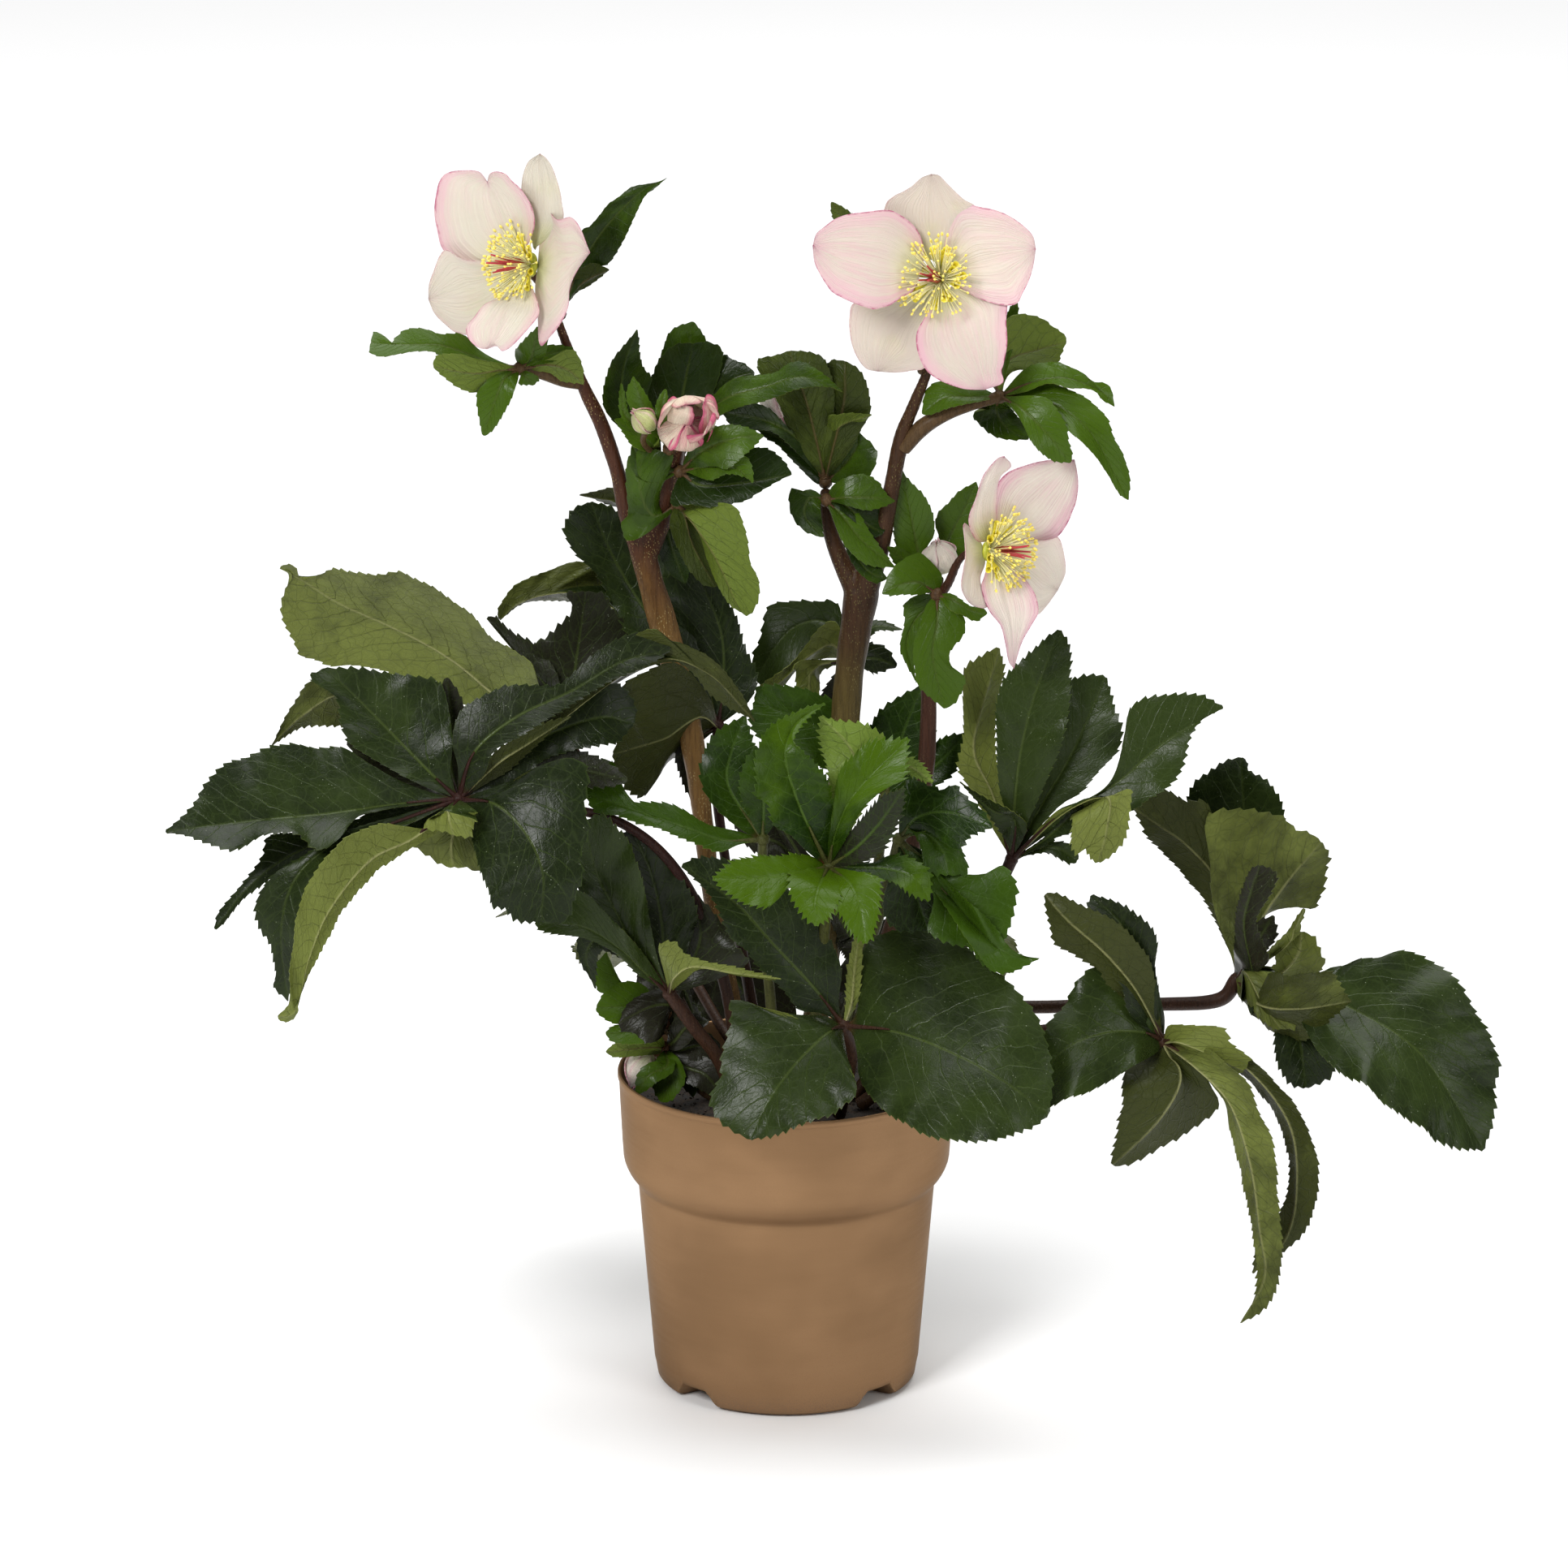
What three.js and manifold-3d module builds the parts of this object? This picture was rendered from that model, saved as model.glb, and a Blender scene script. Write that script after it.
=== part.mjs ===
// A hellebore in its pot: three leafy flower stems, a low shoot and a fan of
// leathery palmate leaves rising from one crown in a round plastic pot.
//
// Millimetres, +Z up. The origin is the middle of the pot's foot, and -Y is
// the side that the open flowers look towards.
//
// Shoots and leaves are placed as [across, up, back]: where a point appears,
// to someone in front of the pot and a little above it, on the upright plane
// through the pot's axis, and how far behind that plane it really is.

import * as THREE from "three";
import { mergeVertices } from "three/addons/utils/BufferGeometryUtils.js";
import Module from "manifold-3d";

const wasm = await Module();
wasm.setup();
const { Manifold, Mesh } = wasm;

// ---------------------------------------------------------------- dimensions

const EYE_DISTANCE = 3000; // of the onlooker from the pot's axis
const EYE_HEIGHT = 1142;
const GAP = 0.3; // air between two pieces that touch

const RIM_RADIUS = 65;
const RIM_HEIGHT = 125;
const SKIRT_RADIUS = 62.9; // lower end of the upper band
const SKIRT_HEIGHT = 90.5;
const NECK_RADIUS = 57.3;
const NECK_HEIGHT = 80.8;
const HEEL_RADIUS = 51.3;
const HEEL_HEIGHT = 9;
const FOOT_RADIUS = 46.5;
const POT_WALL = 1;
const POT_FLOOR = 1.5;
const POT_SIDES = 32;

const DRAIN_COUNT = 4;
const DRAIN_HEIGHT = 6.2;
const DRAIN_WIDTH = 21;
const DRAIN_SLOPE = 5; // how much narrower its roof is than its foot
const DRAIN_INNER = 31; // distance of its inner end from the axis
const DRAIN_HOLE = 4;

const SOIL_TOP = 114;
const SOIL_EDGE = 111.5;
const CROWN_RADIUS = 12;
const CROWN_HEIGHT = 6;

const SMOOTHINGS = [0.05, 0.04, 0.06, 0.03, 0.07, 0.02]; // detail finer than this is dropped
const LEAST_EDGE = 1e-3;
const LEAF_THICKNESS = 0.8;
const SEPAL_THICKNESS = 0.6;
const HUB_RADIUS = 2.3;
const BLADE_STATIONS = [0, 0.18, 0.46, 0.8, 1];
const SMALL_STATIONS = [0, 0.26, 0.62, 1];
const SMALL_BLADE = 21; // a blade narrower than this needs fewer stations
const WIDE_BLADE = 44; // and one wider than this is bent in more places across

// ------------------------------------------------------------------- colours

const looks = {
  potPlastic: { color: 0x99775a, roughness: 0.55, metalness: 0.35 },
  soil: { color: 0x2c211a, roughness: 1, metalness: 0 },
  crown: { color: 0x4a3226, roughness: 0.85, metalness: 0 },
  stem: { color: 0x6b4433, roughness: 0.6, metalness: 0 },
  leafOld: { color: 0x2c3a24, roughness: 0.42, metalness: 0 },
  leafGreen: { color: 0x3d5c23, roughness: 0.45, metalness: 0 },
  leafYoung: { color: 0x5c8a2c, roughness: 0.45, metalness: 0 },
  bract: { color: 0x3f5a28, roughness: 0.5, metalness: 0 },
  sepal: { color: 0xf1e3da, roughness: 0.6, metalness: 0 },
  flowerCentre: { color: 0xd9c93f, roughness: 0.6, metalness: 0 },
  bud: { color: 0xe6cfc4, roughness: 0.6, metalness: 0 },
};

// --------------------------------------------------------------- plain tools

const vec = (a) => new THREE.Vector3(...a);

// The real place of a point given as [across, up, back].
function seen([across, up, back]) {
  const k = (EYE_DISTANCE + back) / EYE_DISTANCE;
  return new THREE.Vector3(across * k, back, EYE_HEIGHT + (up - EYE_HEIGHT) * k);
}

// A closed three.js geometry as a manifold solid.
function solidOf(geometry) {
  const flat = geometry.index ? geometry.toNonIndexed() : geometry;
  const keys = new Map();
  const vertices = [];
  const triangles = [];
  const p = flat.getAttribute("position");
  for (let i = 0; i < p.count; i++) {
    const at = [p.getX(i), p.getY(i), p.getZ(i)];
    const key = at.map((c) => Math.round(c * 1e4)).join();
    if (!keys.has(key)) {
      keys.set(key, vertices.length / 3);
      vertices.push(...at);
    }
    triangles.push(keys.get(key));
  }
  const kept = [];
  for (let i = 0; i < triangles.length; i += 3) {
    const [a, b, c] = triangles.slice(i, i + 3);
    if (a !== b && b !== c && c !== a) kept.push(a, b, c);
  }
  return new Manifold(
    new Mesh({
      numProp: 3,
      vertProperties: new Float32Array(vertices),
      triVerts: new Uint32Array(kept),
    }),
  );
}

// A manifold solid as a three.js geometry.
function geometryOf(solid) {
  const m = solid.getMesh();
  const at = new Float32Array(m.numVert * 3);
  for (let i = 0; i < m.numVert; i++)
    at.set(m.vertProperties.subarray(i * m.numProp, i * m.numProp + 3), i * 3);
  return new THREE.BufferGeometry()
    .setAttribute("position", new THREE.BufferAttribute(at, 3))
    .setIndex(new THREE.BufferAttribute(m.triVerts, 1));
}

const largest = (solid) =>
  solid
    .decompose()
    .reduce((best, s) => (s.volume() > best.volume() ? s : best));

// Whether no two corners of a solid would fall together if it were merged.
function cornersApart(solid) {
  const geometry = geometryOf(solid);
  const merged = mergeVertices(geometry, LEAST_EDGE);
  return merged.attributes.position.count === geometry.attributes.position.count;
}

// The largest body of a solid without its finest detail.
function smoothed(solid) {
  const tries = SMOOTHINGS.map((detail) => largest(solid.simplify(detail)));
  return tries.find(cornersApart) ?? tries[0];
}

// The point at t, 0 to 1, of a smooth curve through the given points.
function curvePoint(points, t) {
  const last = points.length - 1;
  const i = Math.min(Math.floor(t * last), last - 1);
  const u = t * last - i;
  const a = points[i];
  const b = points[i + 1];
  const before = i > 0 ? points[i - 1] : a.clone().multiplyScalar(2).sub(b);
  const after =
    i < last - 1 ? points[i + 2] : b.clone().multiplyScalar(2).sub(a);
  return new THREE.Vector3()
    .addScaledVector(before, -u / 2 + u * u - u ** 3 / 2)
    .addScaledVector(a, 1 - 2.5 * u * u + 1.5 * u ** 3)
    .addScaledVector(b, u / 2 + 2 * u * u - 1.5 * u ** 3)
    .addScaledVector(after, -(u * u) / 2 + u ** 3 / 2);
}

function curveDirection(points, t) {
  const step = 0.01;
  return curvePoint(points, Math.min(t + step, 1))
    .sub(curvePoint(points, Math.max(t - step, 0)))
    .normalize();
}

// A closed skin over rings of the same number of points, capped at both ends.
function loft(rings) {
  const around = rings[0].length;
  const faces = [];
  const quad = (a, b, c, d) => faces.push(a, b, c, a, c, d);
  for (let i = 0; i < rings.length - 1; i++)
    for (let j = 0; j < around; j++) {
      const k = (j + 1) % around;
      quad(rings[i][j], rings[i][k], rings[i + 1][k], rings[i + 1][j]);
    }
  const first = rings[0];
  const last = rings[rings.length - 1];
  const middle = (ring) =>
    ring
      .reduce((sum, p) => sum.add(p), new THREE.Vector3())
      .divideScalar(ring.length);
  const start = middle(first);
  const end = middle(last);
  for (let j = 0; j < around; j++) {
    const k = (j + 1) % around;
    faces.push(start, first[k], first[j], end, last[j], last[k]);
  }
  const solid = solidOf(new THREE.BufferGeometry().setFromPoints(faces));
  return solid.volume() < 0
    ? solidOf(
        new THREE.BufferGeometry().setFromPoints(
          faces.flatMap((_, i) => (i % 3 ? [] : [faces[i], faces[i + 2], faces[i + 1]])),
        ),
      )
    : solid;
}

// A tapering round stalk through the given points. Radii are those at its
// start, at evenly spaced places between, and at its end.
function stalk(route, radii, { sides = 5, steps = 2, extra = 0 } = {}) {
  const points = route.map(seen);
  const count = (points.length - 1) * steps;
  const rings = [];
  let across = new THREE.Vector3(1, 0.31, 0.17);
  for (let i = 0; i <= count; i++) {
    const t = i / count;
    const ahead = curveDirection(points, t);
    across = across.clone().addScaledVector(ahead, -across.dot(ahead)).normalize();
    const up = ahead.clone().cross(across);
    const s = t * (radii.length - 1);
    const k = Math.min(Math.floor(s), radii.length - 2);
    const radius = radii[k] + (radii[k + 1] - radii[k]) * (s - k) + extra;
    const middle = curvePoint(points, t);
    const ring = [];
    for (let j = 0; j < sides; j++) {
      const a = (2 * Math.PI * j) / sides;
      ring.push(
        middle
          .clone()
          .addScaledVector(across, radius * Math.cos(a))
          .addScaledVector(up, radius * Math.sin(a)),
      );
    }
    rings.push(ring);
  }
  return loft(rings);
}

// ------------------------------------------------------------ leaf and petal

// A leaflet, bract lobe or sepal. Its rib runs through the given points, and
// `face` is the way its upper side looks, or two ways for base and tip.
//   width   greatest width          skew   share by which the right side is wider
//   fold    rise of the margins     curl   fall of the margins
//   swell   p and q of the outline t^p (1-t)^q
function blade(
  rib,
  width,
  face,
  { skew = 0, fold = 0.12, curl = 0.1, swell = [0.95, 0.62] } = {},
) {
  return { rib, width, face, skew, fold, curl, swell };
}

function halfWidth({ width, swell: [p, q] }, t) {
  const peak = p / (p + q);
  const most = peak ** p * (1 - peak) ** q;
  return Math.max((width / 2) * ((t ** p * (1 - t) ** q) / most), 0);
}

function bladeSolid(spec, thickness, extra = 0) {
  const points = spec.rib.map(seen);
  const faces = (Array.isArray(spec.face[0]) ? spec.face : [spec.face]).map(vec);
  const cuts = spec.width > WIDE_BLADE ? [-1, -0.5, 0, 0.5, 1] : [-1, 0, 1];
  const least = 0.8 + extra;
  const stations = spec.width < SMALL_BLADE ? SMALL_STATIONS : BLADE_STATIONS;
  const rings = stations.map((t) => {
    const ahead = curveDirection(points, t);
    const up = faces[0].clone().lerp(faces[faces.length - 1], t);
    up.addScaledVector(ahead, -up.dot(ahead)).normalize();
    const side = ahead.clone().cross(up);
    const half = Math.max(halfWidth(spec, t) + extra, least);
    const middle = curvePoint(points, t);
    if (t === 0) middle.addScaledVector(ahead, -extra);
    if (t === 1) middle.addScaledVector(ahead, extra);
    const skin = (cut, sign) => {
      const reach = half * (1 + Math.sign(cut) * spec.skew);
      const rise = spec.fold * Math.abs(cut) - spec.curl * cut * cut;
      return middle
        .clone()
        .addScaledVector(side, cut * reach)
        .addScaledVector(up, rise * half + sign * (thickness / 2 + extra));
    };
    return [
      ...cuts.map((cut) => skin(cut, -1)),
      ...cuts.toReversed().map((cut) => skin(cut, 1)),
    ];
  });
  return loft(rings);
}

function ball(at, radius) {
  const p = seen(at);
  return solidOf(new THREE.SphereGeometry(radius, 6, 4).translate(p.x, p.y, p.z));
}

// A stalk that ends in a hub, from which the ribs of blades run on.
function spray({ stalks = [], hub, hubRadius = HUB_RADIUS, blades, thickness = LEAF_THICKNESS }, extra = 0) {
  return Manifold.union([
    ...stalks.map(([route, radii]) => stalk(route, radii, { extra })),
    ball(hub, hubRadius + extra),
    ...blades.map((b) =>
      bladeSolid({ ...b, rib: [hub, ...b.rib] }, thickness, extra),
    ),
  ]);
}

// ----------------------------------------------------------------------- pot

const turned = (profile, sides = POT_SIDES) =>
  new THREE.LatheGeometry(
    profile.map(([r, z]) => new THREE.Vector2(r, z)),
    sides,
  ).rotateX(Math.PI / 2);

function drainPocket(height, grow = 0) {
  const foot = DRAIN_WIDTH / 2 + grow;
  const roof = foot - DRAIN_SLOPE;
  const outline = new THREE.Shape([
    new THREE.Vector2(-foot, -2),
    new THREE.Vector2(foot, -2),
    new THREE.Vector2(foot - 1, height * 0.35),
    new THREE.Vector2(roof, height),
    new THREE.Vector2(-roof, height),
    new THREE.Vector2(-foot + 1, height * 0.35),
  ]);
  const length = RIM_RADIUS - DRAIN_INNER + grow;
  return solidOf(
    new THREE.ExtrudeGeometry(outline, { depth: length, bevelEnabled: false })
      .rotateX(Math.PI / 2)
      .translate(0, length + DRAIN_INNER - grow, 0),
  );
}

function eachDrain(make) {
  return Manifold.union(
    Array.from({ length: DRAIN_COUNT }, (_, i) =>
      make().rotate([0, 0, 45 + (360 / DRAIN_COUNT) * i]),
    ),
  );
}

// The pot's side from foot to rim, drawn in by `inset`.
const potSide = (inset) => [
  [HEEL_RADIUS - inset, HEEL_HEIGHT],
  [NECK_RADIUS - inset, NECK_HEIGHT],
  [SKIRT_RADIUS - 1.4 - inset, SKIRT_HEIGHT - 4],
  [SKIRT_RADIUS - inset, SKIRT_HEIGHT],
];

function potSolid() {
  const outside = [
    [0, 0],
    [FOOT_RADIUS, 0],
    [FOOT_RADIUS + 3.4, 2],
    ...potSide(0),
    [RIM_RADIUS - 0.6, RIM_HEIGHT - 3],
    [RIM_RADIUS, RIM_HEIGHT - 2.4],
    [RIM_RADIUS, RIM_HEIGHT - 0.4],
    [RIM_RADIUS - 0.4, RIM_HEIGHT],
    [RIM_RADIUS - 1.2, RIM_HEIGHT],
    [RIM_RADIUS - 1.6, RIM_HEIGHT - 0.6],
  ];
  const inside = [
    ...potSide(POT_WALL).reverse(),
    [FOOT_RADIUS + 2.6, 3],
    [FOOT_RADIUS - 0.4, POT_FLOOR],
    [0, POT_FLOOR],
  ];
  const shell = solidOf(turned([...outside, ...inside]));
  const envelope = solidOf(
    turned([
      [0, 0],
      [FOOT_RADIUS, 0],
      [FOOT_RADIUS + 3.4, 2],
      [HEEL_RADIUS, HEEL_HEIGHT],
      [HEEL_RADIUS, HEEL_HEIGHT + 1],
      [0, HEEL_HEIGHT + 1],
    ]),
  );
  const raised = eachDrain(() => drainPocket(DRAIN_HEIGHT + POT_FLOOR, POT_WALL));
  const hole = () =>
    solidOf(
      new THREE.CylinderGeometry(DRAIN_HOLE, DRAIN_HOLE, 40, 12)
        .rotateX(Math.PI / 2)
        .translate(0, (DRAIN_INNER + FOOT_RADIUS) / 2, 0),
    );
  return shell
    .add(raised.intersect(envelope))
    .subtract(eachDrain(() => drainPocket(DRAIN_HEIGHT)))
    .subtract(eachDrain(hole));
}

function soilSolid() {
  const body = solidOf(
    turned(
      [
        [0, POT_FLOOR + GAP],
        [FOOT_RADIUS - 1, POT_FLOOR + GAP],
        [FOOT_RADIUS + 2, 3.6],
        ...potSide(POT_WALL + GAP),
        [RIM_RADIUS - 2.7, SOIL_EDGE],
        [48, SOIL_EDGE + 1.2],
        [24, SOIL_TOP],
        [0, SOIL_TOP],
      ],
    ),
  );
  return body.subtract(
    eachDrain(() => drainPocket(DRAIN_HEIGHT + POT_FLOOR + GAP, POT_WALL + GAP)),
  );
}

function crownSolid() {
  return solidOf(
    turned(
      [
        [0, SOIL_TOP + GAP],
        [CROWN_RADIUS, SOIL_TOP + GAP],
        [CROWN_RADIUS - 1, SOIL_TOP + 3],
        [CROWN_RADIUS - 4, SOIL_TOP + CROWN_HEIGHT - 1],
        [0, SOIL_TOP + CROWN_HEIGHT],
      ],
      16,
    ),
  );
}

// A foot on the soil at the real place x, y, as [across, up, back].
function foot(x, y) {
  const k = (EYE_DISTANCE + y) / EYE_DISTANCE;
  return [x / k, EYE_HEIGHT + (SOIL_TOP + GAP + 0.6 - EYE_HEIGHT) / k, y];
}

// --------------------------------------------------------------------- stems

const stems = {
  stem_left: [
    [
      [foot(-14, 4), [-20, 148, 4], [-28, 190, 4], [-32, 226, 4], [-37, 262, 4], [-45.5, 298, 4], [-51, 318, 3], [-55, 333, 2]],
      [4.6, 3.6, 3.6, 4, 4.6, 5.2, 5.1, 5],
    ],
    [[[-55, 333, 2], [-60, 346, 0], [-63.5, 362, -1], [-69, 380, -2], [-75, 394, -3], [-81, 410, -4], [-86, 424, -6], [-91, 433, -12], [-96, 439.4, -18.8]], [4.4, 3, 2.6, 2.5, 2.2, 1.6, 1.4, 1.5, 1.8]],
    [[[-53, 331, 2], [-48, 343, 1], [-44.5, 355, 0], [-42, 366, -2], [-40, 375.6, -12.4]], [4.6, 3.4, 3, 2.6, 2.2]],
  ],
  stem_centre: [
    [
      [foot(5, 11), [12, 150, 11], [18, 195, 11], [21, 240, 11], [23.6, 279, 11], [26.3, 301, 10], [28.5, 316, 9]],
      [5.6, 5, 5.2, 5.6, 6, 5.9, 6.6],
    ],
    [[[27.5, 314, 9], [19.5, 330, 11], [15.3, 344, 12], [14.8, 355, 13]], [5, 3.4, 2.9, 2.4]],
    [[[29.5, 315, 8], [36, 336, 6], [39.5, 355, 4], [43.5, 376, 2], [48, 388, 1], [53.5, 403, 0], [56.5, 420, -1], [56.8, 430, -4], [56.7, 434.8, -7.6]], [5.2, 3.6, 3.1, 2.9, 2.4, 1.9, 1.6, 1.7, 2]],
  ],
  stem_right: [
    [
      [foot(19, 7), [34, 160, 6], [46, 205, 4], [52.5, 240, 3], [54, 272, 2], [52, 300, 1], [56.5, 313, 0]],
      [3.6, 3.2, 3.3, 3.4, 3.3, 3, 2.6],
    ],
    [[[56.5, 312, 0], [61, 318, -6], [65, 327, -16], [70, 331, -22], [77.2, 331.8, -25]], [2.3, 1.9, 1.7, 1.6, 1.9]],
    [[[55, 311, 1], [57, 316, 4], [58.5, 321, 7]], [2.4, 1.8, 1.5]],
  ],
  stem_low: [[[foot(-27, -6), [-34, 118, -7], [-41, 134, -8], [-47, 141, -8], [-51, 136, -8], [-53, 132, -8]], [2.6, 2.3, 2.1, 1.9, 1.7, 1.5]]],
};

const stemSolid = (parts, extra = 0) =>
  Manifold.union(
    parts.map(([route, radii]) => stalk(route, radii, { sides: 7, extra })),
  );

// -------------------------------------------------------------------- leaves

// Ways that an upper side looks: [right, back, up].
const TO_FRONT = [0, -0.85, 0.5];
const TO_FRONT_LEFT = [-0.35, -0.8, 0.5];
const TO_FRONT_RIGHT = [0.35, -0.8, 0.5];
const TO_SKY = [0, -0.35, 0.95];
const TO_BACK = [0, 0.85, 0.4];
const TO_BACK_LEFT = [-0.45, 0.8, 0.4];
const TO_BACK_RIGHT = [0.45, 0.8, 0.4];

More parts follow.
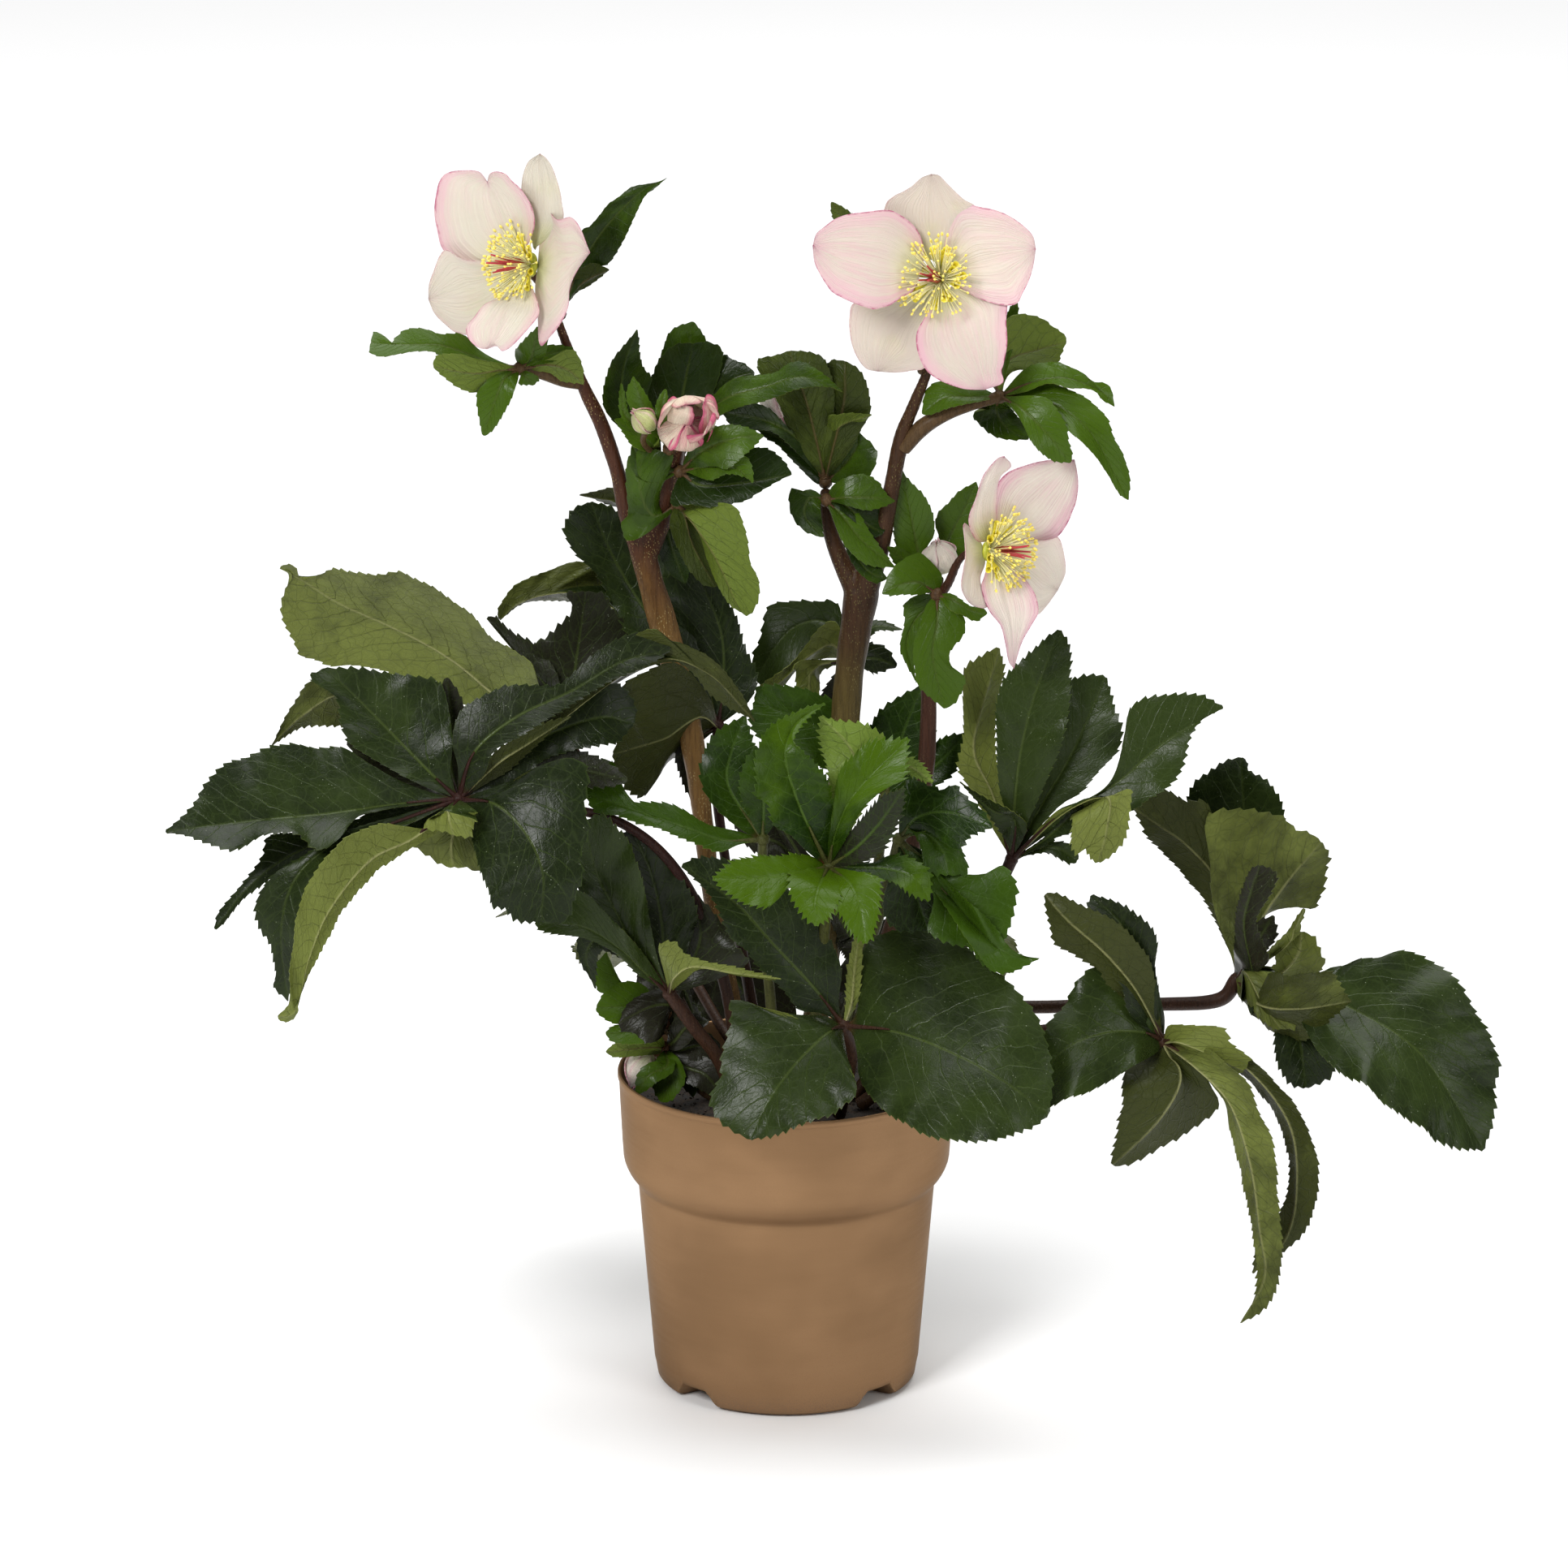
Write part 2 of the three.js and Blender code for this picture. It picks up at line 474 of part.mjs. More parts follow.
const leaves = {
  leaf_left_front: {
    look: "leafOld",
    hub: [-125, 233, -55],
    hubRadius: 2.4,
    stalks: [[[[-125, 233, -55], [-95, 231, -44], [-62, 223, -36], [-39, 200, -28], [-24, 160, -16], foot(-17, -9)], [2, 1.9, 1.9, 2, 2.2, 2.6]]],
    blades: [
      blade([[-160, 232, -70], [-196, 229, -80], [-237, 220, -84]], 42, [-0.2, -0.8, 0.6], { skew: 0.14, swell: [0.9, 0.6] }),
      blade([[-150, 214, -80], [-172, 200, -94], [-184, 176, -100], [-190, 149, -98]], 24, [-0.5, 0.7, 0.5], { fold: 0.2 }),
      blade([[-160, 214, -72], [-182, 195, -80], [-191, 170, -84], [-191, 152, -82]], 26, TO_FRONT_LEFT),
      blade([[-160, 222, -62], [-190, 211, -66], [-207, 195, -70], [-219, 182, -72]], 14, TO_FRONT_LEFT),
      blade([[-142, 253, -54], [-157, 266, -50], [-177, 279, -44]], 39, [-0.2, -0.8, 0.55], { swell: [0.8, 0.4] }),
      blade([[-152, 262, -40], [-179, 272, -36], [-197, 255, -42]], 17, TO_BACK),
      blade([[-117, 260, -58], [-92, 275, -50], [-58, 290, -42], [-34, 286, -34], [-13, 266, -30]], 27, [[-0.2, -0.95, 0.3], [0.5, 0.75, 0.5]], { swell: [0.8, 0.6] }),
      blade([[-104, 249, -44], [-82, 262, -34], [-60, 268, -30]], 31, [0.2, -0.8, 0.6]),
      blade([[-104, 226, -72], [-95, 209, -80], [-98, 184, -82]], 46, [0.1, -0.85, 0.5], { swell: [0.8, 0.42] }),
      blade([[-127, 217, -50], [-129, 204, -48]], 28, TO_FRONT, { swell: [0.8, 0.5] }),
    ],
  },
  leaf_left_back: {
    look: "leafOld",
    hub: [-86, 262, 12],
    stalks: [[[[-86, 262, 12], [-74, 238, 10], [-62, 200, 6], [-44, 158, 4], foot(-24, 3)], [2, 1.9, 2, 2.2, 2.5]]],
    blades: [
      blade([[-118, 283, 26], [-151, 301, 38], [-190, 310, 44]], 53, [0.1, 0.85, 0.45], { skew: -0.15, swell: [0.65, 0.2] }),
      blade([[-95, 282, 20], [-112, 302, 24]], 19, TO_BACK),
      blade([[-74, 288, 20], [-75, 314, 26]], 24, TO_BACK, { swell: [0.9, 0.4] }),
    ],
  },
  leaf_centre_dark: {
    look: "leafOld",
    hub: [-26, 262, 20],
    stalks: [[[[-26, 262, 20], [-27, 240, 16], [-22, 200, 12], [-14, 155, 12], foot(-9, 15)], [2.2, 2, 2, 2.2, 2.5]]],
    blades: [
      blade([[-44, 294, 26], [-62, 321, 28], [-81, 345, 26]], 41, TO_FRONT, { swell: [0.8, 0.36] }),
      blade([[-25, 285, 24], [-30, 308, 26], [-38, 330, 28]], 30, TO_FRONT, { swell: [0.7, 0.5] }),
      blade([[-52, 300, 42], [-78, 319, 44], [-98, 315, 44], [-109, 304, 42]], 14, TO_SKY),
      blade([[-38, 275, 0], [-53, 270, -8], [-66, 252, -10]], 32, [-0.2, 0.8, 0.5], { swell: [0.7, 0.5] }),
    ],
  },
  leaf_young_front: {
    look: "leafYoung",
    hub: [16, 206, -60],
    stalks: [[[[16, 206, -60], [15, 185, -50], [12, 155, -34], foot(8, -21)], [2.2, 2, 2.1, 2.5]]],
    blades: [
      blade([[5, 226, -68], [-4, 246, -66], [3, 267, -56], [13, 271, -50]], 32, [0.2, -0.9, 0.4], { fold: 0.3, swell: [0.8, 0.55] }),
      blade([[22, 225, -68], [31, 243, -68], [45, 258, -62]], 27, TO_FRONT, { fold: 0.25, swell: [0.8, 0.5] }),
      blade([[24, 232, -52], [23, 250, -48], [13, 266, -46]], 24, TO_BACK),
      blade([[30, 217, -70], [45, 237, -72]], 23, TO_FRONT_RIGHT, { fold: 0.25 }),
      blade([[0, 201, -76], [-14, 199, -88], [-29, 201, -92]], 23, TO_FRONT_LEFT, { swell: [0.8, 0.5] }),
      blade([[11, 196, -80], [9, 190, -90], [13, 182, -94]], 25, TO_FRONT, { swell: [0.7, 0.4] }),
      blade([[25, 196, -80], [29, 186, -92], [30, 176, -96]], 21, TO_FRONT, { swell: [0.7, 0.4] }),
      blade([[35, 206, -66], [47, 203, -70], [55, 193, -70]], 15, TO_FRONT_RIGHT),
    ],
  },
  leaf_front_low: {
    look: "leafOld",
    hub: [22, 142, -48],
    stalks: [[[[22, 142, -48], [25, 130, -40], foot(20, -26)], [2.4, 2.4, 2.7]]],
    blades: [
      blade([[46, 136, -68], [72, 127, -84], [101, 109, -92]], 76, [0.1, -0.8, 0.6], { skew: -0.14, fold: 0.05, curl: 0.15, swell: [0.5, 0.4] }),
      blade([[7, 132, -68], [-9, 121, -82], [-28, 106, -86]], 57, [-0.1, -0.8, 0.6], { fold: 0.05, curl: 0.12, swell: [0.55, 0.42] }),
      blade([[5, 165, -50], [-15, 185, -47], [-39, 206, -40]], 42, [-0.2, -0.85, 0.45], { fold: 0.2, swell: [0.7, 0.5] }),
      blade([[26, 161, -44], [29, 179, -42]], 10, [0.8, -0.5, 0.1]),
    ],
  },
  leaf_left_low: {
    look: "leafOld",
    hub: [-45, 155, -30],
    stalks: [[[[-45, 155, -30], [-36, 142, -26], [-26, 128, -21], foot(-19, -18)], [2.6, 2.7, 2.8, 2.9]]],
    blades: [
      blade([[-60, 173, -46], [-78, 187, -54], [-97, 191, -58]], 23, TO_FRONT_LEFT, { fold: 0.2 }),
      blade([[-57, 176, -42], [-66, 196, -46], [-74, 220, -42]], 38, TO_FRONT_LEFT, { fold: 0.25, swell: [0.7, 0.5] }),
      blade([[-48, 180, -30], [-52, 200, -32], [-60, 224, -32]], 30, TO_FRONT),
      blade([[-36, 178, -26], [-34, 202, -26]], 27, TO_FRONT),
      blade([[-40, 168, -48], [-24, 167, -56], [0, 160, -60]], 13, [[0.3, 0.8, 0.1], [0, 0.8, 0.6]], { swell: [0.6, 0.7] }),
      blade([[-66, 176, -26], [-78, 171, -24], [-74, 157, -24]], 9, TO_FRONT_LEFT),
    ],
  },
  leaf_right_upright: {
    look: "leafOld",
    hub: [86, 209, -2],
    stalks: [[[[86, 209, -2], [81, 198, -2], [66, 172, 0], [42, 138, 0], foot(26, -5)], [2.4, 2.1, 2, 2.2, 2.5]]],
    blades: [
      blade([[78, 228, 5], [69, 245, 8], [73, 266, 10], [80, 293, 12]], 17, [-0.25, 0.9, 0.2], { swell: [1.3, 0.5] }),
      blade([[88, 235, -8], [91, 264, -9], [103, 300, -2]], 37, [-0.1, -0.9, 0.35], { swell: [0.9, 0.6] }),
      blade([[101, 235, -4], [112, 257, -2], [119, 282, 6]], 31, [0.1, -0.9, 0.4], { swell: [0.9, 0.5] }),
      blade([[109, 229, -10], [130, 242, -12], [144, 259, -8], [164, 269, -2]], 30, [0.1, -0.85, 0.5], { swell: [1.4, 0.9] }),
      blade([[104, 224, -14], [122, 235, -22], [123, 223, -27], [117, 208, -28]], 21, TO_BACK, { swell: [2.2, 0.7] }),
      blade([[100, 214, -9], [113, 209, -13]], 9, TO_SKY),
    ],
  },
  leaf_far_right: {
    look: "leafOld",
    hub: [173, 161, -8],
    stalks: [[[[173, 161, -8], [166, 153, -8], [140, 152, -7], [105, 151, -5], [70, 148, -2], [44, 132, 0], foot(29, 4)], [2.8, 2.9, 2.7, 2.6, 2.6, 2.6, 2.8]]],
    blades: [
      blade([[171, 187, 4], [161, 211, 10], [133, 229, 10]], 27, [0.2, 0.85, 0.35], { skew: -0.25, swell: [0.7, 0.6] }),
      blade([[181, 188, 6], [190, 206, 10], [204, 219, 10]], 46, [0.1, 0.85, 0.35], { swell: [0.8, 0.45] }),
      blade([[178, 200, 20], [172, 228, 24], [168, 250, 22]], 38, TO_FRONT, { swell: [0.8, 0.4] }),
      blade([[206, 154, -32], [240, 137, -46], [270, 93, -54]], 56, [0.2, -0.8, 0.6], { fold: 0.1, swell: [0.6, 0.42] }),
      blade([[187, 148, -22], [197, 134, -30], [200, 116, -32]], 25, TO_FRONT, { swell: [0.8, 0.4] }),
      blade([[175, 178, -26], [180, 205, -30]], 14, [-0.4, -0.85, 0.2]),
      blade([[188, 150, -34], [202, 149, -46], [217, 155, -52]], 27, TO_FRONT),
      blade([[191, 167, -6], [206, 176, -6]], 17, TO_FRONT),
    ],
  },
  leaf_right_low: {
    look: "leafOld",
    hub: [145, 136, -36],
    hubRadius: 2.8,
    stalks: [[[[145, 136, -36], [128, 143, -28], [96, 140, -18], [62, 134, -16], foot(28, -15)], [2.2, 2.1, 2.2, 2.4, 2.7]]],
    blades: [
      blade([[139, 158, -44], [128, 175, -49], [113, 184, -48], [99, 191, -44]], 22, TO_FRONT, { fold: 0.3, swell: [0.8, 0.5] }),
      blade([[131, 142, -48], [113, 137, -56], [94, 124, -60]], 45, TO_FRONT_LEFT, { swell: [0.7, 0.45] }),
      blade([[150, 120, -41], [143, 103, -52], [127, 86, -57]], 37, TO_BACK, { swell: [0.7, 0.6] }),
      blade([[167, 120, -56], [180, 97, -65], [184, 70, -71], [187, 42, -74], [176, 21, -76]], 18, TO_BACK_RIGHT, { fold: 0.25 }),
      blade([[171, 135, -48], [193, 113, -56], [201, 83, -60], [195, 58, -60], [180, 41, -60]], 15, TO_BACK_RIGHT, { fold: 0.3, swell: [0.5, 0.6] }),
    ],
  },
  leaf_right_centre: {
    look: "leafGreen",
    hub: [43, 217, -38],
    stalks: [[[[43, 217, -38], [36, 188, -31], [24, 150, -20], foot(15, -13)], [2.1, 2, 2.1, 2.5]]],
    blades: [
      blade([[55, 227, -47], [66, 225, -52], [79, 221, -56]], 37, TO_FRONT, { swell: [0.6, 0.5] }),
      blade([[56, 203, -48], [70, 189, -56], [91, 169, -60]], 32, TO_FRONT, { swell: [0.7, 0.7] }),
      blade([[47, 200, -44], [51, 187, -46], [55, 172, -46]], 25, TO_FRONT),
    ],
  },
  leaf_behind_centre: {
    look: "leafOld",
    hub: [24, 288, 44],
    stalks: [[[[24, 288, 44], [23, 262, 42], [20, 210, 34], [14, 155, 26], foot(9, 24)], [2.1, 2, 2, 2.2, 2.5]]],
    blades: [
      blade([[9, 302, 50], [-3, 299, 52], [-13, 287, 50]], 29, TO_BACK, { swell: [0.6, 0.45] }),
      blade([[5, 288, 42], [-11, 277, 42]], 8, TO_SKY),
      blade([[32, 301, 48], [44, 301, 48]], 7, TO_SKY),
      blade([[33, 289, 48], [42, 286, 48]], 13, TO_FRONT),
    ],
  },
  leaf_left_centre: {
    look: "leafGreen",
    hub: [-9, 217, -36],
    stalks: [[[[-9, 217, -36], [-9, 185, -29], [-6, 150, -22], foot(-4, -19)], [2, 1.9, 2, 2.4]]],
    blades: [
      blade([[-35, 217, -42], [-57, 227, -40], [-77, 230, -36]], 13, [0, -0.6, 0.8], { swell: [0.7, 0.35] }),
      blade([[-22, 238, -34], [-21, 252, -32], [-16, 266, -30]], 21, TO_FRONT, { swell: [0.7, 0.5] }),
      blade([[-9, 236, -44], [-12, 254, -44]], 18, TO_FRONT),
    ],
  },
  leaf_mid_back: {
    look: "leafGreen",
    hub: [38, 234, 20],
    stalks: [[[[38, 234, 20], [34, 200, 22], [26, 155, 20], foot(19, 20)], [2, 1.9, 2, 2.4]]],
    blades: [
      blade([[43, 255, 22], [51, 278, 24]], 27, TO_FRONT),
      blade([[12, 258, 22], [-13, 270, 22]], 20, TO_FRONT),
      blade([[56, 246, 20], [68, 259, 18]], 15, TO_FRONT),
    ],
  },
  leaf_back_left: {
    look: "leafOld",
    hub: [-48, 178, 92],
    stalks: [[[[-48, 178, 92], [-38, 165, 66], [-24, 140, 42], foot(-12, 27)], [2.2, 2, 2.1, 2.6]]],
    blades: [
      blade([[-70, 188, 104], [-92, 194, 108], [-112, 188, 106]], 34, [-0.3, 0.3, 0.9], { fold: 0.2 }),
      blade([[-58, 180, 120], [-66, 176, 145], [-70, 166, 168]], 38, [-0.1, 0.4, 0.9], { fold: 0.2 }),
      blade([[-34, 178, 122], [-26, 172, 150], [-20, 160, 176]], 38, [0.1, 0.4, 0.9], { fold: 0.2 }),
      blade([[-22, 176, 104], [-4, 170, 112], [12, 160, 116]], 30, [0.2, 0.3, 0.9], { fold: 0.2 }),
    ],
  },
  leaf_back_right: {
    look: "leafOld",
    hub: [52, 186, 84],
    stalks: [[[[52, 186, 84], [44, 172, 62], [30, 145, 40], foot(14, 31)], [2.2, 2, 2.1, 2.6]]],
    blades: [
      blade([[34, 196, 104], [22, 198, 124], [14, 192, 146]], 36, [-0.2, 0.4, 0.9], { fold: 0.2 }),
      blade([[54, 190, 112], [58, 186, 138], [60, 174, 164]], 38, [0, 0.4, 0.9], { fold: 0.2 }),
      blade([[68, 184, 100], [78, 176, 116], [84, 164, 130]], 30, [0.3, 0.4, 0.9], { fold: 0.2 }),
    ],
  },
};

// ------------------------------------------------------- bracts on the stems

const bracts = {
  bract_left_flower: {
    hub: [-100, 402, -12],
    stalks: [[[[-78, 396, -3], [-84, 397, -6], [-92, 400, -9], [-100, 402, -12]], [2.2, 2.2, 2.3, 2.4]]],
    blades: [
      blade([[-118, 407, -17], [-137, 414, -21], [-156, 411, -23]], 12, [0, -0.55, 0.85]),
      blade([[-113, 401, -20], [-124, 401, -24], [-133, 403, -26]], 14, TO_FRONT),
      blade([[-106, 392, -19], [-110, 384, -21], [-115, 376, -21]], 16, TO_FRONT),
      blade([[-93, 411, -18], [-90, 422, -20]], 7, TO_FRONT),
      blade([[-88, 406, -16], [-79, 403, -14]], 13, TO_FRONT),
    ],
  },
  bract_left_back: {
    hub: [-85, 423, -3],
    hubRadius: 1.8,
    blades: [
      blade([[-76, 443, 10], [-64, 461, 10], [-45, 475, 8]], 17, [0.3, -0.9, 0.2]),
      blade([[-76, 433, 8], [-66, 441, 10]], 12, TO_FRONT),
    ],
  },
  bract_right_flower: {
    hub: [80, 391, -2],
    hubRadius: 2.6,
    stalks: [[[[50.5, 394, 2], [60, 400, 4], [71, 399, 3], [80, 391, -2]], [2, 1.9, 2, 2.3]]],
    blades: [
      blade([[66, 389, -5], [55, 383, -5], [47, 373, -4]], 13, TO_FRONT, { swell: [0.5, 0.4] }),
      blade([[89, 402, 8], [97, 411, 10], [106, 413, 8]], 24, TO_BACK, { swell: [0.8, 0.5] }),
      blade([[97, 395, -6], [110, 395, -8], [123, 388, -8]], 13, TO_SKY),
      blade([[98, 388, -12], [116, 379, -18], [129, 351, -18]], 21, [0.3, -0.75, 0.6]),
      blade([[92, 386, -16], [101, 378, -22], [107, 366, -22]], 18, TO_FRONT),
      blade([[77, 383, 8], [83, 377, 10], [91, 374, 10]], 15, TO_SKY),
      blade([[84, 410, 6], [86, 427, 6]], 7, TO_FRONT),
    ],
  },
  bract_right_back: {
    hub: [51.5, 402, 2.5],
    hubRadius: 1.5,
    blades: [blade([[40, 428, 12], [28, 450, 12], [17, 467, 8]], 11, TO_BACK)],
  },
  bract_bud_left: {
    hub: [-47, 367, -2],
    blades: [
      blade([[-60, 381, -4], [-62, 399, -6], [-55, 417, -6]], 19, [0.3, -0.85, 0.2]),
      blade([[-56, 377, -10], [-65, 382, -12]], 8, TO_FRONT),
      blade([[-57, 380, -13], [-62, 396, -15]], 6, TO_FRONT),
    ],
  },
  bract_bud_up: {
    hub: [-40.5, 367, 2],
    blades: [
      blade([[-39, 390, 10], [-35, 412, 10]], 29, TO_FRONT, { fold: 0.25, swell: [0.8, 0.35] }),
      blade([[-40, 395, 16], [-36, 420, 16]], 20, TO_FRONT, { swell: [0.8, 0.4] }),
      blade([[-27, 391, 8], [-12, 401, 8]], 17, TO_FRONT),
      blade([[-22, 388, -7], [-3, 397, -9], [21, 393, -7]], 14, [[0, -0.8, 0.5], [0, 0.5, 0.8]]),
    ],
  },
  bract_bud_small: {
    hub: [-44, 371, -11],
    hubRadius: 1.4,
    blades: [
      blade([[-52, 387, -20], [-59, 399, -18]], 10, TO_FRONT),
      blade([[-49, 385, -22], [-49, 397, -22]], 7, TO_FRONT),
    ],
  },
  bract_bud_low: {
    hub: [-40, 362, -8],
    blades: [
      blade([[-30, 357, -14], [-14, 357, -17], [2, 361, -15]], 17, TO_FRONT),
      blade([[-30, 368, -20], [-20, 373, -24], [-8, 375, -24]], 18, TO_FRONT),
      blade([[-52, 362, -10], [-58, 372, -11]], 9, TO_FRONT),
    ],
  },
  bract_bud_hanging: {
    hub: [-41, 349, -6],
    hubRadius: 1.8,
    blades: [
      blade([[-29, 342, -15], [-23, 327, -18], [-20, 310, -18]], 23, TO_BACK, { swell: [0.7, 0.6] }),
      blade([[-52, 340, -9], [-60, 352, -10], [-60, 367, -10]], 11, TO_BACK),
    ],
  },
  bract_mid_front: {
    hub: [15, 351, 5],
    blades: [
      blade([[22, 345, 0], [32, 336, -3], [42, 325, -3]], 14, TO_FRONT),
      blade([[27, 350, 0], [41, 349, -1]], 16, TO_FRONT),
      blade([[28, 333, -2], [36, 318, -5]], 11, TO_FRONT),
      blade([[7, 351, 2], [3, 345, 2], [11, 336, 2]], 14, TO_FRONT, { swell: [0.7, 0.4] }),
    ],
  },
  bract_mid_back: {
    hub: [14.7, 358, 16],
    blades: [
      blade([[5, 367, 16], [-7, 377, 14]], 14, TO_FRONT),
      blade([[25, 369, 14], [33, 384, 12]], 19, TO_FRONT),
      blade([[22, 381, 28], [22, 405, 28]], 25, [0.2, 0.85, 0.3], { swell: [0.8, 0.4] }),
      blade([[7, 383, 32], [0, 408, 32]], 28, [0, 0.9, 0.3], { swell: [0.8, 0.4] }),
    ],
  },
  bract_right_up: {
    hub: [54, 317, 9],
    hubRadius: 2,
    blades: [
      blade([[47, 333, 7], [46, 359, 6]], 12, TO_FRONT),
      blade([[62, 338, 15], [72, 358, 14]], 23, [0.2, -0.85, 0.4], { swell: [0.8, 0.45] }),
    ],
  },
  bract_right_low: {
    hub: [57, 314, -5],
    hubRadius: 2,
    blades: [
      blade([[49, 322, -9], [36, 314, -11]], 15, TO_FRONT, { swell: [0.8, 0.45] }),
      blade([[58, 299, -12], [56, 284, -15], [60, 268, -15]], 20, TO_FRONT, { swell: [0.6, 0.45] }),
      blade([[49, 306, -5], [43, 296, -6]], 9, TO_FRONT),
      blade([[67, 312, -12], [76, 308, -13]], 7, TO_FRONT),
    ],
  },
  bract_low_shoot: {
    hub: [-46.5, 143.5, -8],
    hubRadius: 2,
    blades: [
      blade([[-60, 150, -10], [-70, 171, -10]], 12, TO_FRONT),
      blade([[-60, 149, -14], [-73, 148, -17]], 15, TO_FRONT),
      blade([[-54, 155, -6], [-64, 160, -4]], 15, TO_FRONT),
      blade([[-54, 147, -20], [-62, 141, -22], [-61, 134, -20]], 14, TO_SKY, { curl: 0.4, swell: [0.5, 0.3] }),
    ],
  },
  bract_low_bud: {
    hub: [-46.5, 133, -9],
    hubRadius: 1.6,
    blades: [
      blade([[-57, 136, -15], [-69, 133, -17]], 10, TO_FRONT),
      blade([[-45, 121, -17], [-48, 112, -19]], 13, TO_FRONT),
      blade([[-40, 127, -9], [-37, 117, -10]], 10, TO_FRONT),
    ],
  },
};

// ------------------------------------------------------------------- flowers

const SEPAL = { fold: 0.1, curl: 0, swell: [0.7, 0.38] };

const flowers = {
  left_flower: {
    middle: [-98, 440, -21],
    looks: [-0.74, -0.66, 0.1],
    sepals: [
      blade([[-100, 443, -20], [-111, 459, -15], [-122, 476, -10]], 40, [-0.65, -0.75, -0.1], SEPAL),
      blade([[-96, 445, -19], [-92, 464, -27], [-93, 484, -29]], 25, [-0.9, -0.4, 0.1], SEPAL),
      blade([[-95, 441, -21], [-86, 447, -36], [-77, 449, -52]], 38, [-0.93, -0.25, 0.2], { ...SEPAL, skew: 0.15 }),
      blade([[-101, 438, -19], [-116, 432, -11], [-131, 425, -3]], 37, [-0.6, -0.75, -0.2], SEPAL),
      blade([[-98, 436, -22], [-103, 424, -33], [-106, 409, -40]], 31, [-0.7, -0.65, 0.35], SEPAL),
    ],
  },
  right_flower: {
    middle: [56.5, 436, -10],
    looks: [-0.1, -0.93, 0.33],
    sepals: [
      blade([[52, 437, -11], [32, 443, -19], [10, 450, -23]], 38, [0.25, -0.9, 0.3], SEPAL),
      blade([[56, 441, -6], [54, 458, -6], [54, 476, -6]], 34, [0, -0.93, 0.33], { ...SEPAL, swell: [0.7, 0.5] }),
      blade([[61, 438, -9], [77, 443, -12], [93, 448, -12]], 37, [-0.15, -0.93, 0.33], SEPAL),
      blade([[58, 431, -11], [66, 414, -19], [73, 394, -23]], 35, [0, -0.9, 0.15], SEPAL),
      blade([[55, 433.4, -7.6], [43, 417, -7], [34, 402, -7]], 35, [0, -0.93, 0.33], SEPAL),
    ],
  },
  lower_flower: {
    middle: [79, 332, -27],
    looks: [0.72, -0.68, 0.08],
    sepals: [
      blade([[81, 335, -25], [92, 350, -15], [105, 365, -8]], 35, [0.65, -0.75, -0.05], SEPAL),
      blade([[77, 335, -27], [74, 350, -38], [78, 367, -46]], 30, [0.95, -0.3, -0.1], SEPAL),
      blade([[76, 331, -27], [71, 322, -39], [71, 310, -47]], 30, [0.95, -0.3, 0.2], SEPAL),
      blade([[79, 328, -27], [82, 313, -34], [85, 299, -36], [86, 286, -34]], 21, [0.5, -0.85, 0.1], { ...SEPAL, swell: [0.5, 0.7] }),
      blade([[82, 331, -25], [92, 324, -17], [101, 317, -9]], 32, [0.65, -0.75, -0.15], SEPAL),
    ],
  },
};

const RING_RADIUS = 8.5; // of the cup of nectaries
const RING_DEPTH = 6;
const PISTIL_RADIUS = 2.2;
const PISTIL_LENGTH = 15;

// Turns a solid made along +Z so that it looks the given way from a place.
function turnedTo(solid, place, looks) {
  const p = seen(place);
  const m = new THREE.Matrix4()
    .makeRotationFromQuaternion(
      new THREE.Quaternion().setFromUnitVectors(
        new THREE.Vector3(0, 0, 1),
        vec(looks).normalize(),
      ),
    )
    .setPosition(p);
  return solid.transform(m.elements);
}

function flowerCentre({ middle, looks }) {
  const cup = solidOf(
    turned(
      [
        [0, -2],
        [3.2, -2],
        [4.4, 0],
        [RING_RADIUS, RING_DEPTH * 0.6],
        [RING_RADIUS + 0.6, RING_DEPTH],
        [RING_RADIUS - 1.4, RING_DEPTH],
        [RING_RADIUS - 3, RING_DEPTH * 0.5],
        [PISTIL_RADIUS, 2],
        [PISTIL_RADIUS * 0.7, PISTIL_LENGTH * 0.7],
        [0.4, PISTIL_LENGTH],
        [0, PISTIL_LENGTH],
      ],
      14,
    ),
  );
  return turnedTo(cup, middle, looks);
}

// ---------------------------------------------------------------------- buds

// A bud of the given length and radius, pointing the given way from its base.
// A pedicel, where it has one, is its route from the stem and its radii.
const buds = {
  bud_half_open: { base: [-40, 376, -13], looks: [0.2, -0.85, 0.45], length: 20, radius: 12.2, mouth: 4.5 },
  bud_small: { base: [-50, 379, -27], looks: [-0.75, -0.2, 0.7], length: 11, radius: 4.2, mouth: 0.6, pedicel: [[[-43.5, 366, -3], [-50, 369, -8], [-54, 374, -18], [-51.3, 380.2, -27.4]], [1.3, 1.1, 1.1, 1.3]] },
  bud_mid: { base: [6, 381, 19], looks: [-0.55, -0.1, 0.82], length: 28, radius: 9, mouth: 0.8, pedicel: [[[14.7, 359, 15], [13, 369, 19], [5.3, 382.2, 18.9]], [1.8, 1.5, 1.8]] },
  bud_right: { base: [59, 324, 9], looks: [-0.15, -0.35, 0.9], length: 14, radius: 6.6, mouth: 0.8 },
  bud_low: { base: [-53, 131, -8], looks: [-0.45, -0.1, -0.85], length: 16, radius: 5.6, mouth: 0.6 },
};

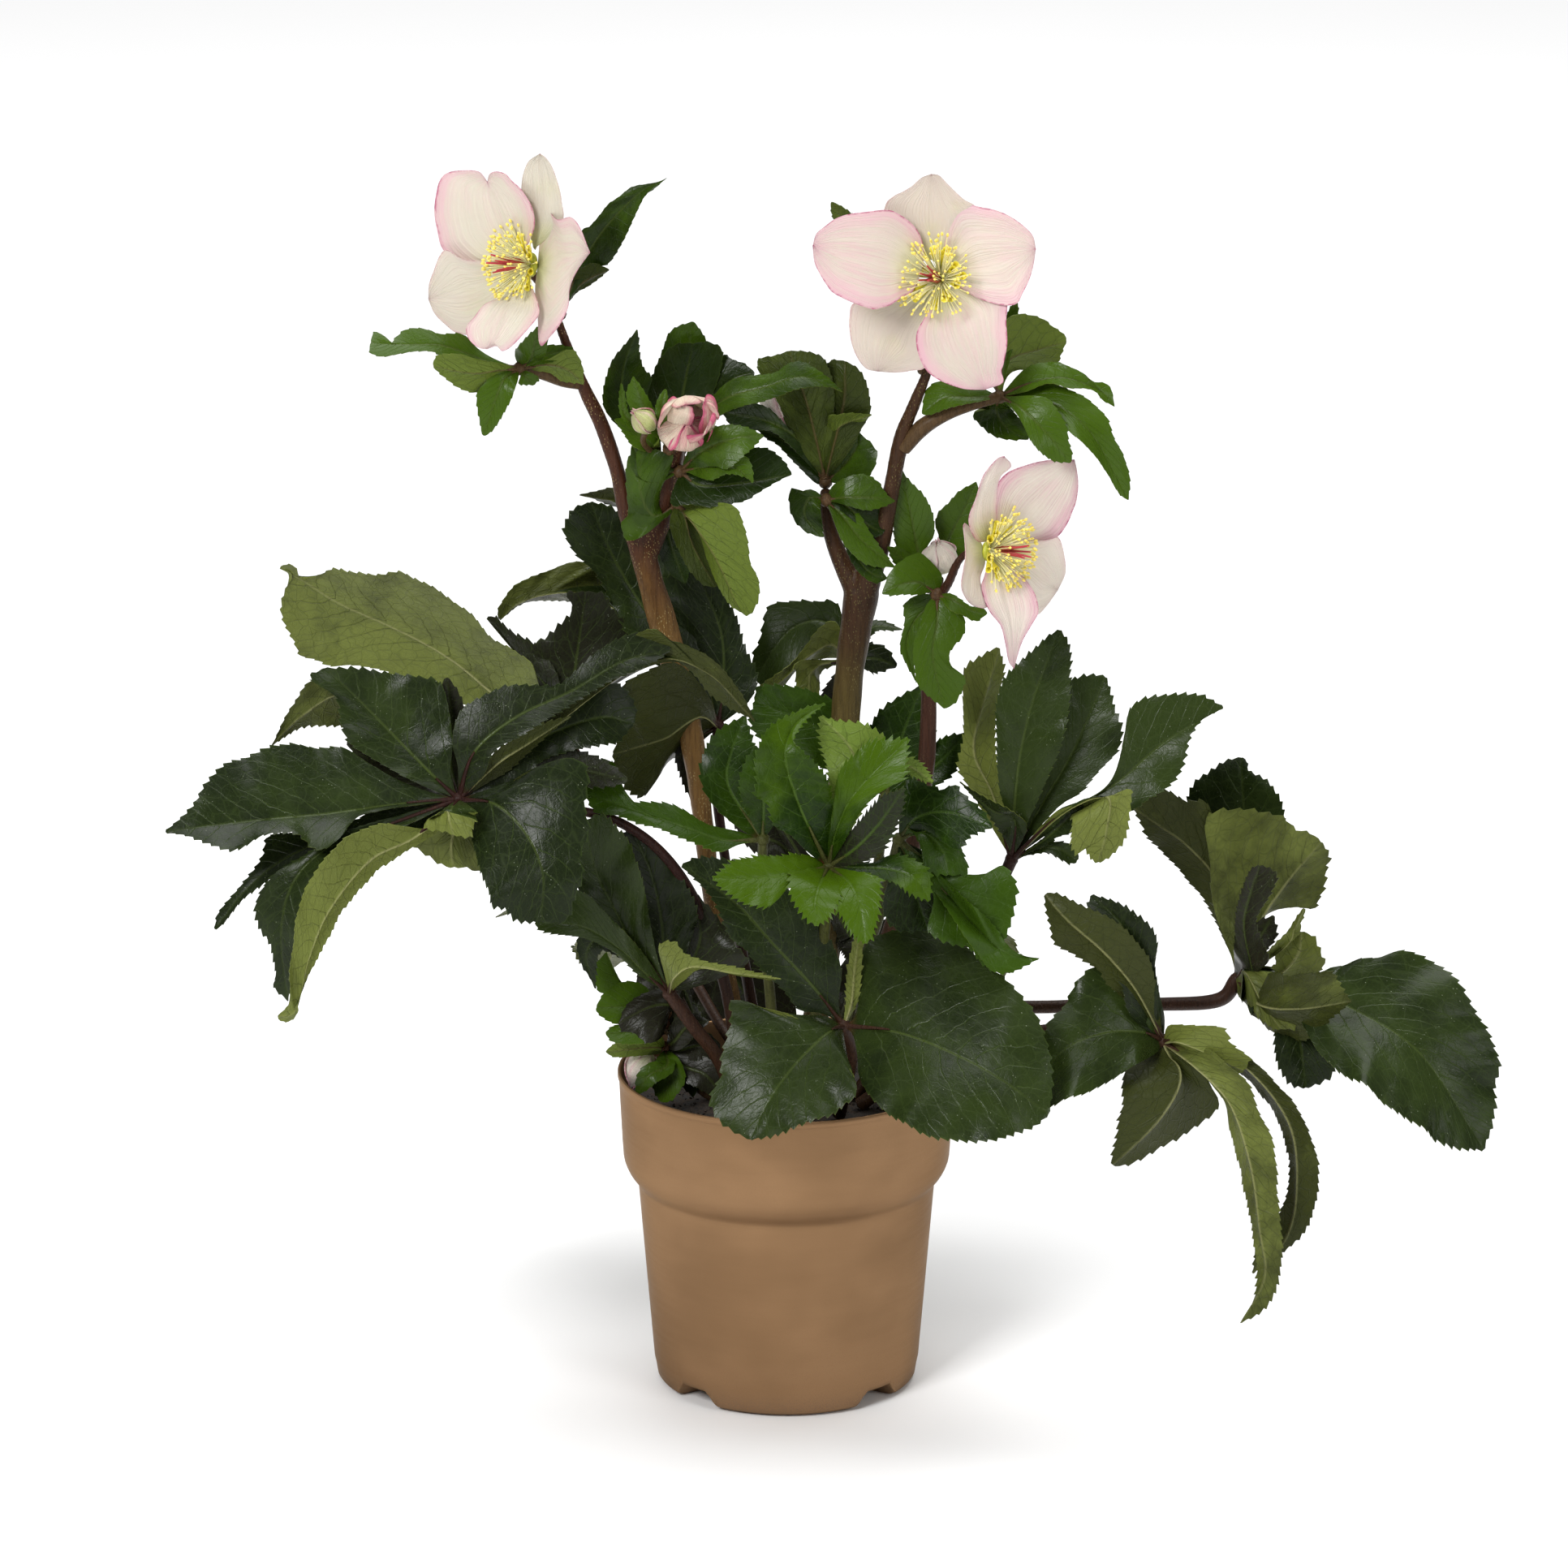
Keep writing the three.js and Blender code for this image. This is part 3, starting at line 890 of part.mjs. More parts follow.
function budSolid({ base, looks, length, radius, mouth, pedicel }, extra = 0) {
  const fat = radius + extra;
  const tall = length + extra;
  const depth = mouth > 2 ? 0.7 : 0.985; // of an open mouth's floor, or a closed tip's
  const profile = [[0, 0]];
  for (const s of [0.02, 0.14, 0.34, 0.55, 0.74, 0.9])
    profile.push([fat * Math.sin(Math.PI * Math.min(s + 0.1, 1) ** 0.92) ** 0.7, s * tall]);
  profile.push([mouth, tall], [mouth / 2, tall * depth], [0, tall * (depth - 0.01)]);
  const bud = turnedTo(solidOf(turned(profile, 12)), base, looks);
  return pedicel ? bud.add(stalk(...pedicel, { extra })) : bud;
}

// ------------------------------------------------------------------ assembly

// Each piece in turn is cut back by the ones before it, so that wherever two
// touch there is air of GAP between them.
const placed = [];

function overlaps(a, b) {
  return [0, 1, 2].every((i) => a.min[i] < b.max[i] && b.min[i] < a.max[i]);
}

function place(name, look, make) {
  let solid = make(0);
  const box = solid.boundingBox();
  for (const other of placed)
    if (overlaps(box, other.box)) solid = solid.subtract(other.grown);
  solid = smoothed(solid);
  const grown = make(GAP);
  placed.push({ name, look, solid, grown, box: grown.boundingBox() });
}

// The pot and soil keep their own clearances, so their cutters are themselves.
for (const [name, look, solid] of [
  ["pot", "potPlastic", potSolid()],
  ["soil", "soil", soilSolid()],
])
  placed.push({ name, look, solid, grown: solid, box: solid.boundingBox() });

for (const [name, parts] of Object.entries(stems))
  place(name, "stem", (extra) => stemSolid(parts, extra));
place("crown", "crown", () => crownSolid());
for (const [name, flower] of Object.entries(flowers))
  place(`centre_${name}`, "flowerCentre", () => flowerCentre(flower));
for (const [name, bud] of Object.entries(buds))
  place(name, "bud", (extra) => budSolid(bud, extra));
for (const [name, flower] of Object.entries(flowers))
  flower.sepals.forEach((sepal, i) =>
    place(`sepal_${name}_${i + 1}`, "sepal", (extra) =>
      bladeSolid(sepal, SEPAL_THICKNESS, extra),
    ),
  );
for (const [name, leaf] of Object.entries(leaves))
  place(name, leaf.look, (extra) => spray(leaf, extra));
for (const [name, bract] of Object.entries(bracts))
  place(name, "bract", (extra) => spray(bract, extra));

const plant = new THREE.Group();
plant.name = "hellebore_plant";
for (const { name, look, solid } of placed) {
  const mesh = new THREE.Mesh(
    geometryOf(solid),
    new THREE.MeshStandardMaterial(looks[look]),
  );
  mesh.name = name;
  plant.add(mesh);
}

export default plant;
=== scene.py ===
"""A hellebore in flower, growing in a bronze-coloured plastic pot.

Lengths are millimetres throughout, and become metres as a mesh is made. A place
on the plant is written (across, up, back): where an onlooker sees it, scaled as
it would be at the pot's axis, and how far it lies behind that axis.
"""

from __future__ import annotations

import logging
import math
from dataclasses import dataclass, field
from enum import Enum
from typing import Any, Mapping, Sequence, Union

import bmesh
import bpy
import numpy as np
from mathutils import Matrix, Vector


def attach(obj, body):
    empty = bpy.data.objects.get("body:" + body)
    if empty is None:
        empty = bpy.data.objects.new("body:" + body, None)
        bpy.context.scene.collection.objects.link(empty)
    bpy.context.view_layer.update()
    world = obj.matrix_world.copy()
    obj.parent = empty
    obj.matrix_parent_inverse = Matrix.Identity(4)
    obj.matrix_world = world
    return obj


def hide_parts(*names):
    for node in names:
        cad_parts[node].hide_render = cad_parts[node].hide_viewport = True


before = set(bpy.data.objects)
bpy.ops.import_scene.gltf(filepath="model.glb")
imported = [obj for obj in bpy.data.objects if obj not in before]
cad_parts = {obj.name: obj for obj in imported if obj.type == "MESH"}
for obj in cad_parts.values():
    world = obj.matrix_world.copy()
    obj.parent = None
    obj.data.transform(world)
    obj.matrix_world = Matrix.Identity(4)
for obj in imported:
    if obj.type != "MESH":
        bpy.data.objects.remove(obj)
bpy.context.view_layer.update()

LOG = logging.getLogger("hellebore")

Array = np.ndarray
Triple = tuple[float, float, float]
Colour = tuple[float, float, float]
Outline = tuple[tuple[float, ...], ...]

MM = 0.001
EYE_DISTANCE = 3000.0
EYE_HEIGHT = 1142.0
FULL_TURN = 2 * math.pi
GOLDEN_ANGLE = math.pi * (3 - math.sqrt(5))
SMALLEST_PART = 0.82

# How far the height of a bump map, at its full, stands out, in metres.
LEAF_RELIEF = 0.00032
UNDER_RELIEF = 0.00028
SEPAL_RELIEF = 0.00018
STEM_RELIEF = 0.00025
POT_RELIEF = 0.00006
SOIL_RELIEF = 0.0008
SMALL_RELIEF = 0.00012

# The pot and what fills it.
RIM_RADIUS = 65.0
RIM_HEIGHT = 125.0
SKIRT_RADIUS = 62.9
NECK_RADIUS = 57.3
NECK_HEIGHT = 80.8
HEEL_RADIUS = 51.3
HEEL_HEIGHT = 9.0
FOOT_RADIUS = 46.5
DRAIN_COUNT = 4
DRAIN_HEIGHT = 6.2
DRAIN_INNER = 31.0
DRAIN_HOLE = 4.0
DRAIN_TURN = math.radians(45)
SOIL_TOP = 114.0
SOIL_EDGE = 111.5


class Tone(Enum):
    """The ages of leaf that the plant carries, by their material slots."""

    OLD = "leaf_old"
    GREEN = "leaf_green"
    YOUNG = "leaf_young"
    BRACT = "bract"


def unit(v: Sequence[float] | Array) -> Array:
    """Returns a vector scaled to length one."""
    v = np.asarray(v, float)
    return v / max(float(np.linalg.norm(v)), 1e-9)


def seen(place: Sequence[float]) -> Array:
    """Turns a place into real coordinates.

    Args:
        place: (across, up, back) in millimetres.

    Returns:
        The point x, y, z in millimetres.
    """
    across, up, back = place
    k = (EYE_DISTANCE + back) / EYE_DISTANCE
    return np.array((across * k, back, EYE_HEIGHT + (up - EYE_HEIGHT) * k))


def foot(x: float, y: float) -> Triple:
    """Returns the place (across, up, back) of a foot on the soil at real x, y."""
    k = (EYE_DISTANCE + y) / EYE_DISTANCE
    return (x / k, EYE_HEIGHT + (SOIL_TOP + 0.9 - EYE_HEIGHT) / k, y)


def curve_at(points: Array, t: Array) -> Array:
    """Samples a smooth curve through points.

    Args:
        points: The points it passes, one a row.
        t: Where to sample, from 0 at the first point to 1 at the last.

    Returns:
        One row for each value of t.
    """
    last = len(points) - 1
    first_leg = 2 * points[0] - points[1]
    last_leg = 2 * points[-1] - points[-2]
    padded = np.vstack((first_leg, points, last_leg))
    i = np.clip(np.floor(t * last).astype(int), 0, last - 1)
    u = (t * last - i)[:, None]
    return (
        padded[i] * (-u / 2 + u**2 - u**3 / 2)
        + padded[i + 1] * (1 - 2.5 * u**2 + 1.5 * u**3)
        + padded[i + 2] * (u / 2 + 2 * u**2 - 1.5 * u**3)
        + padded[i + 3] * (-(u**2) / 2 + u**3 / 2)
    )


def rows_unit(v: Array) -> Array:
    """Returns each row scaled to length one."""
    return v / np.maximum(np.linalg.norm(v, axis=1, keepdims=True), 1e-9)


def smoothstep(low: float, high: float, x: Array) -> Array:
    """Returns x eased from 0 at low to 1 at high."""
    s = np.clip((x - low) / (high - low), 0, 1)
    return s * s * (3 - 2 * s)


@dataclass(frozen=True)
class Stalk:
    """A round stalk: the places it passes and its radius at each."""

    points: tuple[Triple, ...]
    radii: tuple[float, ...]


@dataclass(frozen=True)
class Blade:
    """A blade of leaf, bract or sepal.

    Attributes:
        rib: Places along the midrib, base first.
        width: Its widest, from edge to edge, where its kind's outline serves.
        face: The way the upper side looks, or the ways at base and tip.
        skew: How much wider the one half is than the other.
        fold: How much the halves rise from the midrib.
        curl: How much the edges turn down again.
        swell: Powers that shape the outline at base and tip.
        tip: The slope that the outline may have at the tip; small is pointed.
        wave: How wavy its edge is, as a share of its kind's.
        tint: How much lighter than its kind it is, or darker where negative, partly its own tone and partly
            painted light and shade, set by how brightly the blade is lit; a sepal's pink.
        lift: How far it is raised along its face.
        droop: How far its tip hangs, as a share of its length.
        edges: The two outlines between base and tip, as places (across, up) or (across, up, back).
    """

    rib: tuple[Triple, ...]
    width: float
    face: Union[Triple, tuple[Triple, Triple]]
    skew: float = 0.0
    fold: float = 0.12
    curl: float = 0.1
    swell: tuple[float, float] = (0.95, 0.62)
    tip: float = 0.95
    wave: float = 1.0
    tint: float = 0.0
    lift: float = 0.0
    droop: float = 0.03
    edges: tuple[Outline, ...] = ()


def cut(rib: tuple[Triple, ...], face: Any, one: Outline, other: Outline, **changes: Any) -> Blade:
    """Returns a blade whose two edges pass given places.

    Args:
        rib: Places along the midrib.
        face: The way the upper side looks, or the ways at base and tip.
        one: Places along the one edge, without base and tip.
        other: Places along the other edge.
        changes: Other fields of the blade.

    Returns:
        The blade.
    """
    return Blade(rib, 0, face, edges=(one, other), **{"droop": 0.0, **changes})


@dataclass(frozen=True)
class Spray:
    """Blades that meet at one hub, and the stalk that carries them."""

    hub: Triple
    blades: tuple[Blade, ...]
    stalk: Union[Stalk, None] = None
    tone: Tone = Tone.BRACT


@dataclass(frozen=True)
class Flower:
    """A flower: its middle, the way it looks, its ground colour, which is lighter or darker per flower as
    painted light and shade, and its five sepals.
    """

    middle: Triple
    looks: Triple
    # The sepals' ground colour, lighter for the flower that lies in shade and darker for those that face the
    # lights: painted light and shade.
    cream: Triple
    sepals: tuple[Blade, ...]


TO_FRONT = (0, -0.85, 0.5)
TO_FRONT_LEFT = (-0.35, -0.8, 0.5)
TO_FRONT_RIGHT = (0.35, -0.8, 0.5)
TO_SKY = (0, -0.35, 0.95)
TO_BACK = (0, 0.85, 0.4)
TO_BACK_RIGHT = (0.45, 0.8, 0.4)

LEAVES: dict[str, Spray] = {
    "leaf_left_front": Spray(
        tone=Tone.OLD, hub=(-125, 233, -55),
        stalk=Stalk(((-125, 233, -55), (-95, 231, -44), (-62, 223, -36), (-39, 200, -28), (-24, 160, -16),
                     foot(-17, -9)),
                    (2, 1.9, 1.9, 2, 2.2, 2.6)),
        blades=(
            cut(((-145, 232, -64), (-166, 230, -70), (-192, 227, -78), (-216, 224, -83), (-237, 220, -84)),
                (-0.2, -0.75, 0.65),
                ((-140, 237), (-154, 244), (-168, 252.5), (-182, 254), (-191, 254.5), (-202, 251.5),
                 (-213, 247), (-221, 239), (-226, 231)),
                ((-150, 229), (-163, 226), (-171, 216), (-178, 212), (-188, 218.5), (-200, 217.5),
                 (-208, 213.5), (-213, 211.7), (-220, 214.5), (-228, 218)), fold=0.25, wave=0.6),
            cut(((-142, 219, -68), (-160, 210, -80), (-176, 190, -92), (-184, 170, -99), (-189, 150, -98),
                 (-195.5, 146, -96)), (-0.4, 0.75, 0.5),
                ((-136, 222), (-145, 222), (-154, 223), (-164, 219), (-173, 212), (-182, 198),
                 (-186.5, 186.5), (-188, 172), (-190, 160), (-190.5, 151)),
                ((-133, 220.5), (-149, 210.3), (-163, 198.3), (-173, 184), (-182, 166), (-187.6, 154),
                 (-187.3, 149), (-190, 145), (-194, 144.3)), fold=0.1, wave=0.3, tint=0.8),
            cut(((-160, 220, -74), (-178, 212, -80), (-190, 198, -84), (-194, 178, -86),
                 (-191.5, 152, -84)), TO_FRONT_LEFT,
                ((-166, 221), (-186, 210), (-197, 202), (-203, 191.6), (-202, 181), (-198, 175),
                 (-196, 163), (-197, 158)),
                ((-160, 214), (-174, 206), (-182, 192), (-187, 178), (-189, 163)), wave=0.5),
            cut(((-160, 222, -62), (-174, 218, -64), (-190, 211, -67), (-205, 199, -70), (-219, 181, -72)),
                (-0.3, -0.5, 0.8),
                ((-165, 224), (-180, 220), (-196.5, 218.5), (-200, 210), (-209, 198), (-217, 188)),
                ((-160, 218), (-176, 210.5), (-190, 206.7), (-199, 200), (-209, 192), (-215.7, 183.2)),
                wave=0.4, tint=-0.3),
            cut(((-136, 244, -56), (-148, 257, -52), (-162, 272, -48), (-175, 285, -46)),
                (-0.2, -0.8, 0.55),
                ((-142, 240), (-156, 248), (-166, 255), (-169.5, 263), (-171, 273), (-181, 281)),
                ((-128, 243), (-127, 256), (-128, 268), (-131, 279), (-139, 281.5), (-150, 283),
                 (-162, 284.8)), fold=0.2, wave=0.7),
            cut(((-152, 262, -42), (-168, 276, -38), (-183, 268, -38), (-196, 254.5, -42)), TO_BACK,
                ((-150, 268), (-165, 284), (-180.5, 281), (-186, 272.5), (-191, 265)),
                ((-152, 256), (-168, 261.5), (-181.5, 261.5), (-189.5, 258.5)), tint=-0.1),
            cut(((-119, 252, -58), (-103, 266, -54), (-82, 276, -47), (-62, 288, -43), (-44, 292, -38)),
                (-0.2, -0.85, 0.45),
                ((-125, 246), (-127, 256), (-124, 268), (-116.7, 273.3), (-106.5, 278), (-94, 278),
                 (-86, 279), (-77, 287), (-70, 293), (-60, 298.5), (-51, 299), (-46, 296.5)),
                ((-115, 243), (-111, 252), (-99, 259), (-88, 266.5), (-76, 274), (-66, 280), (-57, 284),
                 (-49, 288)), fold=0.15, wave=0.3, tint=-0.5),
            cut(((-64, 287, -40), (-46, 292, -36), (-28, 283, -33), (-12, 264, -30)), (-0.2, 0.6, 0.7),
                ((-60, 296), (-44, 296), (-36, 292.5), (-30, 289.5), (-24.7, 285), (-20, 279), (-16, 273)),
                ((-60, 284), (-46, 289), (-36, 284), (-29, 275), (-22, 269.5), (-15, 266)), wave=0.3,
                tint=-0.4),
            cut(((-108, 247, -50), (-90, 259, -42), (-70, 266, -38), (-58, 263, -34)), (0.2, -0.8, 0.6),
                ((-111, 250), (-98, 264), (-82, 274), (-66, 278), (-58, 270)),
                ((-104, 240), (-90, 250), (-75, 254), (-64, 256)), tint=-0.4),
            cut(((-110, 248, -56), (-98, 256, -54), (-82, 266, -50)), (0.1, 0.8, 0.6),
                ((-113, 250), (-103, 258), (-92, 264)),
                ((-106, 244), (-98, 251), (-89, 260)), wave=0.3, tint=-0.6),
            cut(((-111, 231, -66), (-99, 219, -76), (-93, 203, -82), (-94, 184, -84)), (0.2, -0.95, 0.2),
                ((-119.5, 226), (-120, 215), (-117, 204), (-114, 196), (-112.8, 190.5), (-108, 189.5),
                 (-104, 185), (-99, 184)),
                ((-106, 240), (-97.5, 245.3), (-89, 248), (-82, 249.4), (-77, 247), (-75.5, 241),
                 (-77, 230), (-75, 221), (-79, 211), (-78, 203), (-81, 194), (-83, 186), (-88, 183.5)),
                fold=0.08, wave=0.5, tint=-0.4),
            cut(((-127, 222, -54), (-128, 214, -54), (-127, 206, -54)), TO_BACK,
                ((-133, 222), (-142, 215), (-137, 210.3), (-131, 206.7)),
                ((-119, 222), (-118, 212), (-117, 204), (-122, 205.5)), tint=-0.1),
            cut(((-128, 230, -68), (-128, 225, -72), (-127, 219, -74)), (0, 0.7, 0.7),
                ((-119, 229), (-118, 227), (-120, 222), (-121, 218)),
                ((-131, 229), (-137, 225), (-138, 221.5), (-131, 220.5)), wave=0.3, tint=0.6),
            # Small dark blades fill the gaps between the leaves; their dark tint is partly painted shade.
            Blade(((-128, 248, -44), (-127, 262, -40), (-129, 281, -38)), 13,
                  TO_FRONT, tint=-0.9, wave=0.3),
            Blade(((-136, 238, -46), (-152, 249, -42), (-167, 256, -42)), 13,
                  TO_FRONT, tint=-0.9, wave=0.3),
            Blade(((-136, 228, -46), (-152, 225, -50), (-166, 218, -54)), 14,
                  TO_FRONT, tint=-0.4, wave=0.3),
            Blade(((-104, 240, -50), (-86, 246, -44), (-60, 241, -40)), 15, TO_FRONT, tint=-0.8, wave=0.3),
        ),
    ),
    "leaf_left_back": Spray(
        tone=Tone.OLD, hub=(-86, 262, 12),
        stalk=Stalk(((-86, 262, 12), (-74, 238, 10), (-62, 200, 6), (-44, 158, 4), foot(-24, 3)),
                    (2, 1.9, 2, 2.2, 2.5)),
        blades=(
            cut(((-104, 268.8, 20), (-124, 285.3, 28), (-137, 293.8, 33), (-151, 300.8, 38),
                 (-170, 309.8, 43), (-184, 319.8, 44), (-191.5, 324.3, 43)), (0.1, 0.8, 0.5),
                ((-92, 274.8), (-94, 286.8), (-103, 294.8), (-111, 301.8), (-119, 309.8), (-127, 316.8),
                 (-135, 323.3), (-144, 325.8), (-153, 325.3), (-168, 326.3), (-175, 322.8), (-183, 320.8),
                 (-185, 325.3), (-189, 326.3)),
                ((-100, 262.8), (-118, 270.8), (-139, 280.8), (-146, 284.3), (-156, 287.8), (-167, 289.3),
                 (-175, 290.3), (-182, 291.8), (-185, 296.8), (-188.5, 303.8), (-190.5, 310.8),
                 (-189, 316.8), (-186.5, 320.8), (-188, 323.3)), fold=-0.22, wave=0.5, tint=0.3),
            cut(((-90, 276, 16), (-100, 288, 22), (-113.5, 304.5, 24)), (-0.3, -0.4, 0.85),
                ((-86, 280), (-91, 290), (-96, 295.5), (-102.5, 298.5), (-107, 302.5), (-110, 305.5)),
                ((-93, 274), (-99, 286), (-107.7, 298.5)), tint=-0.8, wave=0.3),
            cut(((-82, 276, 20), (-79, 295, 24), (-76, 315, 26)), (0, -0.5, 0.85),
                ((-89, 272), (-97, 285), (-96, 294), (-91, 297), (-86, 302), (-82, 306), (-81, 310),
                 (-83.5, 314.5)),
                ((-75, 276), (-62, 290), (-60, 300), (-66, 308), (-69.5, 314)), tint=-0.8, wave=0.3),
        ),
    ),
    "leaf_centre_dark": Spray(
        tone=Tone.OLD, hub=(-26, 262, 20),
        stalk=Stalk(((-26, 262, 20), (-27, 240, 16), (-22, 200, 12), (-14, 155, 12), foot(-9, 15)),
                    (2.2, 2, 2, 2.2, 2.5)),
        blades=(
            cut(((-42, 292, 24), (-56, 312, 27), (-66, 330, 28), (-74, 350, 26)), TO_FRONT,
                ((-52, 290), (-61, 299), (-65, 308), (-69, 317), (-74, 324), (-80, 330), (-84, 338),
                 (-82.5, 343), (-79.5, 348)),
                ((-34, 296), (-38, 312), (-44, 326), (-54, 338), (-62, 345), (-67, 348.5)), fold=0.05,
                tint=-0.1),
            cut(((-24, 280, 24), (-25, 300, 26), (-34, 323, 28)), TO_FRONT,
                ((-34, 284), (-44, 300), (-46, 318), (-40, 323)),
                ((-14, 272), (-11, 282), (-16, 294), (-18, 303), (-21, 309), (-26, 318), (-31, 323)),
                fold=0.05, tint=-0.3),
            cut(((-52, 302, 42), (-74, 318, 44), (-90, 317.5, 44), (-102, 312, 43), (-108.5, 304, 42)),
                (0, 0.6, 0.8),
                ((-58, 316), (-75, 324.5), (-88.7, 322), (-100, 318.4), (-105, 314), (-109, 307.5)),
                ((-56, 296), (-72, 310), (-82, 312.5), (-95.7, 312.5), (-101.8, 310), (-105.7, 306.5)),
                wave=0.2, tint=-0.1),
            cut(((-34, 268, 4), (-48, 259, -6), (-66, 251, -10)), (-0.2, 0.85, 0.4),
                ((-29, 273), (-38, 285), (-46, 289), (-56, 285), (-64, 280), (-66, 272), (-60, 266),
                 (-64, 259)),
                ((-32, 259.5), (-38, 252), (-44, 247), (-48, 240), (-53, 232.5), (-59, 235), (-63, 240),
                 (-65, 246)), fold=0.05, wave=0.3, tint=-0.7),
            cut(((-40, 300, 32), (-50, 330, 36), (-62, 350, 38), (-78, 353, 38)), (0, 0.6, 0.7),
                ((-46, 305), (-56, 335), (-62, 354), (-66, 356.2), (-71, 354.8)),
                ((-36, 305), (-46, 328), (-60, 345), (-68.6, 349.3), (-73.8, 351.8)), wave=0.2, tint=-0.2),
            # Small dark blades fill the gaps between the leaves; their dark tint is partly painted shade.
            Blade(((-14, 224, 14), (-2, 215, 13), (10, 204, 12)), 15, TO_FRONT, tint=-1),
            Blade(((-38, 254, 12), (-36, 243, 12), (-33, 230, 12)), 9, TO_FRONT, tint=-1),
            Blade(((20, 186, 6), (24, 177, 6), (27, 166, 6)), 10, TO_FRONT, tint=-1),
        ),
    ),
    "leaf_young_front": Spray(
        tone=Tone.YOUNG, hub=(16, 206, -60),
        stalk=Stalk(((16, 206, -60), (15, 185, -50), (12, 155, -34), foot(8, -21)), (2.2, 2, 2.1, 2.5)),
        blades=(
            cut(((9, 222, -67), (3, 238, -68), (0, 252, -66), (4, 263.5, -57), (14.8, 271, -50)),
                (0.2, -0.9, 0.4),
                ((8, 212), (1, 219), (-6, 223), (-8, 231), (-13.5, 235), (-12, 240), (-12.8, 247),
                 (-11, 254), (-9, 258.5), (-3.5, 264), (3, 267.3), (8, 269.7)),
                ((17, 212), (19, 225), (17.5, 234), (15.5, 241), (11.5, 246.5), (6.5, 251), (2.5, 255.5),
                 (5, 261), (9, 266)), fold=0.3, wave=0.4, tint=-0.3),
            cut(((19, 221, -68), (27, 237, -68), (46.3, 257, -62)), TO_FRONT,
                ((16, 216), (18, 232), (20, 244), (26, 251), (32, 256), (40, 257)),
                ((22, 216), (28.5, 228), (34, 234), (40, 238), (45, 241), (46, 250)), fold=0.25, wave=0.4,
                tint=-0.2),
            cut(((23, 232, -52), (26, 245, -50), (24, 255, -48), (13, 266, -46)), TO_BACK,
                ((16, 240), (14, 252), (12.8, 259)),
                ((34, 246), (38, 256), (30, 262), (20, 263.8)), wave=0.3, tint=0.5),
            Blade(((30, 235, -53), (44, 247, -53), (56, 241, -53)), 8, TO_BACK, tint=0.3, wave=0.3),
            cut(((27, 214, -68), (36, 224, -70), (44.7, 237.5, -72)), TO_FRONT_RIGHT,
                ((21, 216), (29, 226), (36, 234), (41, 236)),
                ((24, 206.5), (32, 208.8), (36.5, 212), (40.5, 218.5), (43.5, 226), (45, 232)), fold=0.2,
                wave=0.3, tint=-0.9),
            cut(((4, 204, -76), (-10, 202, -84), (-28, 201.5, -92)), TO_FRONT_LEFT,
                ((8, 211), (-4, 211), (-9, 210.7), (-17, 210), (-23, 206.5)),
                ((6, 198), (1, 197.5), (-3, 192.7), (-8, 189.3), (-14, 190.3), (-19, 192.6), (-24.5, 197)),
                wave=0.4, tint=0.3),
            cut(((13, 200, -80), (11, 192, -88), (11.6, 182.5, -94)), TO_FRONT,
                ((3, 206), (1, 197), (3, 192), (5.5, 188), (8, 184.7)),
                ((20, 203), (21, 194), (18, 188), (15, 184.8)), wave=0.3, tint=0.4),
            cut(((24, 200, -80), (28, 190, -89), (30, 175.5, -96)), TO_FRONT,
                ((14, 203), (18, 190), (21, 186), (23.3, 181.4), (26.5, 177.5)),
                ((34, 203), (36, 199), (35.8, 190), (34, 181.5), (32.8, 177.5)), wave=0.3, tint=0.5),
            cut(((28, 206, -64), (41, 205, -67), (50, 201, -70), (54.7, 192.5, -70)), (0.2, -0.6, 0.75),
                ((26, 208), (33, 207.7), (38, 210.4), (44.5, 210.6), (50, 208.3), (54.3, 204), (55.2, 198)),
                ((26, 203), (35, 201.5), (41, 199.8), (46.5, 196), (51, 193.6)), wave=0.3, tint=-0.5),
        ),
    ),
    "leaf_front_low": Spray(
        tone=Tone.OLD, hub=(22, 142, -48),
        stalk=Stalk(((22, 142, -48), (25, 130, -40), foot(20, -26)), (2.4, 2.4, 2.7)),
        blades=(
            cut(((44, 140, -66), (66, 131, -80), (84, 120, -88), (101, 106, -92)), (0.1, -0.8, 0.6),
                ((26, 145), (27.5, 152), (27, 160), (28, 170), (32, 178), (38, 181), (50, 181), (63, 178),
                 (73, 171), (82, 163), (91, 152.5), (97, 145), (101, 132), (102.5, 119)),
                ((26, 137), (28, 121), (33, 112.5), (40, 106.5), (50, 100), (58, 97.2), (68, 96.3),
                 (80, 95.5), (89, 99), (96, 101.5)), fold=0.06, curl=0.1, wave=0.7, tint=0.2),
            cut(((16, 140, -66), (4, 128, -76), (-7, 112, -84), (-14, 95.8, -88)), (-0.1, -0.8, 0.6),
                ((15, 146), (4, 147), (-7, 150), (-15, 154), (-22, 153.5), (-21, 146), (-23.5, 137),
                 (-25.5, 130), (-25.5, 123), (-29, 117), (-30, 112), (-27, 105), (-21, 99.5)),
                ((22, 138), (24, 128), (27, 118), (26.5, 112), (22, 110), (17, 105.5), (8, 102.5), (0, 99),
                 (-7, 97)), fold=0.06, curl=0.1, wave=0.7, tint=0.3),
            cut(((10, 158, -50), (-6, 176, -49), (-20, 192, -46), (-40, 206.5, -42)), (-0.2, -0.85, 0.45),
                ((14, 147), (5, 148.5), (-1, 156), (-11, 166), (-15, 172), (-21, 177), (-27.5, 191.5),
                 (-33, 199), (-39, 205)),
                ((20, 152), (21, 166), (14, 182), (2, 196), (-12, 206), (-26, 209.5), (-35, 209.5)),
                fold=0.1, wave=0.4, tint=-0.1),
            Blade(((25, 152, -46), (26, 164, -44), (28, 181, -42)), 6, TO_BACK, tint=0.4),
        ),
    ),
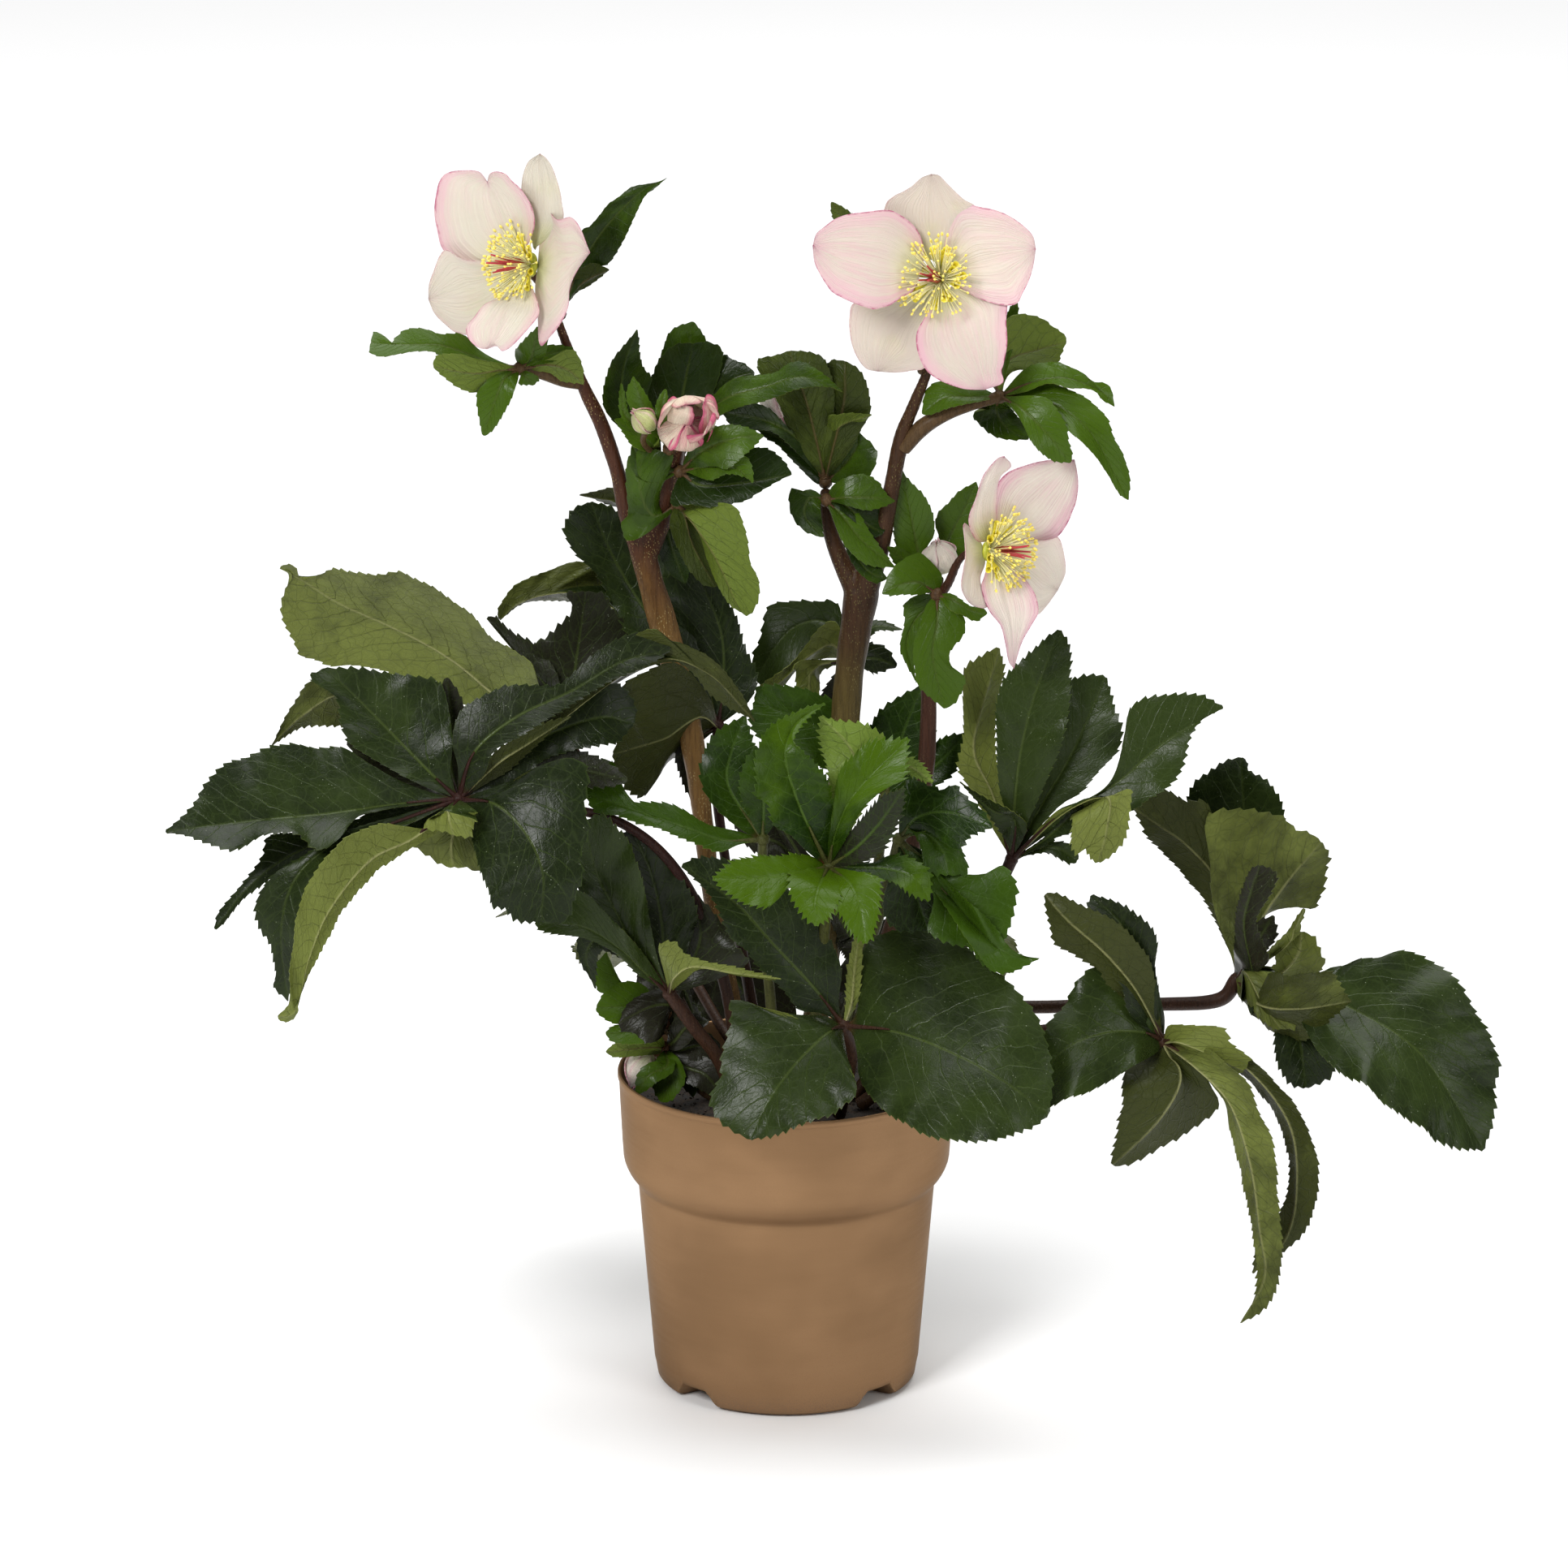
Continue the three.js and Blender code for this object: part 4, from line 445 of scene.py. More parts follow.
    "leaf_left_low": Spray(
        tone=Tone.OLD, hub=(-45, 155, -30),
        stalk=Stalk(((-45, 155, -30), (-36, 142, -26), (-26, 128, -21), foot(-19, -18)),
                    (2.6, 2.7, 2.8, 2.9)),
        blades=(
            cut(((-55, 164, -40), (-64, 173, -50), (-78, 182, -56), (-96, 184, -58)), TO_FRONT_LEFT,
                ((-53, 160), (-58, 163.5), (-64.5, 170), (-71, 174.5), (-79, 177.5), (-89.5, 179.2),
                 (-95, 181)),
                ((-54, 170), (-66, 184), (-78, 196), (-90, 192)), fold=0.05, wave=0.3, tint=0.4),
            cut(((-53, 168, -38), (-60, 176, -42), (-67, 190, -45), (-74, 206, -44), (-77, 224, -42)),
                TO_FRONT_LEFT,
                ((-56, 172), (-68, 182), (-78, 194), (-84, 212)),
                ((-50, 172), (-53, 190), (-57, 208), (-65, 222), (-71, 227)), fold=0.25, tint=0.3),
            cut(((-47, 166, -30), (-48, 185, -31), (-52, 204, -32), (-60, 223, -32)), TO_FRONT,
                ((-52, 168), (-62, 188), (-66, 210)),
                ((-40, 168), (-34, 186), (-39, 200), (-47.5, 212), (-55, 219)), tint=-0.5),
            cut(((-38, 165, -26), (-33, 180, -26), (-38, 199, -26)), TO_FRONT,
                ((-46, 168), (-50, 182), (-46, 196)),
                ((-28, 160), (-14, 168), (-20, 176), (-28, 188)), tint=-0.8),
            cut(((-43, 163, -46), (-36, 167, -52), (-20, 164, -58), (-2, 161, -60)), (0.1, 0.75, 0.65),
                ((-47, 164), (-49, 174.5), (-43, 176.5), (-39, 171.5), (-30.5, 168), (-20, 166), (-9, 163)),
                ((-42, 158), (-39, 160.5), (-35, 163.5), (-29.5, 164.5), (-20, 162), (-8, 160.5)), wave=0.2,
                tint=0.9),
            cut(((-58, 168, -28), (-72, 177, -25), (-77, 170, -24), (-73.4, 157, -24)), TO_FRONT_LEFT,
                ((-60, 173), (-74, 181), (-80, 177), (-79, 168), (-75.7, 162)),
                ((-56, 164), (-68, 172), (-72, 171), (-73, 164)), wave=0.2, tint=-0.4),
        ),
    ),
    "leaf_right_upright": Spray(
        tone=Tone.OLD, hub=(86, 209, -2),
        stalk=Stalk(((86, 209, -2), (81, 198, -2), (66, 172, 0), (42, 138, 0), foot(26, -5)),
                    (2.4, 2.1, 2, 2.2, 2.5)),
        blades=(
            cut(((78, 236, 5), (71, 252, 8), (73, 268, 10), (80.5, 293, 12)), (-0.25, 0.9, 0.2),
                ((68, 240), (65.5, 247), (67.5, 258), (67.5, 272), (68.5, 284), (74, 289), (78, 292)),
                ((82, 240), (80, 250), (79.5, 262), (81, 275), (82.5, 285)), tint=1, wave=0.4, fold=0.3),
            cut(((87, 224, -9), (79, 228, -10), (72, 234, -9), (66, 240, -8)), (-0.2, -0.7, -0.6),
                ((84, 216), (78, 226), (72, 233)),
                ((92, 222), (86, 228), (78, 232.5), (72, 236)), tint=0.25, wave=0.2),
            cut(((87, 232, -8), (89, 252, -9), (94, 274, -7), (103.4, 300, -2)), (-0.1, -0.9, 0.35),
                ((84, 226), (81, 238), (80, 252), (79.5, 266), (81, 277), (85.5, 284.5), (94.6, 293.2),
                 (99, 297.5)),
                ((93, 226), (99, 240), (105, 256), (107.5, 270), (107.8, 281), (108.2, 289), (106.5, 296)),
                fold=0.2, tint=0.35, wave=0.6),
            cut(((97, 230, -4), (110, 254, -2), (121, 281.5, 6)), (0.1, -0.9, 0.4),
                ((94, 230), (99, 246), (103, 262), (106, 278), (112.5, 281.8), (118, 282.2)),
                ((103, 229), (112, 235.5), (119, 244), (126, 252), (127.5, 260), (125, 268),
                 (122.5, 277.7)), fold=0.2, wave=0.5, tint=0.4),
            cut(((106, 228, -10), (126, 240, -12), (144, 256, -8), (166, 269.5, -2)), (0.1, -0.85, 0.5),
                ((108, 229), (117, 234), (123, 239), (126.5, 248), (128.3, 258), (129.7, 267), (133, 271.5),
                 (140, 273.7), (155, 274.5), (161, 272.5)),
                ((106, 223), (119, 225), (131, 228), (138, 233), (144, 236.5), (149.5, 243), (152, 251),
                 (154, 259), (159, 265.5), (163, 267.5)), fold=0.15, tint=1, wave=0.5),
            cut(((106, 229, -18), (122, 235, -24), (122, 222, -28), (119, 208, -29)), TO_BACK,
                ((104, 229), (108.5, 226), (108.8, 218), (109, 214), (111.5, 211), (113, 214),
                 (117, 208.8)),
                ((110, 231), (120, 232.5), (131, 237.5), (131, 228), (129.5, 218), (126, 212.5),
                 (122, 209)), tint=1, wave=0.3),
            cut(((97, 213.5, -9), (104, 213.5, -11), (111, 208.5, -13)), TO_FRONT,
                ((94, 213), (100, 216), (108, 215.5), (111.5, 212)),
                ((94, 211), (100, 211.5), (105, 208.7), (109, 207.2)), wave=0.2, tint=0.25),
            cut(((97, 216, -11), (104, 222, -14), (112, 230, -18)), TO_FRONT,
                ((96, 216), (101, 220.5), (107, 227)),
                ((97, 213.5), (104, 218), (109, 219.5), (112, 226)), wave=0.2),
        ),
    ),
    "leaf_far_right": Spray(
        tone=Tone.OLD, hub=(173, 161, -8),
        stalk=Stalk(((173, 161, -8), (165.4, 152.3, -8), (140, 150.7, -7), (105, 149.9, -5),
                     (70, 147.4, -2), (44, 132, 0), foot(29, 4)),
                    (2.8, 2.9, 2.7, 2.6, 2.6, 2.6, 2.8)),
        blades=(
            cut(((172, 180, 4), (166, 200, 10), (153, 216, 11), (132, 230, 10)), (0.1, 0.85, 0.45),
                ((171, 169), (167.5, 177), (163, 187), (157, 197), (150, 206), (140, 216.5)),
                ((174, 172), (170, 196), (166, 214), (160, 230), (151, 231), (143, 236), (137, 234)),
                tint=-0.5, wave=0.5),
            cut(((180, 182, 6), (190, 200, 10), (204, 216, 10)), (0.1, 0.85, 0.45),
                ((170, 172), (163, 190), (161, 208), (160, 226), (172, 230), (182, 228.5), (189, 226.5),
                 (194, 221.5), (200, 219.5)),
                ((182, 184), (187, 188.3), (195, 189.5), (202, 188.8), (204, 194), (206, 200), (206.5, 205),
                 (207.8, 208), (206.5, 212.5)), tint=0, wave=0.5),
            cut(((178, 204, 20), (175, 226, 24), (173, 249.5, 22)), TO_FRONT,
                ((166, 206), (158, 222), (152.5, 232), (155, 240), (160, 243.5), (167, 248.3)),
                ((190, 208), (190.3, 224), (188.7, 232), (186, 236.5), (183, 240), (176.3, 244),
                 (175.5, 248)), tint=-0.1, wave=0.4),
            cut(((202, 155, -30), (222, 148, -38), (246, 130, -48), (269.4, 91.6, -54)), (0.2, -0.8, 0.6),
                ((196, 158), (207, 164.5), (214, 165.5), (220, 170), (227, 171), (236, 173.5), (246, 170),
                 (253.5, 164.5), (259, 158), (265.5, 149), (270, 141), (274, 130), (274.5, 117),
                 (272.5, 103)),
                ((194, 148), (204, 132), (215, 121.5), (222, 117), (230, 110.5), (240, 103), (250, 96),
                 (258, 92.3), (264, 91.8)), fold=0.1, tint=0.2),
            cut(((195, 146, -22), (198, 134, -30), (200, 117, -32)), TO_FRONT,
                ((188, 146), (187.5, 138), (188.5, 128), (192.5, 120.5), (196, 117.8)),
                ((203, 148), (209, 136), (211, 123), (204, 118)), wave=0.5, tint=-0.2),
            cut(((178, 162, -24), (175, 182, -28), (178, 198, -30), (181, 206.5, -30)), (-0.4, -0.85, 0.2),
                ((172, 168), (172, 186), (174.5, 198), (177.5, 205)),
                ((185, 168), (181, 180), (180, 185), (185.5, 195), (188, 201.5), (185.5, 205)), tint=-0.9,
                wave=0.3),
            cut(((184, 152, -34), (200, 151, -46), (217, 152, -52)), TO_BACK,
                ((180, 164), (190, 162), (204, 165), (211, 160)),
                ((182, 142), (194, 137), (204, 139), (210, 145)), wave=0.9, tint=-0.3),
            cut(((176, 166, -20), (182, 154, -30), (190, 141, -36)), TO_BACK,
                ((171, 160), (174, 154), (180, 148), (187, 141)),
                ((184, 166), (192, 158), (196, 148), (195, 141)), wave=0.6, tint=0.1),
            cut(((188, 163, -8), (196, 172, -7), (197, 180, -6)), TO_BACK,
                ((186.5, 166), (187, 171), (190.5, 177)),
                ((198, 162), (206, 166), (204.5, 172), (202, 178)), wave=0.4, tint=0.3),
            cut(((178, 172, -3), (182, 179, -2), (186.5, 186.5, -2)), TO_FRONT,
                ((176, 174), (179, 183)),
                ((184, 172), (188, 178), (187.5, 183)), wave=0.2, tint=-1),
            cut(((191, 175, -10), (194.5, 182, -8), (198, 189.5, -6)), TO_BACK,
                ((190, 178), (193.5, 183), (196, 187)),
                ((195, 177), (197, 183), (198.5, 187.5)), wave=0.1, tint=1),
        ),
    ),
    "leaf_right_low": Spray(
        tone=Tone.OLD, hub=(145, 136, -36),
        stalk=Stalk(((145, 136, -36), (128, 143, -28), (96, 140, -18), (62, 134, -16), foot(28, -15)),
                    (2.2, 2.1, 2.2, 2.4, 2.7)),
        blades=(
            cut(((140, 144, -42), (136, 164, -46), (129, 182, -47), (117, 194.8, -45)), TO_FRONT,
                ((132, 146), (128, 160), (122, 172), (117, 184), (115, 190)),
                ((145, 146), (143, 156), (141.5, 166), (142.3, 175), (140, 181.5), (134, 187),
                 (127, 191.7)), fold=0.2, wave=0.5, tint=-0.4),
            cut(((134, 158, -46), (122, 173, -50), (108, 186, -48), (99, 195, -44)), TO_BACK,
                ((124, 158), (119, 165), (104.5, 174), (101.5, 182), (99.3, 190)),
                ((140, 166), (128, 181), (115, 188.5), (103.5, 195)), fold=0.3, wave=0.4, tint=-0.8),
            cut(((136, 140, -46), (122, 140, -52), (108, 134, -58), (98, 122, -60)), TO_FRONT_LEFT,
                ((140, 150), (130, 164), (121, 167), (112, 160.5), (107.5, 152), (101, 143.5), (97, 132)),
                ((142, 131), (134, 126.5), (127, 121), (115, 114), (104, 109), (98, 110)), fold=0.1,
                tint=0.3),
            cut(((150, 125, -41), (143, 106, -52), (126, 85.5, -57)), TO_BACK,
                ((145, 134), (138, 131), (131, 126), (130.5, 110), (128, 98), (126, 89)),
                ((152, 138), (162, 122), (168.5, 111), (160.5, 101.8), (150.5, 94.7), (140, 88.8),
                 (131, 85)), fold=0.35, tint=-1.4, wave=0.4),
            cut(((158, 127, -50), (172, 112, -60), (180, 88, -67), (184, 60, -73), (186, 40, -75),
                 (176.4, 20.4, -76)), TO_BACK_RIGHT,
                ((150, 133), (158, 124.5), (166.5, 113), (170.5, 100), (173, 88), (176.5, 75), (179.5, 60),
                 (181.5, 48), (182.3, 36), (180.5, 26)),
                ((160, 134), (171, 125), (178, 118), (181, 108), (186.5, 100), (188.5, 90), (190, 78),
                 (191, 66), (192.5, 50), (191.5, 40), (189, 31), (184, 24.5)), fold=0.25, wave=0.5,
                tint=0.1),
            cut(((160, 137, -44), (180, 124, -52), (195, 102, -58), (198, 76, -60), (194, 56, -60),
                 (181, 40.8, -60)), TO_BACK_RIGHT,
                ((150, 134), (166, 127), (179, 118), (189, 103), (193.5, 88), (193.5, 75), (190.5, 66),
                 (187, 59), (182, 49)),
                ((160, 141), (172, 133), (186, 121.5), (197, 108), (204, 93), (206, 78), (204, 66),
                 (200, 57), (193, 50), (186, 45)), fold=0.3, tint=-0.5, wave=0.5),
            cut(((150, 137, -46), (160, 133, -50), (176, 124, -54)), TO_BACK,
                ((147, 142), (156, 141.5), (168, 141), (171, 135), (178, 129)),
                ((148, 135), (160, 128), (170, 121)), wave=0.4, tint=0.6),
        ),
    ),
    "leaf_right_centre": Spray(
        tone=Tone.GREEN, hub=(43, 217, -38),
        stalk=Stalk(((43, 217, -38), (36, 188, -31), (24, 150, -20), foot(15, -13)), (2.1, 2, 2.1, 2.5)),
        blades=(
            cut(((50, 226, -44), (62, 228, -50), (78.5, 222, -56)), TO_FRONT,
                ((43, 224), (43.5, 232), (45.5, 242), (52, 239.5), (59, 237), (63.5, 239), (68, 234.5),
                 (75, 228.3)),
                ((48, 220), (54, 219), (62, 214), (66, 213), (70, 218), (74, 220)), fold=0.1, wave=0.4,
                tint=-0.2),
            cut(((52, 220, -46), (60, 212, -50), (62, 203, -52)), TO_FRONT,
                ((46, 222), (50.7, 215), (52, 208), (56, 203.5)),
                ((62, 222), (66.5, 214), (69.5, 207), (69, 203)), wave=0.3, tint=0.3),
            cut(((54, 208, -46), (66, 194, -54), (76, 180, -58), (83, 164, -60)), TO_FRONT,
                ((48, 206), (56, 195), (54, 181), (62, 175.5), (70, 173.5), (74, 168), (79, 164.5)),
                ((60, 205), (70, 203), (78, 204), (82.5, 207), (87, 201), (88, 196), (86.5, 186),
                 (83.5, 176), (84.5, 171)), fold=0.15, wave=0.4, tint=0.5),
            cut(((72, 183, -62), (84, 172, -62), (97, 169.3, -62)), TO_FRONT,
                ((76, 186), (84, 175), (90, 170.5)),
                ((70, 176), (78, 165), (85, 163.5), (91, 166)), wave=0.3, tint=0.7),
            cut(((47, 206, -43), (50, 194, -45), (54, 180.5, -46)), TO_FRONT,
                ((42, 208), (38, 198), (37, 188), (42, 181)),
                ((56, 210), (64, 199), (58, 186)), wave=0.3, tint=-0.6),
        ),
    ),
    "leaf_behind_centre": Spray(
        tone=Tone.OLD, hub=(24, 288, 44),
        stalk=Stalk(((24, 288, 44), (23, 262, 42), (20, 210, 34), (14, 155, 26), foot(9, 24)),
                    (2.1, 2, 2, 2.2, 2.5)),
        blades=(
            cut(((15, 303, 50), (4, 302, 52), (-4, 294, 51), (-11.5, 281, 50)), (-0.1, -0.8, 0.5),
                ((20, 309.5), (11, 311.5), (5, 312), (-1.4, 311.5), (-5, 311), (-8, 308), (-9, 303),
                 (-10.5, 296), (-13, 289.5)),
                ((19, 298), (12, 298), (8, 292), (3, 285), (-3, 281.5), (-9, 278)), tint=0.5, wave=0.3),
            cut(((17, 296, 46), (8, 291, 44), (-2, 281, 43), (-11, 276.5, 43)), (0, 0.6, 0.8),
                ((19, 303), (12, 300.5), (8, 294.5), (3, 288), (-3, 283), (-9, 279)),
                ((19, 289), (10, 288), (4, 284), (-3, 276), (-8, 275.5)), tint=0.4, wave=0.2),
            cut(((13, 287, 46), (9, 283, 42), (9, 274, 40)), TO_BACK,
                ((5, 288), (3.5, 282), (4, 275)),
                ((14, 284), (13, 278), (12, 273)), tint=0.2, wave=0.2),
            Blade(((32, 301, 48), (44, 301, 48)), 7, TO_SKY),
            # These dark blades fill shaded gaps; their dark tint is partly painted shade.
            Blade(((33, 289, 48), (42, 286, 48)), 13, TO_FRONT, tint=-0.5),
            Blade(((20, 272, 50), (16, 258, 52)), 16, TO_FRONT, tint=-1),
        ),
    ),
    "leaf_left_centre": Spray(
        tone=Tone.GREEN, hub=(-9, 217, -36),
        stalk=Stalk(((-9, 217, -36), (-9, 185, -29), (-6, 150, -22), foot(-4, -19)), (2, 1.9, 2, 2.4)),
        blades=(
            cut(((-24, 217, -40), (-38, 222, -42), (-52, 227, -40), (-66, 232, -38), (-77, 235, -36)),
                (0, -0.7, 0.7),
                ((-18, 220), (-30, 223), (-38, 228), (-45, 231), (-53, 231.6), (-59, 232), (-63, 238),
                 (-66, 247), (-75.5, 246.5)),
                ((-18, 215), (-25, 212), (-32, 214.5), (-41, 218), (-47.5, 221), (-56, 223.5), (-64, 226.5),
                 (-72, 227.5)), wave=0.3, tint=0.5),
            Blade(((-22, 238, -34), (-21, 252, -32), (-16, 266, -30)), 21, TO_FRONT, swell=(0.7, 0.5)),
            Blade(((-9, 236, -44), (-12, 254, -44)), 18, TO_FRONT),
        ),
    ),
    "leaf_mid_back": Spray(
        tone=Tone.GREEN, hub=(38, 234, 20),
        stalk=Stalk(((38, 234, 20), (34, 200, 22), (26, 155, 20), foot(19, 20)), (2, 1.9, 2, 2.4)),
        blades=(
            Blade(((43, 255, 22), (51, 278, 24)), 27, TO_FRONT),
            cut(((22, 254, 22), (8, 264, 22), (-12, 272, 22)), TO_FRONT,
                ((22, 268), (12, 275), (3, 278), (-10, 278)),
                ((14, 245), (0, 250), (-10, 256), (-14, 264)), tint=0.2, wave=0.3),
            Blade(((56, 246, 20), (68, 259, 18)), 15, TO_FRONT),
        ),
    ),
    "leaf_back_left": Spray(
        tone=Tone.OLD, hub=(-48, 178, 92),
        stalk=Stalk(((-48, 178, 92), (-38, 165, 66), (-24, 140, 42), foot(-12, 27)), (2.2, 2, 2.1, 2.6)),
        blades=(
            Blade(((-70, 188, 104), (-92, 194, 108), (-112, 188, 106)), 34, (-0.3, 0.3, 0.9), fold=0.2),
            Blade(((-58, 180, 120), (-66, 176, 145), (-70, 166, 168)), 38, (-0.1, 0.4, 0.9), fold=0.2),
            Blade(((-34, 178, 122), (-26, 172, 150), (-20, 160, 176)), 38, (0.1, 0.4, 0.9), fold=0.2),
            Blade(((-22, 176, 104), (-4, 170, 112), (12, 160, 116)), 30, (0.2, 0.3, 0.9), fold=0.2),
            # These low dark blades fill the shade behind the plant; their dark tint is partly painted shade.
            Blade(((-44, 168, 84), (-36, 148, 74), (-32, 122, 62)), 40, TO_FRONT, fold=0.2, tint=-1),
            Blade(((-30, 172, 80), (-14, 152, 72), (-8, 124, 64)), 40, TO_FRONT, fold=0.2, tint=-1),
        ),
    ),
    "leaf_back_right": Spray(
        tone=Tone.OLD, hub=(52, 186, 84),
        stalk=Stalk(((52, 186, 84), (44, 172, 62), (30, 145, 40), foot(14, 31)), (2.2, 2, 2.1, 2.6)),
        blades=(
            Blade(((34, 196, 104), (22, 198, 124), (14, 192, 146)), 36, (-0.2, 0.4, 0.9), fold=0.2),
            Blade(((54, 190, 112), (58, 186, 138), (60, 174, 164)), 38, (0, 0.4, 0.9), fold=0.2),
            Blade(((68, 184, 100), (78, 176, 116), (84, 164, 130)), 30, (0.3, 0.4, 0.9), fold=0.2),
            # This low dark blade fills the shade behind the plant; its dark tint is partly painted shade.
            Blade(((48, 176, 76), (36, 152, 68), (26, 122, 60)), 42, TO_FRONT, fold=0.2, tint=-1),
        ),
    ),
}

